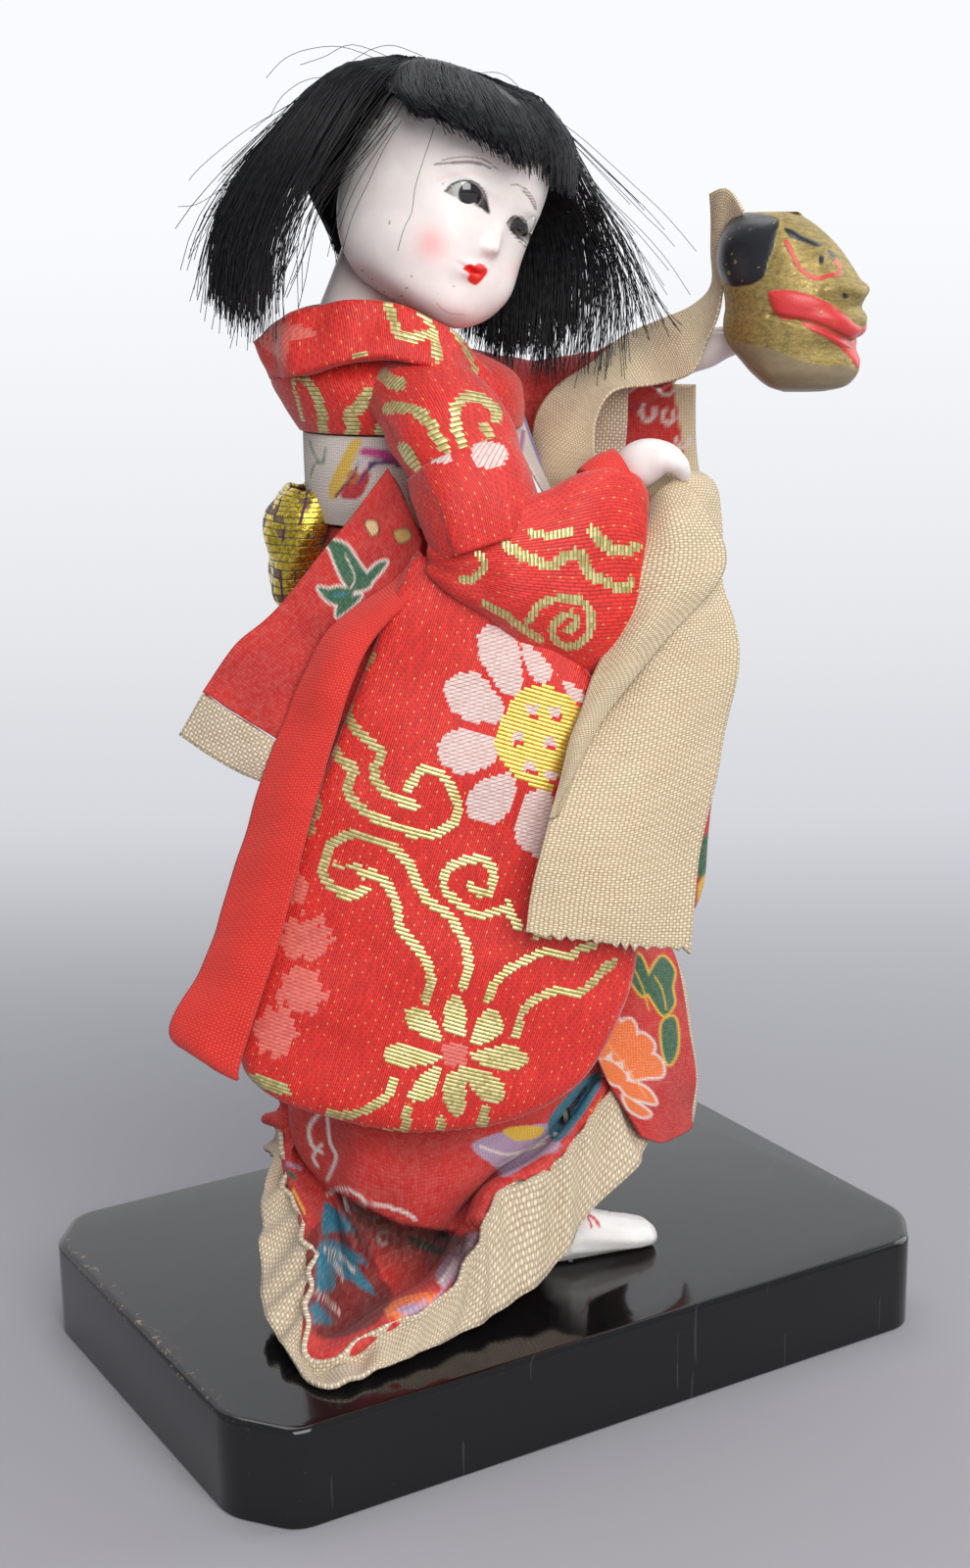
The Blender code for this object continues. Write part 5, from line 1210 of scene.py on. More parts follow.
def outwards(points, faces):
    a, b, c, d = [points[faces[:, k]] for k in range(4)]
    volume = (a * np.cross(b, c)).sum() + (a * np.cross(c, d)).sum()
    return faces if volume > 0 else faces[:, ::-1]


def makeBag(name, levels, tilt, cell, finish, weaveAt=None, printAt=None, wall=0.35):
    outer = bagSurface(levels, tilt, cell)
    inner = bagSurface(levels, tilt, (cell[0] * 2.5, cell[1] * 2.5), wall)
    outerFaces = outwards(world(outer[0]), outer[1])
    faces = np.concatenate([outerFaces, outwards(world(inner[0]), inner[1])[:, ::-1] + len(outer[0])])
    points, x, y = [np.concatenate([outer[k], inner[k]]) for k in (0, 2, 3)]
    piece = meshPiece(name, world(points), faces, finish)
    setThreads(piece.data, x, y)
    # the panel that is looked at comes first, and carries the figures that show
    if weaveAt:
        middle, near = world(points[faces].mean(1)), len(outerFaces) // 2
        colours = np.concatenate([weaveAt(middle[:near]), farWeave(middle[near:])])
        setColours(piece.data, "weave", colours, "CORNER")
    if printAt:
        spots, near = world(points), len(outer[0]) // 2
        setColours(piece.data, "print", np.concatenate([printAt(spots[:near]), farPrint(spots[near:])]), "POINT")
    return reworked(piece, lambda work: bmesh.ops.delete(
        work, geom=[v for v in work.verts if not v.link_faces], context="VERTS"))


def bagWeave(points):
    u, v = seen(points)
    drawn = Drawing(u, v, plainGround, 0.01)
    drawn.marks([line(gold, *stroke) for stroke in scrolls] + [fill(gold, 0, *shape) for shape in goldPetals])
    for (atX, atY), wide, tall in salmonFlowers:
        ragged = np.hypot((u - atX) / wide, (v - atY) / tall) + 0.16 * waves(u, v, 14.0, 8)
        drawn.lay(ragged < 0.95, salmon)
    drawn.fill([(452, 1065), (476, 1066), (476, 1088), (452, 1087)], salmon, False)
    drawn.marks([fill(white, 0, *shape) for shape in whitePetals])
    drawn.fill(flowerHeart, bright)
    for atX, atY in heartSpots:
        drawn.lay((np.abs(u - atX) < 6) & (np.abs(v - atY) < 4.5), white)
        drawn.lay((np.abs(u - atX - 2) < 5) & (np.abs(v - atY - 7) < 2.2), plainGround)
    return drawn.colour


# the red strip sewn down the sleeve's mouth

facingStrip = [
    [-7.6, -24.4, 126.6, -7.2, -25.2, 126.2, -6.8, -26, 125.5],
    [-11.2, -24.2, 122.6, -10.2, -26.2, 121.5, -9, -27.8, 120.4],
    [-21, -25, 114.7, -18.2, -28, 114.6, -14.9, -29.4, 114],
    [-28.2, -26.4, 99.9, -24.1, -29.6, 100.3, -20.1, -31.2, 100.3],
    [-34.5, -28, 81.8, -29.6, -31.4, 83.8, -24.6, -33, 85.1],
    [-38, -29, 71.2, -33.2, -32.4, 72, -28.4, -34.4, 72.3],
    [-43.8, -30.5, 60.4, -38.9, -34, 59.6, -33.4, -36, 58],
    [-40.3, -31.6, 56.7, -37.3, -34, 55.8, -34, -35.6, 54.4],
]

# right sleeve over the arm

sleeveUpper = [
    (-9, -9, 147, 7, 5.6), (-6, -13.5, 145.6, 8, 6.6), (-3.6, -17.6, 142.6, 8.4, 6.8),
    (-1.8, -20.5, 139, 8.2, 6.6), (-0.4, -21.8, 135.6, 8.2, 6.4),
]
sleeveBand = [
    (-1.6, -21.4, 138.4, 8.6, 6.8), (-0.2, -22.4, 135, 9.2, 7.2), (1.2, -23.2, 130.4, 9.2, 7.2),
    (2.2, -23.8, 127, 8.6, 6.6),
]
forearm = [
    (-6.2, -26.5, 126, 1.6, 2), (-3, -26.6, 125.2, 3.6, 4.4), (2, -26.2, 124.4, 4.8, 7.4),
    (8, -25.2, 123.6, 5.2, 10.4), (14, -23.6, 123, 5.2, 13.2), (18.6, -22, 123, 4.8, 14.2),
    (22, -20.8, 122.6, 3.6, 13.2), (23.6, -20.4, 122.2, 1.6, 11),
]
cuff = [
    (16.4, -19.8, 133.2, 3.4, 4), (18.6, -19, 134.4, 3.8, 4.4), (20.8, -18.4, 135.4, 3.8, 4.2),
]

# body, collar and waist

chest = [
    (-9.2, 0, 141.4, 16, 13.8), (-10.2, 0, 145, 17.2, 14.8), (-11.9, 0.5, 149, 17.2, 15),
    (-15.4, 1.6, 153.4, 11.4, 11.2), (-17.6, 3, 155.2, 8.2, 8.2),
]
waist = [
    (-8.6, 0, 128.2, 14.8, 12.6), (-8.8, 0, 132, 15.6, 13.2), (-9, 0, 137, 15.6, 13.4), (-9.2, 0, 141, 15.4, 13.4),
]
knot = [
    (-26.4, 1, 114.8, 1.8, 4.6), (-26.6, 1, 117, 3.2, 6.2), (-26, 1, 122, 4.6, 7.6), (-25.2, 1, 127, 5.4, 8.2),
    (-24.4, 1, 130.4, 5.2, 8), (-23.8, 1, 132.6, 3.6, 6),
]
collarRows = [
    [1.5, 6.5, 149.5, -4, 9.5, 154, -12, 11, 157.6, -21, 9.5, 158.2, -28, 4, 156, -30.4, -3, 154.2, -25, -9, 157.6,
     -19.9, -12, 159.1, -12.4, -13.8, 159.4, -5.7, -14.2, 157, -1.7, -11.5, 153.7, 2.3, -6, 147.9, 5.2, -1, 144.5],
    [0.5, 7.6, 146, -5, 12, 149.5, -12, 13.6, 152.4, -21, 12.4, 153, -27.2, 6, 150.6, -27.9, -4, 149, -24.6, -13,
     149.5, -18.9, -16, 151.2, -11.8, -17, 152, -5.7, -17, 150.3, -2.1, -14, 147.1, 1.2, -8.6, 143.4, 4, -3, 140.7],
]
underCollarRows = [
    [2.3, -3, 147.4, 4.3, -2, 142.3, 7.3, -4, 136.8, 10.1, -6, 131.8],
    [5.8, 2, 146.2, 7.5, 3, 141.6, 9.4, 1, 136.3, 11.6, -2, 132],
]

# back flap: the long under-sleeve with its beige end

flapRows = [
    [-11.9, -17.5, 137.1, -9.5, -19.4, 132.7, -7.2, -21, 127.4],
    [-18.3, -18.4, 128.9, -14, -20.8, 124, -9.7, -22.6, 119],
    [-28.1, -20, 117.7, -21.3, -22.6, 112.6, -14, -24.4, 107.8],
    [-33.7, -20.8, 112.9, -26.5, -23.6, 107.8, -18.6, -25.4, 102.9],
    [-38.2, -21.6, 106.7, -32.3, -24.2, 103.3, -26, -25.8, 99.7],
]
flapEnd = [
    [-38.3, -21.7, 106.5, -32.5, -24.3, 103.1, -26.2, -25.9, 99.4],
    [-40, -21.9, 103.5, -34.1, -24.5, 100.1, -28.3, -25.9, 96.7],
    [-41.7, -22, 100.7, -35.8, -24.6, 97.3, -30.3, -25.8, 94.8],
]

# left sleeve and the beige strip at its mouth

leftArm = [
    (-9, 10.5, 147.2, 5.6, 5.4), (-2, 15.8, 145.6, 6.2, 5.8), (8, 20.2, 143.6, 6, 5.6),
    (18, 18.8, 145, 5.8, 5.6), (24.5, 14.2, 147.6, 4.8, 4.8), (27.6, 11.4, 148.8, 3.8, 3.8),
]
leftFacing = [
    [17, 9.6, 147, 20, 8.6, 146.6, 23, 8.4, 146.2],
    [15.6, 11.4, 136, 19, 11, 136, 22.6, 11.2, 136],
    [13, 12.8, 122, 17, 12.6, 122, 20.6, 12.6, 122],
    [11, 13.4, 104, 15, 13, 104, 19, 12.8, 104],
    [10, 14.4, 84, 14, 13.6, 84, 18, 12.8, 84],
]


# printed crepe: what each cloth shows, in the photograph's pixels, and a strewn print elsewhere

# the crepe's own red, and a darker red that is painted shade
crepeRed, paintedShadeRed = srgb(214, 44, 40), srgb(132, 18, 20)
printWhite, printGreen, printTeal = srgb(240, 226, 218), srgb(40, 104, 74), srgb(24, 124, 150)
printNavy, printYellow = srgb(20, 30, 66), srgb(238, 196, 62)
printOrange, printLilac = srgb(250, 128, 64), srgb(186, 160, 190)


def farPrint(points):
    y = points[:, 2] / mm
    x = (points @ rightWay) / mm + 0.35 * (points @ awayWay) / mm
    drawn = Drawing(x, y, crepeRed, 0.5)
    for row in range(11):
        for place in range(-4, 5):
            atX, atY = middle = (place * 14.0 + (row % 2) * 7.0, 18.0 + row * 13.0)
            kind = (row * 2 + place) % 4
            if kind == 0:
                drawn.petals(middle, printWhite, 0.8, 4.8, 2.5, 8, 10.0)
                drawn.petals(middle, printOrange, 1.0, 4.2, 1.8, 8, 10.0)
                drawn.petals(middle, printYellow, 0.0, 1.3, 1.6, 5)
            elif kind == 1:
                for lean in (-1, 1):
                    tips = ((2.6, 1.8), (5.2, 1.0), (3.0, -0.9))
                    leaf = [middle] + [(atX + lean * out, atY + up) for out, up in tips]
                    drawn.fill(leaf, printGreen)
                    drawn.stroke([leaf[0], leaf[2]], 0.35, printYellow)
            elif kind == 2:
                for reach in (1.6, 3.0):
                    arc = [(atX + reach * math.cos(b), atY + reach * math.sin(b)) for b in np.linspace(0.4, 4.6, 14)]
                    drawn.stroke(arc, 0.55, printWhite)
            else:
                drawn.petals(middle, printTeal, 0.6, 4.4, 2.2, 5, 20.0)
                drawn.petals(middle, printLilac, 0.0, 1.8, 1.6, 5)
    return drawn.colour


# laid in turn: kind, shape, colour, width
skirtMarks = [
    # painted shade: a dark red patch where the train's cloth folds in deep
    fill(paintedShadeRed, 0, 300, 1290, 324, 1250, 348, 1248, 372, 1262, 388, 1300, 400, 1322, 380, 1352, 330, 1366, 312,
     1340), line(printWhite, 3.5, 334, 1140, 337, 1166, 343, 1181, 334, 1204),
    line(printWhite, 4, 326, 1136, 316, 1150, 318, 1168, 328, 1176),
    line(printWhite, 3.5, 328, 1168, 320, 1180, 324, 1190),
    line(printWhite, 3.5, 334, 1219, 349, 1213, 366, 1219, 375, 1229, 393, 1231, 413, 1237, 425, 1245),
    line(printLilac, 3, 357, 1231, 372, 1240, 390, 1245),
    line(printWhite, 3, 395, 1257, 386, 1261, 388, 1268, 396, 1269),
    fill(printGreen, 0, 416, 1260, 434, 1266, 457, 1278, 463, 1282, 439, 1278, 422, 1269),
    fill(printGreen, 0, 445, 1254, 463, 1263, 475, 1272, 457, 1266),
    fill(printTeal, 0, 331, 1228, 343, 1234, 363, 1257, 340, 1257, 329, 1260),
    fill(printTeal, 0, 325, 1269, 349, 1269, 378, 1292, 363, 1289, 384, 1322, 357, 1307, 340, 1298, 343, 1313, 324,
     1316), fill(printTeal, 0, 319, 1328, 331, 1336, 340, 1351, 318, 1348),
    line(printWhite, 2.5, 330, 1274, 348, 1282, 362, 1298), line(printWhite, 2, 334, 1282, 344, 1292, 350, 1304),
    line(printWhite, 2.5, 322, 1318, 334, 1326, 346, 1340),
    fill(printOrange, 0, 395, 1333, 416, 1322, 445, 1319, 457, 1331, 439, 1345, 422, 1350, 398, 1345),
    fill(printLilac, 0, 405, 1336, 422, 1329, 440, 1328, 436, 1338, 418, 1343),
    fill(printLilac, 0, 445, 1301, 457, 1281, 483, 1257, 492, 1263, 486, 1281, 469, 1301, 454, 1316),
    line(printWhite, 3, 450, 1308, 466, 1286, 486, 1266),
    fill(printLilac, 0, 483, 1166, 560, 1146, 571, 1169, 551, 1181, 536, 1190, 516, 1201, 504, 1190),
    line(printWhite, 3, 490, 1170, 520, 1178, 556, 1166), line(printWhite, 2.5, 510, 1190, 530, 1178, 562, 1158),
    fill(printYellow, 0, 513, 1154, 530, 1149, 554, 1150, 550, 1160, 528, 1164),
    fill(printTeal, 0, 563, 1137, 604, 1096, 613, 1108, 580, 1157, 563, 1163),
    line(printNavy, 5, 572, 1146, 598, 1110), line(printYellow, 6, 607, 1134, 624, 1119),
    line(printLilac, 4, 293, 1187, 307, 1193), line(printGreen, 5, 294, 1196, 300, 1201),
    line(printYellow, 3, 299, 1214, 310, 1236),
]
leafBlades = [
    [332.7, 550.5, 343, 552, 354, 557, 366, 574, 379, 596, 360, 603, 350, 592, 343, 577, 338, 564],
    [324.5, 600, 336, 601, 347, 599, 361, 604, 351, 617, 336, 614],
    [343.5, 629.5, 345, 618, 356, 610, 369, 607, 360, 618, 350, 626],
    [372, 590, 384, 576, 395, 573, 388, 584, 376, 596],
]
flapMarks = [fill(*look, *blade) for look in ((printWhite, 2.4), (printGreen, 0)) for blade in leafBlades] + [
    line(printWhite, 1.2, 352, 566, 362, 588, 358, 600), line(printTeal, 3, 340, 608, 354, 606),
    fill(srgb(90, 20, 20), 1.5, 373, 533, 383, 532, 386, 542, 379, 546),
    fill(srgb(240, 206, 150), 0, 373, 533, 383, 532, 386, 542, 379, 546),
    fill(srgb(90, 20, 20), 1.5, 402, 543, 415, 540, 419, 549, 408, 554),
    fill(srgb(206, 170, 96), 0, 402, 543, 415, 540, 419, 549, 408, 554),
]
waistMarks = [
    line(srgb(96, 140, 96), 1.8, 316, 449, 320, 462, 329, 474, 332, 458),
    line(srgb(96, 140, 96), 1.6, 317, 486, 321, 474, 330, 470),
    fill(srgb(240, 200, 84), 0, 335, 500, 342, 481, 359, 450, 368, 452, 354, 486, 340, 510),
    line(srgb(120, 40, 34), 3.5, 343, 506, 358, 488, 368, 470, 373, 456),
    fill(srgb(206, 50, 62), 0, 347, 506, 360, 488, 370, 476, 378, 486, 366, 508),
    line(srgb(206, 130, 60), 2.5, 354, 486, 360, 480, 366, 486, 360, 492, 354, 486),
    fill(srgb(226, 220, 222), 0, 368, 456, 380, 456, 376, 472, 366, 484),
    line(srgb(206, 60, 140), 9, 372, 461, 390, 463, 408, 468),
    line(srgb(120, 62, 120), 5, 378, 474, 396, 471, 410, 476),
    line(srgb(60, 60, 120), 3, 366, 492, 376, 480, 384, 470),
]
leftMarks = [
    fill(srgb(226, 208, 172), 0, 688, 376, 722, 376, 722, 440, 724, 500, 708, 500, 700, 470, 693, 430),
    line(printWhite, 4, 657, 413, 654, 421, 659, 429, 667, 426, 668, 417),
    line(printWhite, 3.6, 679, 418, 676, 425, 681, 432, 688, 428, 687, 420),
    line(printWhite, 3.6, 671, 392, 674, 400, 682, 403, 689, 397),
    line(printWhite, 3, 643, 399, 650, 394, 657, 390),
    line(printWhite, 3.6, 690, 448, 694, 456, 702, 454, 704, 446),
    line(printWhite, 4, 722, 590, 730, 600, 738, 596), fill(printLilac, 0, 724, 566, 734, 560, 740, 572, 730, 580),
    fill(printGreen, 1, 712, 880, 722, 850, 726, 880, 718, 900),
    fill(printYellow, 0, 712, 905, 724, 890, 724, 925, 714, 930),
]
panelLeaves = [
    [640, 976, 652, 974, 660, 990, 664, 1008, 656, 1016, 646, 1004, 638, 990],
    [664, 992, 676, 976, 688, 990, 686, 1008, 688, 1024, 678, 1036, 668, 1024, 660, 1008],
    [676, 1044, 688, 1038, 692, 1056, 690, 1076, 682, 1086, 676, 1068],
]
panelPetals = [
    [608, 1060, 618, 1044, 632, 1040, 634, 1058, 622, 1076, 612, 1080],
    [632, 1046, 644, 1040, 650, 1054, 644, 1076, 632, 1084, 624, 1078],
    [650, 1056, 662, 1058, 668, 1070, 656, 1086, 640, 1094, 636, 1086],
    [664, 1076, 676, 1084, 676, 1098, 660, 1100, 646, 1102, 644, 1094],
    [612, 1082, 626, 1084, 640, 1098, 634, 1108, 620, 1102],
    [632, 1104, 646, 1104, 662, 1112, 670, 1126, 656, 1124, 640, 1118],
    [636, 1118, 648, 1124, 664, 1136, 656, 1140, 642, 1132],
]
panelMarks = [
    fill(srgb(216, 214, 216), 0, 630, 962, 644, 964, 640, 990, 634, 1016, 627, 1010),
    *[fill(printYellow, 2.2, *leaf) for leaf in panelLeaves],
    *[fill(printGreen, 0, *leaf) for leaf in panelLeaves],
    line(printYellow, 1.4, 646, 986, 656, 1008, 662, 1030), line(printYellow, 1.4, 668, 996, 676, 1010, 680, 1030),
    *[fill(printWhite, 2.0, *petal) for petal in panelPetals],
    *[fill(printOrange, -0.4, *petal) for petal in panelPetals],
    line(srgb(255, 170, 110), 1.6, 618, 1062, 640, 1090, 660, 1120),
]


def markedPrint(marks, ground=crepeRed, soft=1.6, wholly=False):
    def printAt(points):
        u, v = seen(points)
        drawn = Drawing(u, v, ground, soft)
        drawn.lay(np.clip(waves(u, v, 60.0, 2) * 0.3 + 0.25, 0, 0.6), tuple(0.7 * c for c in ground))
        drawn.marks(marks)
        if not wholly:
            far = ~facing(points)
            drawn.colour[far] = farPrint(points[far])
        return drawn.colour
    return printAt


# cloth pieces

def cut(grid, closed=False):
    # the flat piece of cloth that a grid was, in metres: widest, longest, and its area
    acrossSteps = np.diff(np.concatenate([grid, grid[:, :1]], 1) if closed else grid, axis=1)
    downSteps = np.diff(grid, axis=0)
    wide = np.linalg.norm(acrossSteps, axis=2).sum(1).max()
    long = np.linalg.norm(downSteps, axis=2).sum(0).max()
    first, second = acrossSteps[:-1, :downSteps.shape[1]], downSteps[:, :acrossSteps.shape[1]]
    area = np.linalg.norm(np.cross(first, second), axis=2).sum()
    return (wide * mm, long * mm), area * mm * mm


def cloth(name, rows, cell, half, finish, closed=False, shape=None, **looks):
    # cloth through rows of points; shape takes the grid and its flat places and gives back the grid
    grid, size = clothGrid(rows, cell, closed)
    if shape:
        grid = shape(grid, *places(grid, size))
    half = half(grid, *places(grid, size)) if callable(half) else half
    piece = shell(name, grid, size, half, finish, closed, **looks)
    return piece, cut(grid, closed)


def wound(name, grid, long, half, finish, **looks):
    # cloth round an arm or the body: rings of points, open at both ends
    around = np.linalg.norm(np.diff(np.concatenate([grid, grid[:, :1]], 1), axis=1), axis=2).sum(1).mean()
    return shell(name, grid, (around, long), half, finish, True, **looks), cut(grid, True)


def creased(size, amount, seed):
    return lambda grid, x, y: pushed(grid, waves(x, y, size, seed) * amount)


skirt = {"turns": 220, "folds": 7, "depths": (0.0, 0.7, 1.6, 2.1, 2.3, 2.3), "from": 0.06, "to": 0.48,
         "roll": 1.6, "hollow": 2.0}


def foldedRing(ring, depth):
    # upright folds on the side that the sleeves leave open
    fine = smoothRun(np.reshape(ring, (-1, 3)), skirt["turns"], True)
    place = (np.arange(skirt["turns"]) / skirt["turns"] - skirt["from"]) / (skirt["to"] - skirt["from"])
    fade = np.sqrt(np.sin(np.pi * np.clip(place, 0, 1)))
    way = (fine - fine.mean(0))[:, :2]
    way /= np.linalg.norm(way, axis=1, keepdims=True)
    push = np.where((place > 0) & (place < 1), depth * fade * np.sin(math.tau * skirt["folds"] * place), 0.0)
    fine[:, :2] += way * push[:, None]
    return fine


def skirtFold(u, v):
    # how deep the cloth lies, from 0 to 1, below the slanting fold behind the roll; it also sets how much painted
    # shade lies there
    edge = np.interp(u, (330, 342, 407, 470, 505), (1212, 1214, 1247, 1258, 1238))
    left = np.interp(v, (1215, 1315, 1350), (338, 382, 378))
    inside = np.clip((u - left) / 5, 0, 1) * np.clip((505 - u) / 30, 0, 1)
    return inside * np.clip((v - edge) / 4, 0, 1) * np.clip((66 - v + edge) / 45, 0, 1)


def skirtPrintWithPaintedShade(points):
    # the print, with painted shade darkening it down in the hollow behind the roll
    deep = 0.86 * skirtFold(*seen(points)) * (points @ awayWay < 0.0)
    return markedPrint(skirtMarks, soft=1.0)(points) * (1 - deep[:, None] * np.array([1.0, 1.06, 1.06]))


def skirtHalf(grid, x, y):
    # thin cloth that ends in a padded roll
    up = (y.max() - y) / (2 * skirt["roll"])
    return 0.35 + (skirt["roll"] - 0.35) * np.sqrt(np.clip(1 - (up * 2 - 1)**2, 0, 1)) * (up < 1)


def skirtShape(grid, x, y):
    # soft unevenness, and a hollow all along the roll
    grid = pushed(grid, waves(x, y, 16.0, 21) * 0.25, True)
    up = y.max() - y
    inward = grid[..., :2].mean(1, keepdims=True) - grid[..., :2]
    inward /= np.maximum(np.linalg.norm(inward, axis=-1, keepdims=True), 1e-6)
    deep = skirt["hollow"] * np.exp(-((up - 6.5) / 3.2)**2) * (1 + 0.5 * waves(x, y * 0, 22.0, 24, 6))
    grid = grid.copy()
    grid[..., :2] += inward * deep[..., None]
    edge = np.clip(1 - up / 5.0, 0, 1)
    grid[..., 2] += waves(x, y * 0, 9.0, 25, 7) * 0.35 * edge
    u, v = seen(world(grid.reshape(-1, 3)))
    fold = skirtFold(u.reshape(x.shape), v.reshape(x.shape)) * (grid[..., 1] < -8)
    grid[..., 1] += 4.2 * fold
    grid[..., 2] -= 0.8 * fold
    return grid


def liningShape(grid, x, y):
    # soft pleats that run down from the roll
    return pushed(grid, waves(x, y * 0.25, 5.0, 22, 12) * 0.55 + waves(x, y, 12.0, 26) * 0.2, True)


skirtRings = [
    [5, 0, 127.6, 4.1, 4.5, 127.6, 1.5, 8.4, 127.6, -2.2, 11.1, 127.6, -6.6, 12.2, 127.6, -11.2, 12.1, 127.6, -15.6,
     10.6, 127.6, -19.2, 7.6, 127.6, -21.5, 3.8, 127.6, -22.2, 0, 127.6, -21.6, -3.6, 127.6, -20.1, -6.6, 127.6,
     -17.8, -9, 127.6, -15, -10.8, 127.6, -11.6, -12, 127.6, -8, -12.3, 127.6, -4.6, -11.8, 127.6, -1.4, -10.4,
     127.6, 1.8, -8, 127.6, 4.2, -4.4, 127.6],
    [12, 0, 92, 10.6, 7.5, 92, 6.4, 13, 92, 1, 16.6, 92, -5.4, 18, 92, -12, 17.4, 92, -18, 14.4, 92, -22.2, 10, 92,
     -24.2, 5, 92, -24.8, 0, 92, -24, -5, 92, -22, -9.6, 92, -18.8, -13.4, 92, -15, -16, 92, -10.6, -17.6, 92, -6,
     -18, 92, -1.4, -17.2, 92, 3.2, -15, 92, 7.6, -11, 92, 10.8, -5.8, 92],
    [17, 0, 58, 15.4, 9.6, 56, 10.4, 17, 54, 3, 21.4, 53, -5, 22.6, 52, -13, 21.6, 52, -20, 18, 52, -25, 12, 53,
     -27.6, 5.6, 54, -28.4, -1, 55, -27.2, -8, 54, -24.6, -13.4, 52, -20.6, -17.4, 50, -15.4, -19.8, 50, -9.8,
     -20.6, 50, -4, -20.2, 51, 1.6, -18.6, 53, 7, -15.6, 55, 12, -11.2, 57, 15.6, -5.8, 58],
    [19.5, -0.5, 46, 18.6, 10, 40, 13.8, 19, 36, 5.6, 24.2, 34, -4, 25.6, 33, -13.4, 24.6, 33, -21.6, 20.2, 34,
     -27.4, 13.2, 37, -29.8, 5.2, 40, -30.2, -3.4, 41, -28.3, -13, 37.7, -22.9, -19, 37.4, -18.2, -25, 37.1, -12.6,
     -27, 35.8, -6.5, -26, 35.9, -0.5, -23, 36.3, 3.9, -19.5, 37.9, 9.3, -15.5, 40.2, 13.9, -11, 43.6, 16.8, -7,
     45.2],
    [20.5, -0.5, 41, 19.8, 10, 34, 15.2, 19, 29, 7, 24.6, 26, -3, 26.4, 25, -13.2, 25.6, 25, -22.2, 21.2, 26, -28.4,
     13.6, 30, -31, 4.6, 35, -31, -5, 36.4, -27.3, -13.5, 30.6, -22.8, -20.5, 25.8, -20.8, -28, 17.4, -14.5, -26.4,
     19, -8.8, -25, 20.8, -4.1, -22.4, 25.5, -0.2, -18.8, 29.7, 7.8, -15, 33.3, 13.9, -10.8, 38.2, 17.3, -7.6,
     41.9],
    [21, -0.5, 38, 20.4, 10, 31, 16, 19.2, 25.5, 7.6, 25, 22, -2.6, 27, 20.5, -13.2, 26.2, 20.5, -22.6, 21.8, 22,
     -29.2, 14, 26, -31.8, 4.2, 32, -31.2, -8, 35, -29.5, -16, 30.1, -25, -31, 25.2, -24.2, -46, 16.8, -13.6, -43,
     20.2, -5.4, -37, 22.1, -1, -31, 27.2, 1.6, -25, 31.6, 9.7, -20, 33.5, 15.5, -14, 38.4, 19.3, -9, 41.5],
]
skirtLiningRings = [
    [20.2, -0.5, 36.4, 19.6, 9.8, 29.4, 15.2, 18.6, 24, 7.2, 24.2, 20.6, -2.6, 26, 19, -13, 25.2, 19, -22, 21, 20.6,
     -28.6, 13.6, 24.4, -31.2, 4.2, 30.4, -31.1, -8, 33.1, -29.5, -16, 28.2, -25.9, -31, 23.4, -24.2, -46.5, 15,
     -13.6, -43.4, 18.6, -5.1, -37.4, 20.5, -0.3, -31.4, 25.7, 2.6, -25.6, 30.3, 10.6, -20.4, 32.2, 16.7, -14.4,
     36.8, 20.2, -9.4, 40.1],
    [23.6, -3, 31.5, 22.5, 8.5, 25.4, 18, 18, 20, 9, 24.6, 17.4, -2.2, 27, 16.4, -13.4, 26.4, 16.4, -23.2, 22.4,
     17.2, -30.2, 15.4, 20, -33, 4.6, 25, -32.6, -9, 32, -33.3, -17, 26.5, -31.6, -35, 18.8, -22.5, -51.6, 16.2,
     -14.4, -47.6, 16.3, -7, -41.4, 16.5, -1, -36.6, 17, 4.6, -31, 18.2, 10.4, -25.6, 20.6, 16.4, -19.6, 27, 23.8,
     -13.2, 31.4],
]
frontPanelRows = [
    [6.5, -6.5, 126.8, 7.6, -1, 126.8, 7, 4.6, 126.8],
    [13.2, -9.5, 98, 15.8, -2.5, 98, 15.6, 5, 98],
    [18.4, -10.5, 72, 23, -4, 72, 24.4, 3.6, 72],
    [19.3, -9, 61.5, 24.5, -6, 60.4, 30.3, 2, 57.6],
    [17, -11, 50.5, 24.3, -8, 49.3, 32.3, 2, 47.1],
    [18.6, -12, 44.9, 25.3, -9, 41.7, 33.4, 2, 38],
    [24.2, -11, 34.6, 27.9, -7, 31.9, 32.7, 2, 30.6],
]
panelLiningRows = [
    [16.4, 4.9, 88, 15.7, 6.6, 88, 15, 8.4, 88],
    [24.8, 4, 68, 24, 5.9, 68, 23.2, 7.8, 68],
    [30.4, 2.6, 57.4, 30.7, 4.5, 56.7, 31, 6.5, 56.1],
    [32.3, 2.6, 46.8, 32.6, 4.5, 46.1, 33.1, 6.5, 45.4],
    [33.5, 2.6, 37.8, 33.8, 4.5, 37, 34.2, 6.5, 36.2],
    [32.8, 2.6, 30.7, 33.1, 4.3, 30.1, 33.4, 6, 29.6],
]


def ribbonFold(grid, x, y):
    # a little creased, its cut end frayed
    grid = pushed(grid, waves(x, y, 12.0, 51) * 0.25)
    frayed = np.clip((y - y.max() + 1.2) / 1.2, 0, 1)
    grid[..., 2] += frayed * waves(x, y * 0, 0.9, 52, 14) * 0.6
    return grid


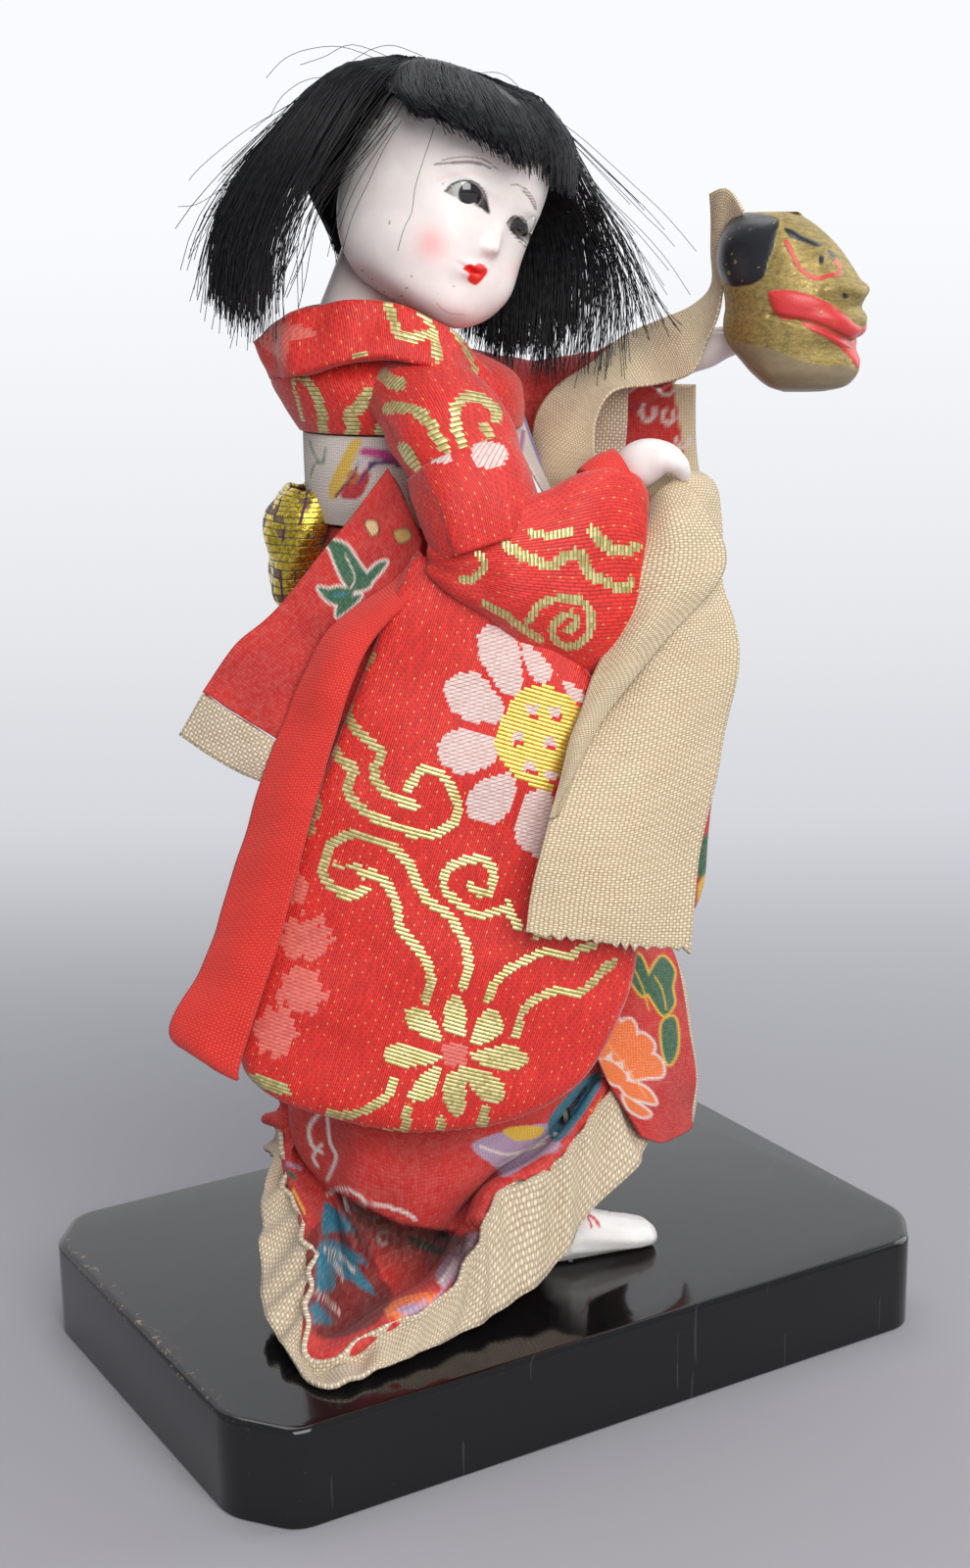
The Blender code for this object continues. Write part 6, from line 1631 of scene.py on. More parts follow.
ribbonRows = [
    [34.1, 3, 173.5, 36.4, 1, 174.2, 38.7, -1, 171.2],
    [35, 5, 166.4, 35.6, 3, 166.9, 36.4, 2, 166.4],
    [34.7, 4, 160.9, 35.3, 2, 159.5, 35.6, 0, 157.7],
    [31.9, 5, 157.8, 33.2, 2.6, 155.4, 33.9, 0.8, 152.9],
    [27.9, 8, 155.8, 30.4, 3.4, 152.6, 31.6, 0.6, 148.5],
    [22.2, 13, 153.1, 24.7, 7, 150.2, 26.4, 3, 146.7],
    [17.4, 11, 149.2, 18.6, 6, 147.8, 20.4, 2, 145.7],
    [12, 9, 145.6, 15.3, 3, 144, 17.6, -1, 141.8],
    [9, 6, 141.3, 12.5, 0, 139.2, 17.2, -4, 138.1],
    [9.1, 1, 135.5, 12.7, -4, 134.8, 17.8, -8, 136.3],
    [12.9, -6, 131.6, 15.6, -9, 133.6, 19.8, -12, 136.1],
    [18.4, -13.4, 133.8, 20, -13.8, 134.9, 22.2, -14, 136.3],
    [24.5, -16.6, 132.7, 28, -16.4, 135.4, 32.3, -14.4, 135.1],
    [23.7, -19.6, 127.4, 29.1, -20, 129.8, 34.6, -15, 129.4],
    [22, -21.4, 120.1, 27.8, -22.8, 121.6, 34.4, -17, 121.1],
    [19.4, -22.8, 113.7, 27.2, -24.2, 115.3, 36.4, -18.4, 115],
    [16.2, -24.6, 106.7, 24.7, -25.8, 108.5, 36.8, -19.6, 108.8],
    [10.9, -33, 94.9, 21.8, -30.6, 94.4, 33.9, -21.6, 96],
    [7.8, -36.6, 84.9, 18.9, -34, 83.1, 31.1, -24.6, 82.5],
    [6.2, -37.6, 76, 17.5, -35, 73.3, 29.7, -26.6, 69.4],
]
# the part of it that is folded over in front, tapering to nothing on the slanting fold
foldRows = [
    [24.4, -17.6, 132.6, 26.2, -18.6, 134.2, 28.6, -18.4, 135.6],
    [23.1, -21, 128.7, 27.3, -22.4, 130.2, 32.1, -20, 130.6],
    [21.9, -22.2, 125.4, 27.9, -24.4, 126.1, 34.8, -20.2, 125.5],
    [20.4, -23.4, 120.1, 26.3, -25.6, 120.7, 33, -22.2, 120.9],
    [17.9, -25, 113.6, 22.2, -26.8, 114.4, 26.9, -25.6, 115.1],
    [14.9, -28, 106.6, 17.4, -28.8, 107.3, 20.3, -28, 107.6],
    [12.1, -31.6, 99.5, 13.4, -31.8, 100, 14.9, -31.4, 100.5],
    [9.6, -35.6, 91.5, 10.2, -35.6, 91.7, 10.8, -35.4, 91.9],
]


# hair: a dark core in each lock, with silk strands over it

hair = {"radius": 0.062, "steps": 12, "thick": 1.9, "fringeThick": 0.9, "clump": 1.2, "gather": 0.75,
        "strays": 6, "seed": 4}
hairRows = {
    "fringe": [
        [-10.7, 2, 191.3, -7.3, 0, 192, -4, -1, 191.6, -0.4, 0, 190.4, 2.9, 3, 189.1, 7.3, 5, 188.1],
        [-11.2, -7, 187.7, -7.6, -11, 188.4, -3.2, -12, 188, 2, -9, 186.6, 6.6, -4, 184.8, 11.4, 3, 185.1],
        [-9.1, -13.6, 186.3, -7, -16, 185.8, -1.7, -17.5, 184.5, 4.3, -14.5, 182.3, 8.9, -9, 180.1, 14.8, 3, 180.2],
        [-7, -16.4, 184.3, -3.8, -18.2, 184.2, 0.6, -19, 181.6, 5.8, -16.5, 178.9, 9.3, -11, 176.4, 14.7, 2, 174],
    ],
    "right": [
        [-5.8, -4, 191.4, -10.3, 0, 192, -9.6, 4, 192.5, -5.3, 9, 192.3],
        [-8.9, -13.6, 186, -16.3, -8, 187.9, -19.4, 4, 188.7, -15.3, 16, 188.5],
        [-13.1, -15.6, 179.9, -21, -12, 180.9, -26.6, 0, 181.1, -24, 17, 180.9],
        [-19.2, -14.4, 173.6, -25, -12, 173.2, -31.7, -1, 174.2, -28.9, 17, 173],
        [-22.3, -12, 166.7, -27.8, -10.6, 165.4, -34.5, -1, 167.2, -30.8, 16, 165.7],
        [-25.2, -10, 160.1, -28.8, -10, 155.3, -35.1, -1, 158.5, -31.5, 15, 159.1],
    ],
    "back": [
        [-8.2, 4, 192, -6, 5, 192, -3.8, 5, 191.5, -1, 5, 190.4],
        [-16.3, 13, 188.6, -10.9, 15, 188.9, -5.2, 15, 188.3, 0.6, 13, 186.8],
        [-25.2, 15, 181.4, -19, 23, 182.4, -10.2, 25, 182.4, -0.4, 21, 181.3],
        [-23.5, 19, 173.4, -19.4, 25, 173, -12.3, 27, 172.6, -1.7, 24, 173.2],
        [-19.6, 20, 165.8, -15.9, 23, 165.4, -11.5, 25, 164.6, -2.4, 23, 164.7],
        [-18.8, 19, 160.6, -15.3, 21, 159.6, -10.9, 22, 158.6, -2.5, 20, 157.4],
    ],
    "left": [
        [-2.4, 6, 191.3, 0.1, 3, 190.2, 2.6, 0, 189.2, 4.7, -3, 188.2],
        [0.3, 14, 187.1, 5.1, 11, 186.6, 8.7, 6, 185.5, 11.1, 0, 183.6],
        [-0.4, 22, 181, 7.2, 17, 179.9, 13.4, 12, 177.8, 16.3, 6, 175.4],
        [-1.7, 25, 173.2, 8.1, 20, 171.2, 17.5, 13, 168.8, 22.6, 7, 166.5],
        [-2.1, 22, 164.5, 8.5, 15.5, 161.5, 19, 8, 160.4, 25.9, 4, 159.9],
        [-1.9, 17, 156.4, 7.6, 8, 149.2, 17.9, 3.2, 149.6, 28.6, 2.2, 156],
    ],
}


def threadTree():
    # a round thread along every edge run
    tree = bpy.data.node_groups.new("threads", "GeometryNodeTree")
    tree.interface.new_socket(name="Runs", in_out="INPUT", socket_type="NodeSocketGeometry")
    for name, kind, value in (("Radius", "NodeSocketFloat", 0.0001), ("Sides", "NodeSocketInt", 3)):
        tree.interface.new_socket(name=name, in_out="INPUT", socket_type=kind).default_value = value
    tree.interface.new_socket(name="Finish", in_out="INPUT", socket_type="NodeSocketMaterial")
    tree.interface.new_socket(name="Threads", in_out="OUTPUT", socket_type="NodeSocketGeometry")
    given, result = tree.nodes.new("NodeGroupInput"), tree.nodes.new("NodeGroupOutput")
    course, ring, sweep, whole, coat = [tree.nodes.new("GeometryNode" + kind) for kind in (
        "MeshToCurve", "CurvePrimitiveCircle", "CurveToMesh", "RealizeInstances", "SetMaterial")]
    sweep.inputs["Fill Caps"].default_value = True
    for start, out, end, into in (
            (given, "Runs", course, "Mesh"), (given, "Sides", ring, "Resolution"), (given, "Radius", ring, "Radius"),
            (course, "Curve", sweep, "Curve"), (ring, "Curve", sweep, "Profile Curve"),
            (sweep, "Mesh", whole, "Geometry"), (whole, "Geometry", coat, "Geometry"),
            (given, "Finish", coat, "Material"), (coat, "Geometry", result, "Threads")):
        tree.links.new(start.outputs[out], end.inputs[into])
    return tree


def threads(name, runs, radius, finish):
    # runs: arrays of points in the doll's own millimetres, one for each thread
    starts = np.cumsum([0] + [len(run) for run in runs[:-1]])
    edges = [(int(start) + step, int(start) + step + 1)
             for start, run in zip(starts, runs) for step in range(len(run) - 1)]
    mesh = bpy.data.meshes.new(name)
    mesh.from_pydata(world(np.concatenate(runs)).tolist(), edges, [])
    piece = placed(name, mesh)
    change = piece.modifiers.new("threads", "NODES")
    change.node_group = bpy.data.node_groups.get("threads") or threadTree()
    values = {"Radius": radius * mm, "Finish": finish}
    for item in change.node_group.interface.items_tree:
        if item.in_out == "INPUT" and item.name in values:
            change[item.identifier] = values[item.name]
    return applied(piece)


def hairCore(name, rows, half, finish, inset, long=0.62, first=0.0, last=1.0):
    # the dense middle of a lock, thinning out to nothing
    grid, size = clothGrid(rows, (1.1, 1.1))
    down, across = grid.shape[:2]
    grid = grid[:max(3, round(down * long)), round(across * first):max(3, round(across * last))]
    size = (size[0] * (last - first), size[1] * long)
    x, y = places(grid, size)
    ends = np.clip(y / 5.0, 0, 1) * np.clip((size[1] - y) / (size[1] * 0.45), 0, 1)
    ends = ends * np.clip(x / 4.0, 0, 1) * np.clip((size[0] - x) / 4.0, 0, 1)
    return shell(name, grid, size, 0.10 + (half - inset) * np.sqrt(ends), finish)


def hairStrands(name, rows, half, finish, count, seed, start=0.25, drop=2.5, ragged=0.10, curl=0.35,
                thin=(0.0, 0.0), flare=0.0):
    # each strand keeps to its own place across the lock, drifts into a clump and ends where it likes
    picks = np.random.default_rng(seed)
    grid, size = clothGrid(rows, (1.0, 1.0))
    normal = normals(grid)
    down, across = grid.shape[:2]
    clumps = size[0] / hair["clump"]
    lengths = 1.0 - np.abs(picks.normal(0, ragged, int(clumps) + 3))
    runs = []
    while len(runs) < count:
        place = picks.uniform(0, 1)
        dense = min(place / max(thin[0], 1e-3), (1 - place) / max(thin[1], 1e-3), 1.0)**2.0
        if picks.uniform(0, 1) > max(dense, 0.06):
            continue
        begin = picks.uniform(0, start)**1.5
        end = np.clip(lengths[round(place * clumps)] - abs(picks.normal(0, 0.07)) + 0.02, 0.40, 1.0)
        deep = half * math.copysign(math.sqrt(picks.uniform(0.1, 1)), picks.uniform(-1, 1))
        along = np.linspace(begin, end, hair["steps"])
        clump = (round(place * clumps + picks.normal(0, 0.3)) / clumps - place) * hair["gather"] * along**2
        drift = clump + picks.normal(0, 0.03) * along
        col = np.clip(place + drift, 0, 1) * (across - 1)
        row = np.clip(along, 0, 1) * (down - 1)
        c, r = np.minimum(col.astype(int), across - 2), np.minimum(row.astype(int), down - 2)
        fc, fr = (col - c)[:, None], (row - r)[:, None]
        upper = grid[r, c] * (1 - fc) + grid[r, c + 1] * fc
        lower = grid[r + 1, c] * (1 - fc) + grid[r + 1, c + 1] * fc
        spot = upper * (1 - fr) + lower * fr
        way = normal[r, c]
        taper = np.clip(np.minimum(col, across - 1 - col) / 3.0, 0.25, 1)
        spot = spot + way * (deep * taper * np.clip(along * 6, 0.35, 1))[:, None]
        swing = curl * along * np.sin(along * picks.uniform(4, 11) + picks.uniform(0, math.tau))
        tail = np.clip((along - 0.6) / 0.4, 0, 1)**2 * picks.normal(0, curl * 3)
        spot = spot + rightWaySide(way) * (swing + tail)[:, None] + way * (curl * 0.6 * swing[::-1] * along)[:, None]
        wild = 2.6 if picks.uniform(0, 1) < 0.08 else 0.7
        stray = flare * wild * abs(picks.normal(0, 1)) * along**2 * (1 - dense * 0.4)
        spot = spot + np.array([-1.0, 0, 0.15]) * stray[:, None]
        spot[:, 2] -= np.clip((along - 0.8) / 0.2, 0, 1) * picks.uniform(0, drop)
        runs.append(spot)
    return threads(name, runs, hair["radius"], finish)


# stray hairs, in the doll's own millimetres: each guide is followed by a few
strayGuides = [
    [-12, -1, 191.8, -17.6, -3, 189.8, -23.1, -3, 186.6, -28.7, -3, 183.4, -33.6, -3, 179.2, -36.9, -3, 176.4],
    [-13.6, -1, 191.2, -20.3, -3, 188, -26.4, -3, 183.5, -30.9, -3, 179.5, -34.2, -3, 175.3, -36.7, -3, 172.6],
    [-14.7, -1, 190.4, -23.2, -2, 185.7, -29.9, -2, 179.9, -32.8, -2, 174.6, -35.5, -2, 169.3, -37.8, -2, 165.7],
    [-19.2, 0, 188.2, -26.2, 0, 183, -31.2, 0, 176.6, -33.6, 0, 172, -35.4, 0, 167.9, -36.4, 0, 163.9],
    [-16.4, 1, 189.8, -24.9, 1, 184.6, -30.3, 1, 178.7, -34.1, 1, 175.4, -36.1, 1, 174, -38.1, 1, 173.8],
    [-24.8, 0, 184.5, -29.4, 0, 178, -32.5, 0, 171.3, -33.8, 0, 165.9, -34.5, 0, 161.8, -35.5, 0, 158.8],
    [-20.7, 2, 187.2, -26.4, 2, 182, -31.1, 2, 177.2, -33.7, 2, 174.6, -35.7, 2, 173.2, -37.4, 2, 173],
    [-18, 3, 188.6, -25.1, 3, 183.9, -29.4, 3, 179.4, -33.1, 3, 176.7, -35.1, 3, 175.9, -37.1, 3, 176.2],
    [11.2, 3, 184.3, 14.1, 3, 181.8, 20.5, 3, 175.6, 25.4, 3, 170.7, 32, 3, 162.7],
    [12.6, 4, 181.6, 17.3, 4, 174.8, 22.4, 4, 169, 26.4, 4, 164, 30.1, 4, 158.7],
    [11.1, 2, 182.9, 16.7, 2, 176.7, 21.4, 2, 171.2, 25.1, 2, 166.2, 28.6, 2, 157.1],
    [-25.4, 0, 167.1, -29, 0, 162.4, -32.6, 0, 160.4, -36.1, 0, 158.2, -37.9, 0, 155.5],
]
# single hairs across the cheek and temple
cheekHairs = [
    [-12.1, 0, 191.9, -17.6, 0, 193.9, -22.3, 0, 193.7, -25.9, 0, 192.4, -28.5, 0, 189.9],
    [-10.8, 0, 192.3, -16.3, 0, 194.2, -20.4, 0, 192.6, -23.7, 0, 191.6],
    [-6.6, 0, 192.6, -10.5, 0, 194, -13.5, 0, 193.6, -16.3, 0, 192.1],
    [0.1, 2, 190.2, 3.7, 2, 190.4, 6, 2, 189.3, 8.4, 2, 186.4],
    [3.7, 2, 189.6, 6.7, 2, 188.2, 9.5, 2, 186.4, 11.9, 2, 183.1],
    [-16.2, -4, 189.5, -21.9, -4, 189.5, -25.7, -4, 187.5, -27.7, -4, 184.7],
    [-4.8, -18, 182.2, -5.3, -17.6, 180.7, -6.7, -17.4, 176.9, -7.5, -17.4, 174.3, -8, -17.4, 171.2, -9.1, -17,
     169.2, -10, -16.4, 166.3],
    [-9.9, -16, 182.6, -12.1, -15.6, 179.9, -14.6, -15, 176.4, -16.6, -14.4, 172.8, -18.1, -13.6, 169],
    [-9.1, -16.4, 183.3, -11.6, -16, 179.6, -13.8, -15.4, 175.3, -16.1, -14.6, 171, -17.6, -13.4, 166.6],
    [-10.7, -15.4, 182.9, -13.4, -15, 180.4, -15.6, -14.4, 177.9, -17.9, -13.6, 174.9, -19.1, -12.8, 170.8],
    [-9.6, -16, 183.9, -12.6, -15.8, 181.1, -15.4, -15, 177.4, -17.1, -14.4, 173.6, -18.6, -13.4, 170, -19.8, -12.4,
     165.6],
]


def strayHair(name, finish):
    picks = np.random.default_rng(hair["seed"] + 9)
    runs = []
    for guide in strayGuides:
        for _ in range(hair["strays"]):
            run = smoothRun(np.reshape(guide, (-1, 3)), 16)
            part = np.linspace(0, 1, 16)[:, None]
            run = run + picks.normal(0, 1.0, 3) * (0.4 + 1.5 * part) * [1, 1, 0.6]
            run = run + np.sin(part * picks.uniform(4, 10) + picks.uniform(0, 6)) * picks.normal(0, 0.35, 3) * part
            runs.append(run[:picks.integers(9, 17)])
    runs += [smoothRun(np.reshape(single, (-1, 3)), 16) for single in cheekHairs]
    return threads(name, runs, hair["radius"] * 0.8, finish)


def rightWaySide(way):
    side = np.cross(way, (0.0, 0.0, 1.0))
    return side / np.maximum(np.linalg.norm(side, axis=1, keepdims=True), 1e-6)


def dressed(piece, body, slot, *nodes):
    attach(piece, body)
    if nodes:
        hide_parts(*nodes)
    return piece


def asSheet(piece, cutSize):
    flat, area = cutSize
    min(area, flat[0] * flat[1])


# finishes that several pieces share

brocade = brocadeFinish("redBrocade")
crepe = crepeFinish("printedCrepe")
paleCrepe = crepeFinish("paleCrepe", 0.36)
ribbonSilk = plainFinish("ribbonSilk", srgb(252, 238, 206), srgb(150, 116, 74), 0.38)
liningSilk = plainFinish("liningSilk", srgb(240, 226, 203), srgb(150, 124, 88), 0.50)
redLining = plainFinish("redLining", srgb(255, 62, 44), srgb(196, 26, 22), 0.40)
shellWhite = shellWhiteFinish()
blackSilk, dullSilk = hairFinish("blackSilk", 0.30, 0.34), hairFinish("dullSilk", 0.05, 0.70)
goldPaint = goldPaintFinish()
pegWood = woodFinish("pegWood", srgb(206, 172, 122), srgb(150, 112, 70), 0.9)
woodWool = woodFinish("woodWool", srgb(196, 168, 120), srgb(128, 98, 62), 2.2)
ironWire = wireFinish()
print("finishes made")

# board, wires and core

dressed(makeBoard(), "figure", "black_lacquer", "base_board")
for name, finish in (("leg_wire_right", ironWire), ("leg_wire_left", ironWire), ("arm_wire_right", ironWire),
                     ("arm_wire_left", ironWire), ("neck_peg", pegWood), ("torso_core", woodWool)):
    node = frame["nodes"][name]
    node.data.materials.clear()
    node.data.materials.append(finish)
print("board and core made")

# head, hands, feet and mask

faceWhite = faceFinish()
glassEye = glassEyeFinish()
dressed(makeHead(faceWhite), "head", "shell_white", "head")
for name, side, node in (("eyeRight", 1, "eye_right"), ("eyeLeft", -1, "eye_left")):
    dressed(makeEye(name, eyePlaces[side], side, glassEye), "head", "eye_glass", node)
for name, rows, node in (("rightHandShell", rightHand, "right_hand"), ("leftHandShell", leftHand, "left_hand")):
    dressed(makeHand(name, rows, shellWhite, 0.10), "figure", "shell_white", node)
for node in ("right_foot", "left_foot"):
    foot = rounded(node, node.replace("_", "") + "Shell", faceWhite, 0.35, 6)
    setColours(foot.data, "print", footPrint(np.array([vertex.co for vertex in foot.data.vertices])), "POINT")
    dressed(foot, "figure", "shell_white", node)
dressed(makeMask(goldPaint), "figure", "gold_paint", "lion_mask")
print("head, hands, feet and mask made")

# hair

locks = {
    "right": {"node": "hair_right", "count": 2880, "core": (0.52, 0.20, 1.0), "thin": (0.42, 0.0),
        "start": 0.30, "drop": 3.0, "ragged": 0.12, "flare": 2.0},
    "left": {"node": "hair_left", "count": 2700, "core": (0.90, 0.0, 0.42), "thin": (0.0, 0.72),
        "start": 0.30, "drop": 3.0, "ragged": 0.09, "flare": 0.0},
    "back": {"node": "hair_back", "count": 2400, "core": (0.72, 0.0, 1.0), "thin": (0.0, 0.0),
        "start": 0.25, "drop": 2.5, "ragged": 0.08, "flare": 0.0},
    "fringe": {"node": "hair_fringe", "count": 2200, "core": (0.72, 0.0, 1.0), "thin": (0.0, 0.0),
        "start": 0.12, "drop": 1.6, "ragged": 0.09, "flare": 0.0},
}
for step, (side, lock) in enumerate(locks.items()):
    fringe = side == "fringe"
    half = hair["fringeThick"] if fringe else hair["thick"]
    long, first, last = lock["core"]
    core = hairCore(side + "HairCore", hairRows[side], half, dullSilk, 0.5, long, first, last)
    dressed(core, "head", "black_silk", lock["node"])
    strands = hairStrands(side + "Hair", hairRows[side], half + 0.1, blackSilk, lock["count"], hair["seed"] + step,
                          start=lock["start"], drop=lock["drop"], ragged=lock["ragged"], curl=0.22 if fringe else 0.5,
                          thin=lock["thin"], flare=lock["flare"])
    dressed(strands, "head", "black_silk")
dressed(strayHair("strayHair", blackSilk), "head", "black_silk")
print("hair made")

# clothes

cell = (weave["across"], weave["down"])
grid = ellipses(chest, 210, 40)
kimono, size = wound("kimonoBody", grid, 15.0, 0.3, brocade, weave=scrollWeave(torsoScrolls))
dressed(kimono, "figure", "red_brocade", "kimono_body")
collarPiece, _ = cloth("collarBand", collarRows, cell, 0.9, brocade, False,
                        creased(7.0, 0.4, 29), weave=scrollWeave(collarScrolls, collarPatches))
dressed(collarPiece, "figure", "red_brocade", "collar")
underCollar, _ = cloth("underCollar", underCollarRows, (0.4, 0.4), 0.25, paleCrepe, print_=markedPrint(
    [line(srgb(130, 120, 180), 3, 524, 398, 536, 430, 550, 468, 566, 500),
     line(srgb(160, 90, 150), 4, 534, 440, 530, 470)], srgb(232, 226, 220), wholly=True))
dressed(underCollar, "figure", "pale_crepe", "under_collar")
asSheet(kimono, size)
waistPiece, size = wound("waistWrap", ellipses(waist, 230, 34), 13.0, 0.3, paleCrepe,
                         print_=markedPrint(waistMarks, srgb(238, 230, 220)))
dressed(waistPiece, "figure", "pale_crepe", "waist_wrap")
asSheet(waistPiece, size)
grid = ellipses(knot, 120, 60)
grid = pushed(grid, waves(*places(grid, (42, 18)), 7.0, 12) * 0.35, True)
knotPiece, size = wound("obiKnot", grid, 18.0, 0.4, lameFinish())
dressed(knotPiece, "figure", "gold_lame", "obi_knot")
asSheet(knotPiece, size)

rows = [foldedRing(ring, depth) for ring, depth in zip(skirtRings, skirt["depths"])]
grid, size = clothGrid(rows, (0.30, 0.27), True)
x, y = places(grid, size)
grid = skirtShape(grid, x, y)
# close points low on the side that is looked at, few elsewhere
picks = np.ix_([row for row in range(len(grid)) if y[row, 0] > 0.55 * size[1] or row % 4 == 0],
               [col for col in range(len(grid[0])) if grid[-1, col, 1] < -3 or col % 3 == 0])
grid, x, y = grid[picks], x[picks], y[picks]
skirtPiece = shell("skirtTrain", grid, size, skirtHalf(grid, x, y), crepe, True,
                   print_=skirtPrintWithPaintedShade, coarse=-5, at=(x, y))
size = cut(grid, True)
dressed(skirtPiece, "figure", "printed_crepe", "skirt")
hem, *lower = [foldedRing(ring, skirt["depths"][-1]) for ring in (skirtRings[-1], *skirtLiningRings)]
rows = [hem * 0.75 + lower[0] * 0.25 + (0, 0, 0.7), lower[0], lower[1]]
skirtLining, liningSize = cloth("skirtLining", rows, (0.6, 0.6), 0.35, liningSilk, True, liningShape, coarse=-2)
dressed(skirtLining, "figure", "beige_silk", "skirt_lining")
asSheet(skirtPiece, size)
asSheet(skirtLining, liningSize)
frontPanel, size = cloth("frontPanel", frontPanelRows, (0.28, 0.28), 0.3, crepe, False, creased(11.0, 0.25, 23),
                         print_=markedPrint(panelMarks, wholly=True))
dressed(frontPanel, "figure", "printed_crepe", "front_panel")
panelLining, _ = cloth("panelLining", panelLiningRows, (0.6, 0.6), 0.3, liningSilk)
dressed(panelLining, "figure", "beige_silk", "panel_lining")
asSheet(frontPanel, size)
print("body and skirt clothes made")

# right sleeve

grid, long = tube(sleeveUpper, 120, 40)
grid = pushed(grid, waves(*places(grid, (46, long)), 9.0, 31) * 0.25, True)
upperPiece, size = wound("rightSleeveUpper", grid, long, 0.3, brocade,
                         weave=scrollWeave(upperSleeveScrolls))
dressed(upperPiece, "figure", "red_brocade", "right_sleeve_upper")
asSheet(upperPiece, size)
grid, long = tube(sleeveBand, 120, 30)
grid = pushed(grid, waves(*places(grid, (50, long)), 11.0, 32) * 0.2, True)
bandPiece, size = wound("rightSleeveBand", grid, long, 0.45, brocade,
                        weave=scrollWeave([], bandPatches))
dressed(bandPiece, "figure", "red_brocade", "right_sleeve_band")
asSheet(bandPiece, size)
grid, long = uprights(forearm, 120, 70)
grid = pushed(grid, waves(*places(grid, (50, long)), 9.0, 33) * 0.3, True)
forearmPiece, size = wound("rightForearm", grid, long, 0.3, brocade,
                           weave=scrollWeave(forearmScrolls))
dressed(forearmPiece, "figure", "red_brocade", "right_forearm_sleeve")
grid, long = tube(cuff, 60, 14)
cuffPiece, _ = wound("rightCuff", grid, long, 0.3, redLining)
dressed(cuffPiece, "figure", "red_lining", "right_cuff_lining")
asSheet(forearmPiece, size)
bagPiece = makeBag("rightHangingSleeve", bag["levels"], 18.0, cell, brocade, weaveAt=bagWeave)
dressed(bagPiece, "figure", "red_brocade", "right_hanging_sleeve")
facingPiece, facingSize = cloth("rightSleeveFacing", facingStrip, (0.5, 0.5), 0.3, redLining, False,
                                 creased(9.0, 0.2, 34))
dressed(facingPiece, "figure", "red_lining", "right_sleeve_lining")
asSheet(bagPiece, ((0.116, 0.084), 0.0084))
asSheet(facingPiece, facingSize)
flapPiece, size = cloth("backFlap", flapRows, (0.28, 0.28), 0.6, crepe, False, creased(10.0, 0.25, 35),
                        print_=markedPrint(flapMarks, wholly=True))
dressed(flapPiece, "figure", "printed_crepe", "back_flap")
flapEndPiece, _ = cloth("backFlapEnd", flapEnd, (0.6, 0.6), 0.6, liningSilk, False, creased(8.0, 0.2, 36))
dressed(flapEndPiece, "figure", "beige_silk", "back_flap_lining")
asSheet(flapPiece, size)
print("right sleeve made")

# left sleeve

grid, long = tube(leftArm, 110, 90)
grid = pushed(grid, waves(*places(grid, (36, long)), 8.0, 41) * 0.25, True)
leftPiece, size = wound("leftSleeve", grid, long, 0.3, crepe,
                        print_=markedPrint(leftMarks, wholly=True))
dressed(leftPiece, "figure", "printed_crepe", "left_sleeve")
asSheet(leftPiece, size)
leftBagPiece = makeBag("leftHangingSleeve", leftBag["levels"], 0.0, (0.5, 0.5), crepe,
                       printAt=markedPrint(leftMarks, wholly=True))
dressed(leftBagPiece, "figure", "printed_crepe", "left_hanging_sleeve")
leftFacingPiece, _ = cloth("leftSleeveFacing", leftFacing, (0.6, 0.6), 0.3, liningSilk, False, creased(9.0, 0.2, 42))
dressed(leftFacingPiece, "figure", "beige_silk", "left_sleeve_lining")
asSheet(leftBagPiece, ((0.060, 0.090), 0.0052))
print("left sleeve made")

# the ribbon tied to the mask

ribbonPiece, size = cloth("maskCloth", ribbonRows, (0.42, 0.42), 0.22, ribbonSilk, False, ribbonFold)
dressed(ribbonPiece, "figure", "beige_silk", "mask_cloth")
foldPiece, _ = cloth("maskClothFold", foldRows, (0.42, 0.42), 0.22, ribbonSilk, False, creased(9.0, 0.25, 53))
dressed(foldPiece, "figure", "beige_silk")
asSheet(ribbonPiece, size)
print("ribbon made")

# floor, lights and camera

room = {"floorSize": 1.6, "backAway": 0.55, "bend": 0.25, "floorLook": srgb(164, 163, 169)}


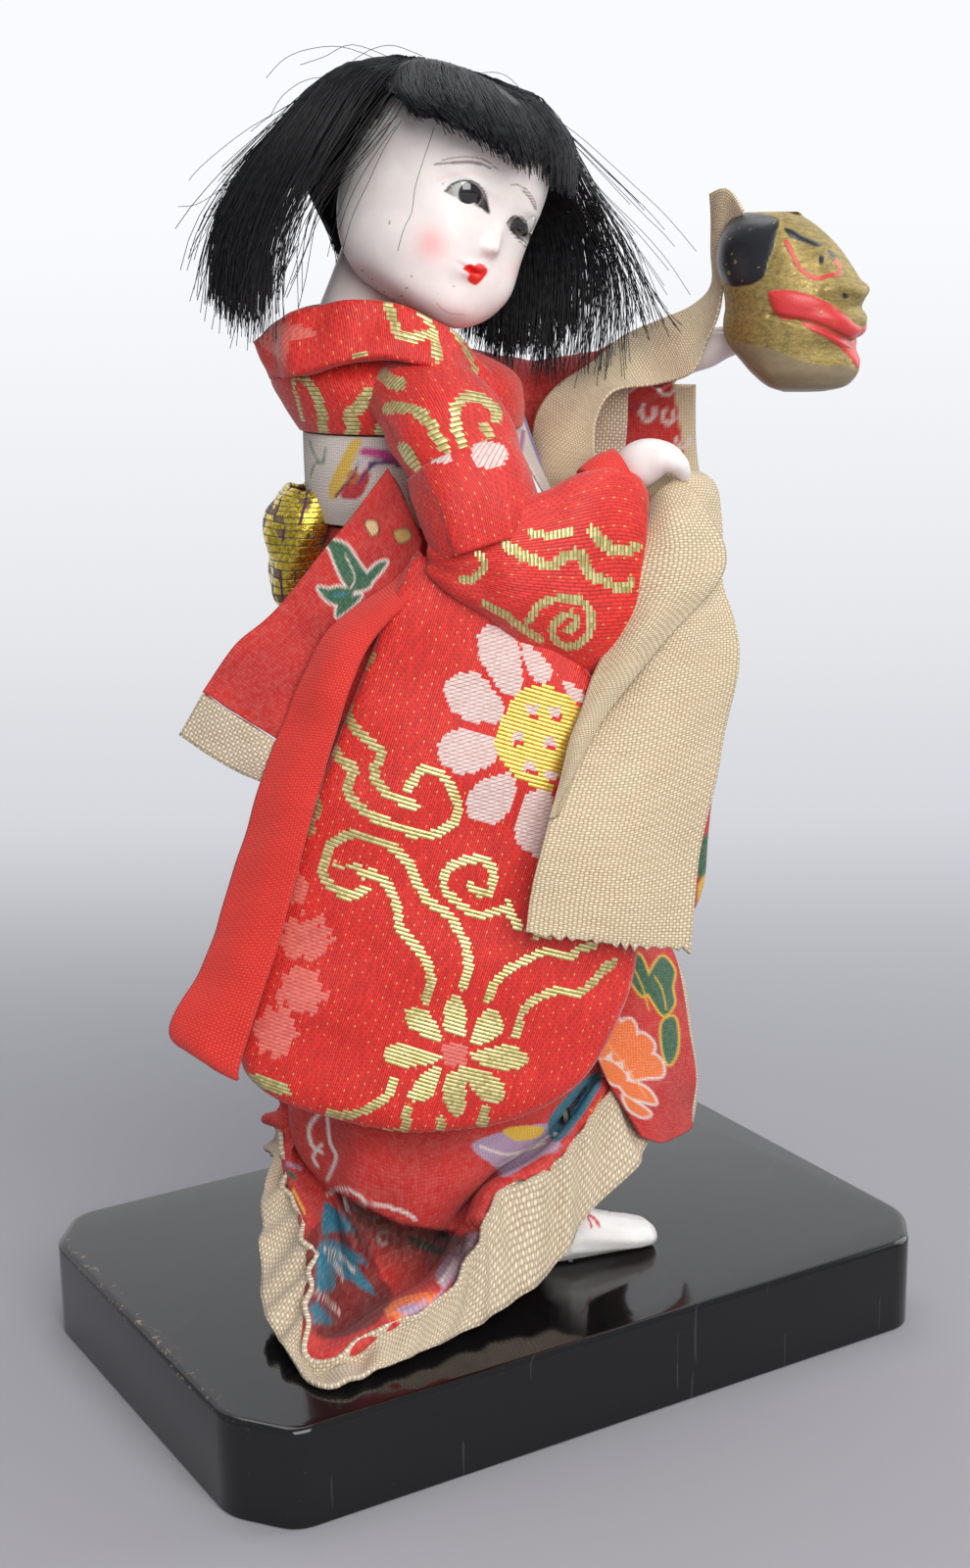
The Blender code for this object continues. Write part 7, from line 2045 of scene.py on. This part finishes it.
def makeRoom():
    # one pale sheet: a floor that bends up into the backdrop
    side, top, back = cameraAxes()
    ahead = -back * np.array([1, 1, 0])
    ahead /= np.linalg.norm(ahead)
    course = [(-1.2, 0.0), (room["backAway"], 0.0)]
    for step in range(1, 13):
        bend = math.pi / 2 * step / 12
        course.append((room["backAway"] + room["bend"] * math.sin(bend), room["bend"] * (1 - math.cos(bend))))
    course.append((room["backAway"] + room["bend"], 1.8))
    points = []
    for away, up in course:
        for edge in (-room["floorSize"], room["floorSize"]):
            points.append(ahead * away + side * np.array([1, 1, 0]) * edge + upWay * up)
    faces = [(2 * step, 2 * step + 1, 2 * step + 3, 2 * step + 2) for step in range(len(course) - 1)]
    paint = Paint("paleBackdrop", room["floorLook"], Roughness=0.9, Specular_IOR_Level=0.1)
    spot = paint.spot()
    cloud = paint.noise(spot, 0.004, 2.0)
    paint.set(Base_Color=paint.mix(cloud, room["floorLook"], tuple(0.96 * c for c in room["floorLook"])))
    # what is looked at above the floor is a pale glow, painted brighter higher up and further back
    x, y, z = [paint.add("ShaderNodeSeparateXYZ", {}, {0: spot}, out) for out in range(3)]
    rays = [paint.add("ShaderNodeLightPath", {}, {}, out) for out in (0, 3, 6)]
    looked = (rays[0] + rays[1] + rays[2]).clamp()
    away = y * float(ahead[1]) + x * float(ahead[0])
    high = paint.add("ShaderNodeMapRange", {}, {0: z * 0.6 + away * 0.4, 1: 60.0, 2: 420.0, 3: 0.0, 4: 1.0})
    tone = paint.mix(high, srgb(206, 208, 214), srgb(250, 251, 254))
    glow = paint.add("ShaderNodeEmission", {}, {"Color": tone, "Strength": 1.0})
    blended = paint.add("ShaderNodeMixShader", {}, {
        0: looked * paint.add("ShaderNodeMapRange", {"interpolation_type": "SMOOTHSTEP"},
                              {0: away, 1: 60.0, 2: 330.0, 3: 0.0, 4: 1.0}),
        1: Flow(paint, paint.shader.outputs[0]), 2: glow})
    paint.tree.links.new(blended.socket, paint.tree.nodes["Material Output"].inputs["Surface"])
    floor = meshPiece("backdrop", np.array(points), faces, paint.material)


makeRoom()
lamps = {
    "key": (6.2, (-0.12, -0.68, 0.50), 0.60, (1.0, 0.985, 0.96)),
    "fill": (2.2, (0.75, -0.10, 0.40), 0.6, (0.96, 0.98, 1.0)),
    "top": (3.0, (0.05, 0.25, 0.95), 0.6, (1.0, 1.0, 1.0)),
}
for name, (power, place, wide, tint) in lamps.items():
    lamp = bpy.data.lights.new(name, "AREA")
    lamp.energy, lamp.size, lamp.color = power, wide, tint
    holder = bpy.data.objects.new(name, lamp)
    bpy.context.scene.collection.objects.link(holder)
    holder.location = place
    holder.rotation_euler = (Vector((0, 0, 0.1)) - Vector(place)).to_track_quat("-Z", "Y").to_euler()
sky = bpy.data.worlds.new("softSky")
bpy.context.scene.world = sky
sky.use_nodes = True
sky.node_tree.nodes["Background"].inputs["Color"].default_value = (*srgb(236, 240, 246), 1.0)
sky.node_tree.nodes["Background"].inputs["Strength"].default_value = 0.42

lens = bpy.data.cameras.new("viewer")
lens.lens, lens.sensor_width, lens.sensor_fit = photo["lens"], photo["sensor"], "AUTO"
lens.clip_start, lens.clip_end = 0.01, 10.0
viewer = bpy.data.objects.new("viewer", lens)
bpy.context.scene.collection.objects.link(viewer)
side, top, back = cameraAxes()
turned = Matrix(np.stack([side, top, back], 1).tolist()).to_4x4()
turned.translation = photo["place"]
viewer.matrix_world = turned
bpy.context.scene.camera = viewer
bpy.context.scene.view_settings.view_transform = "Standard"
print("camera and lights set")
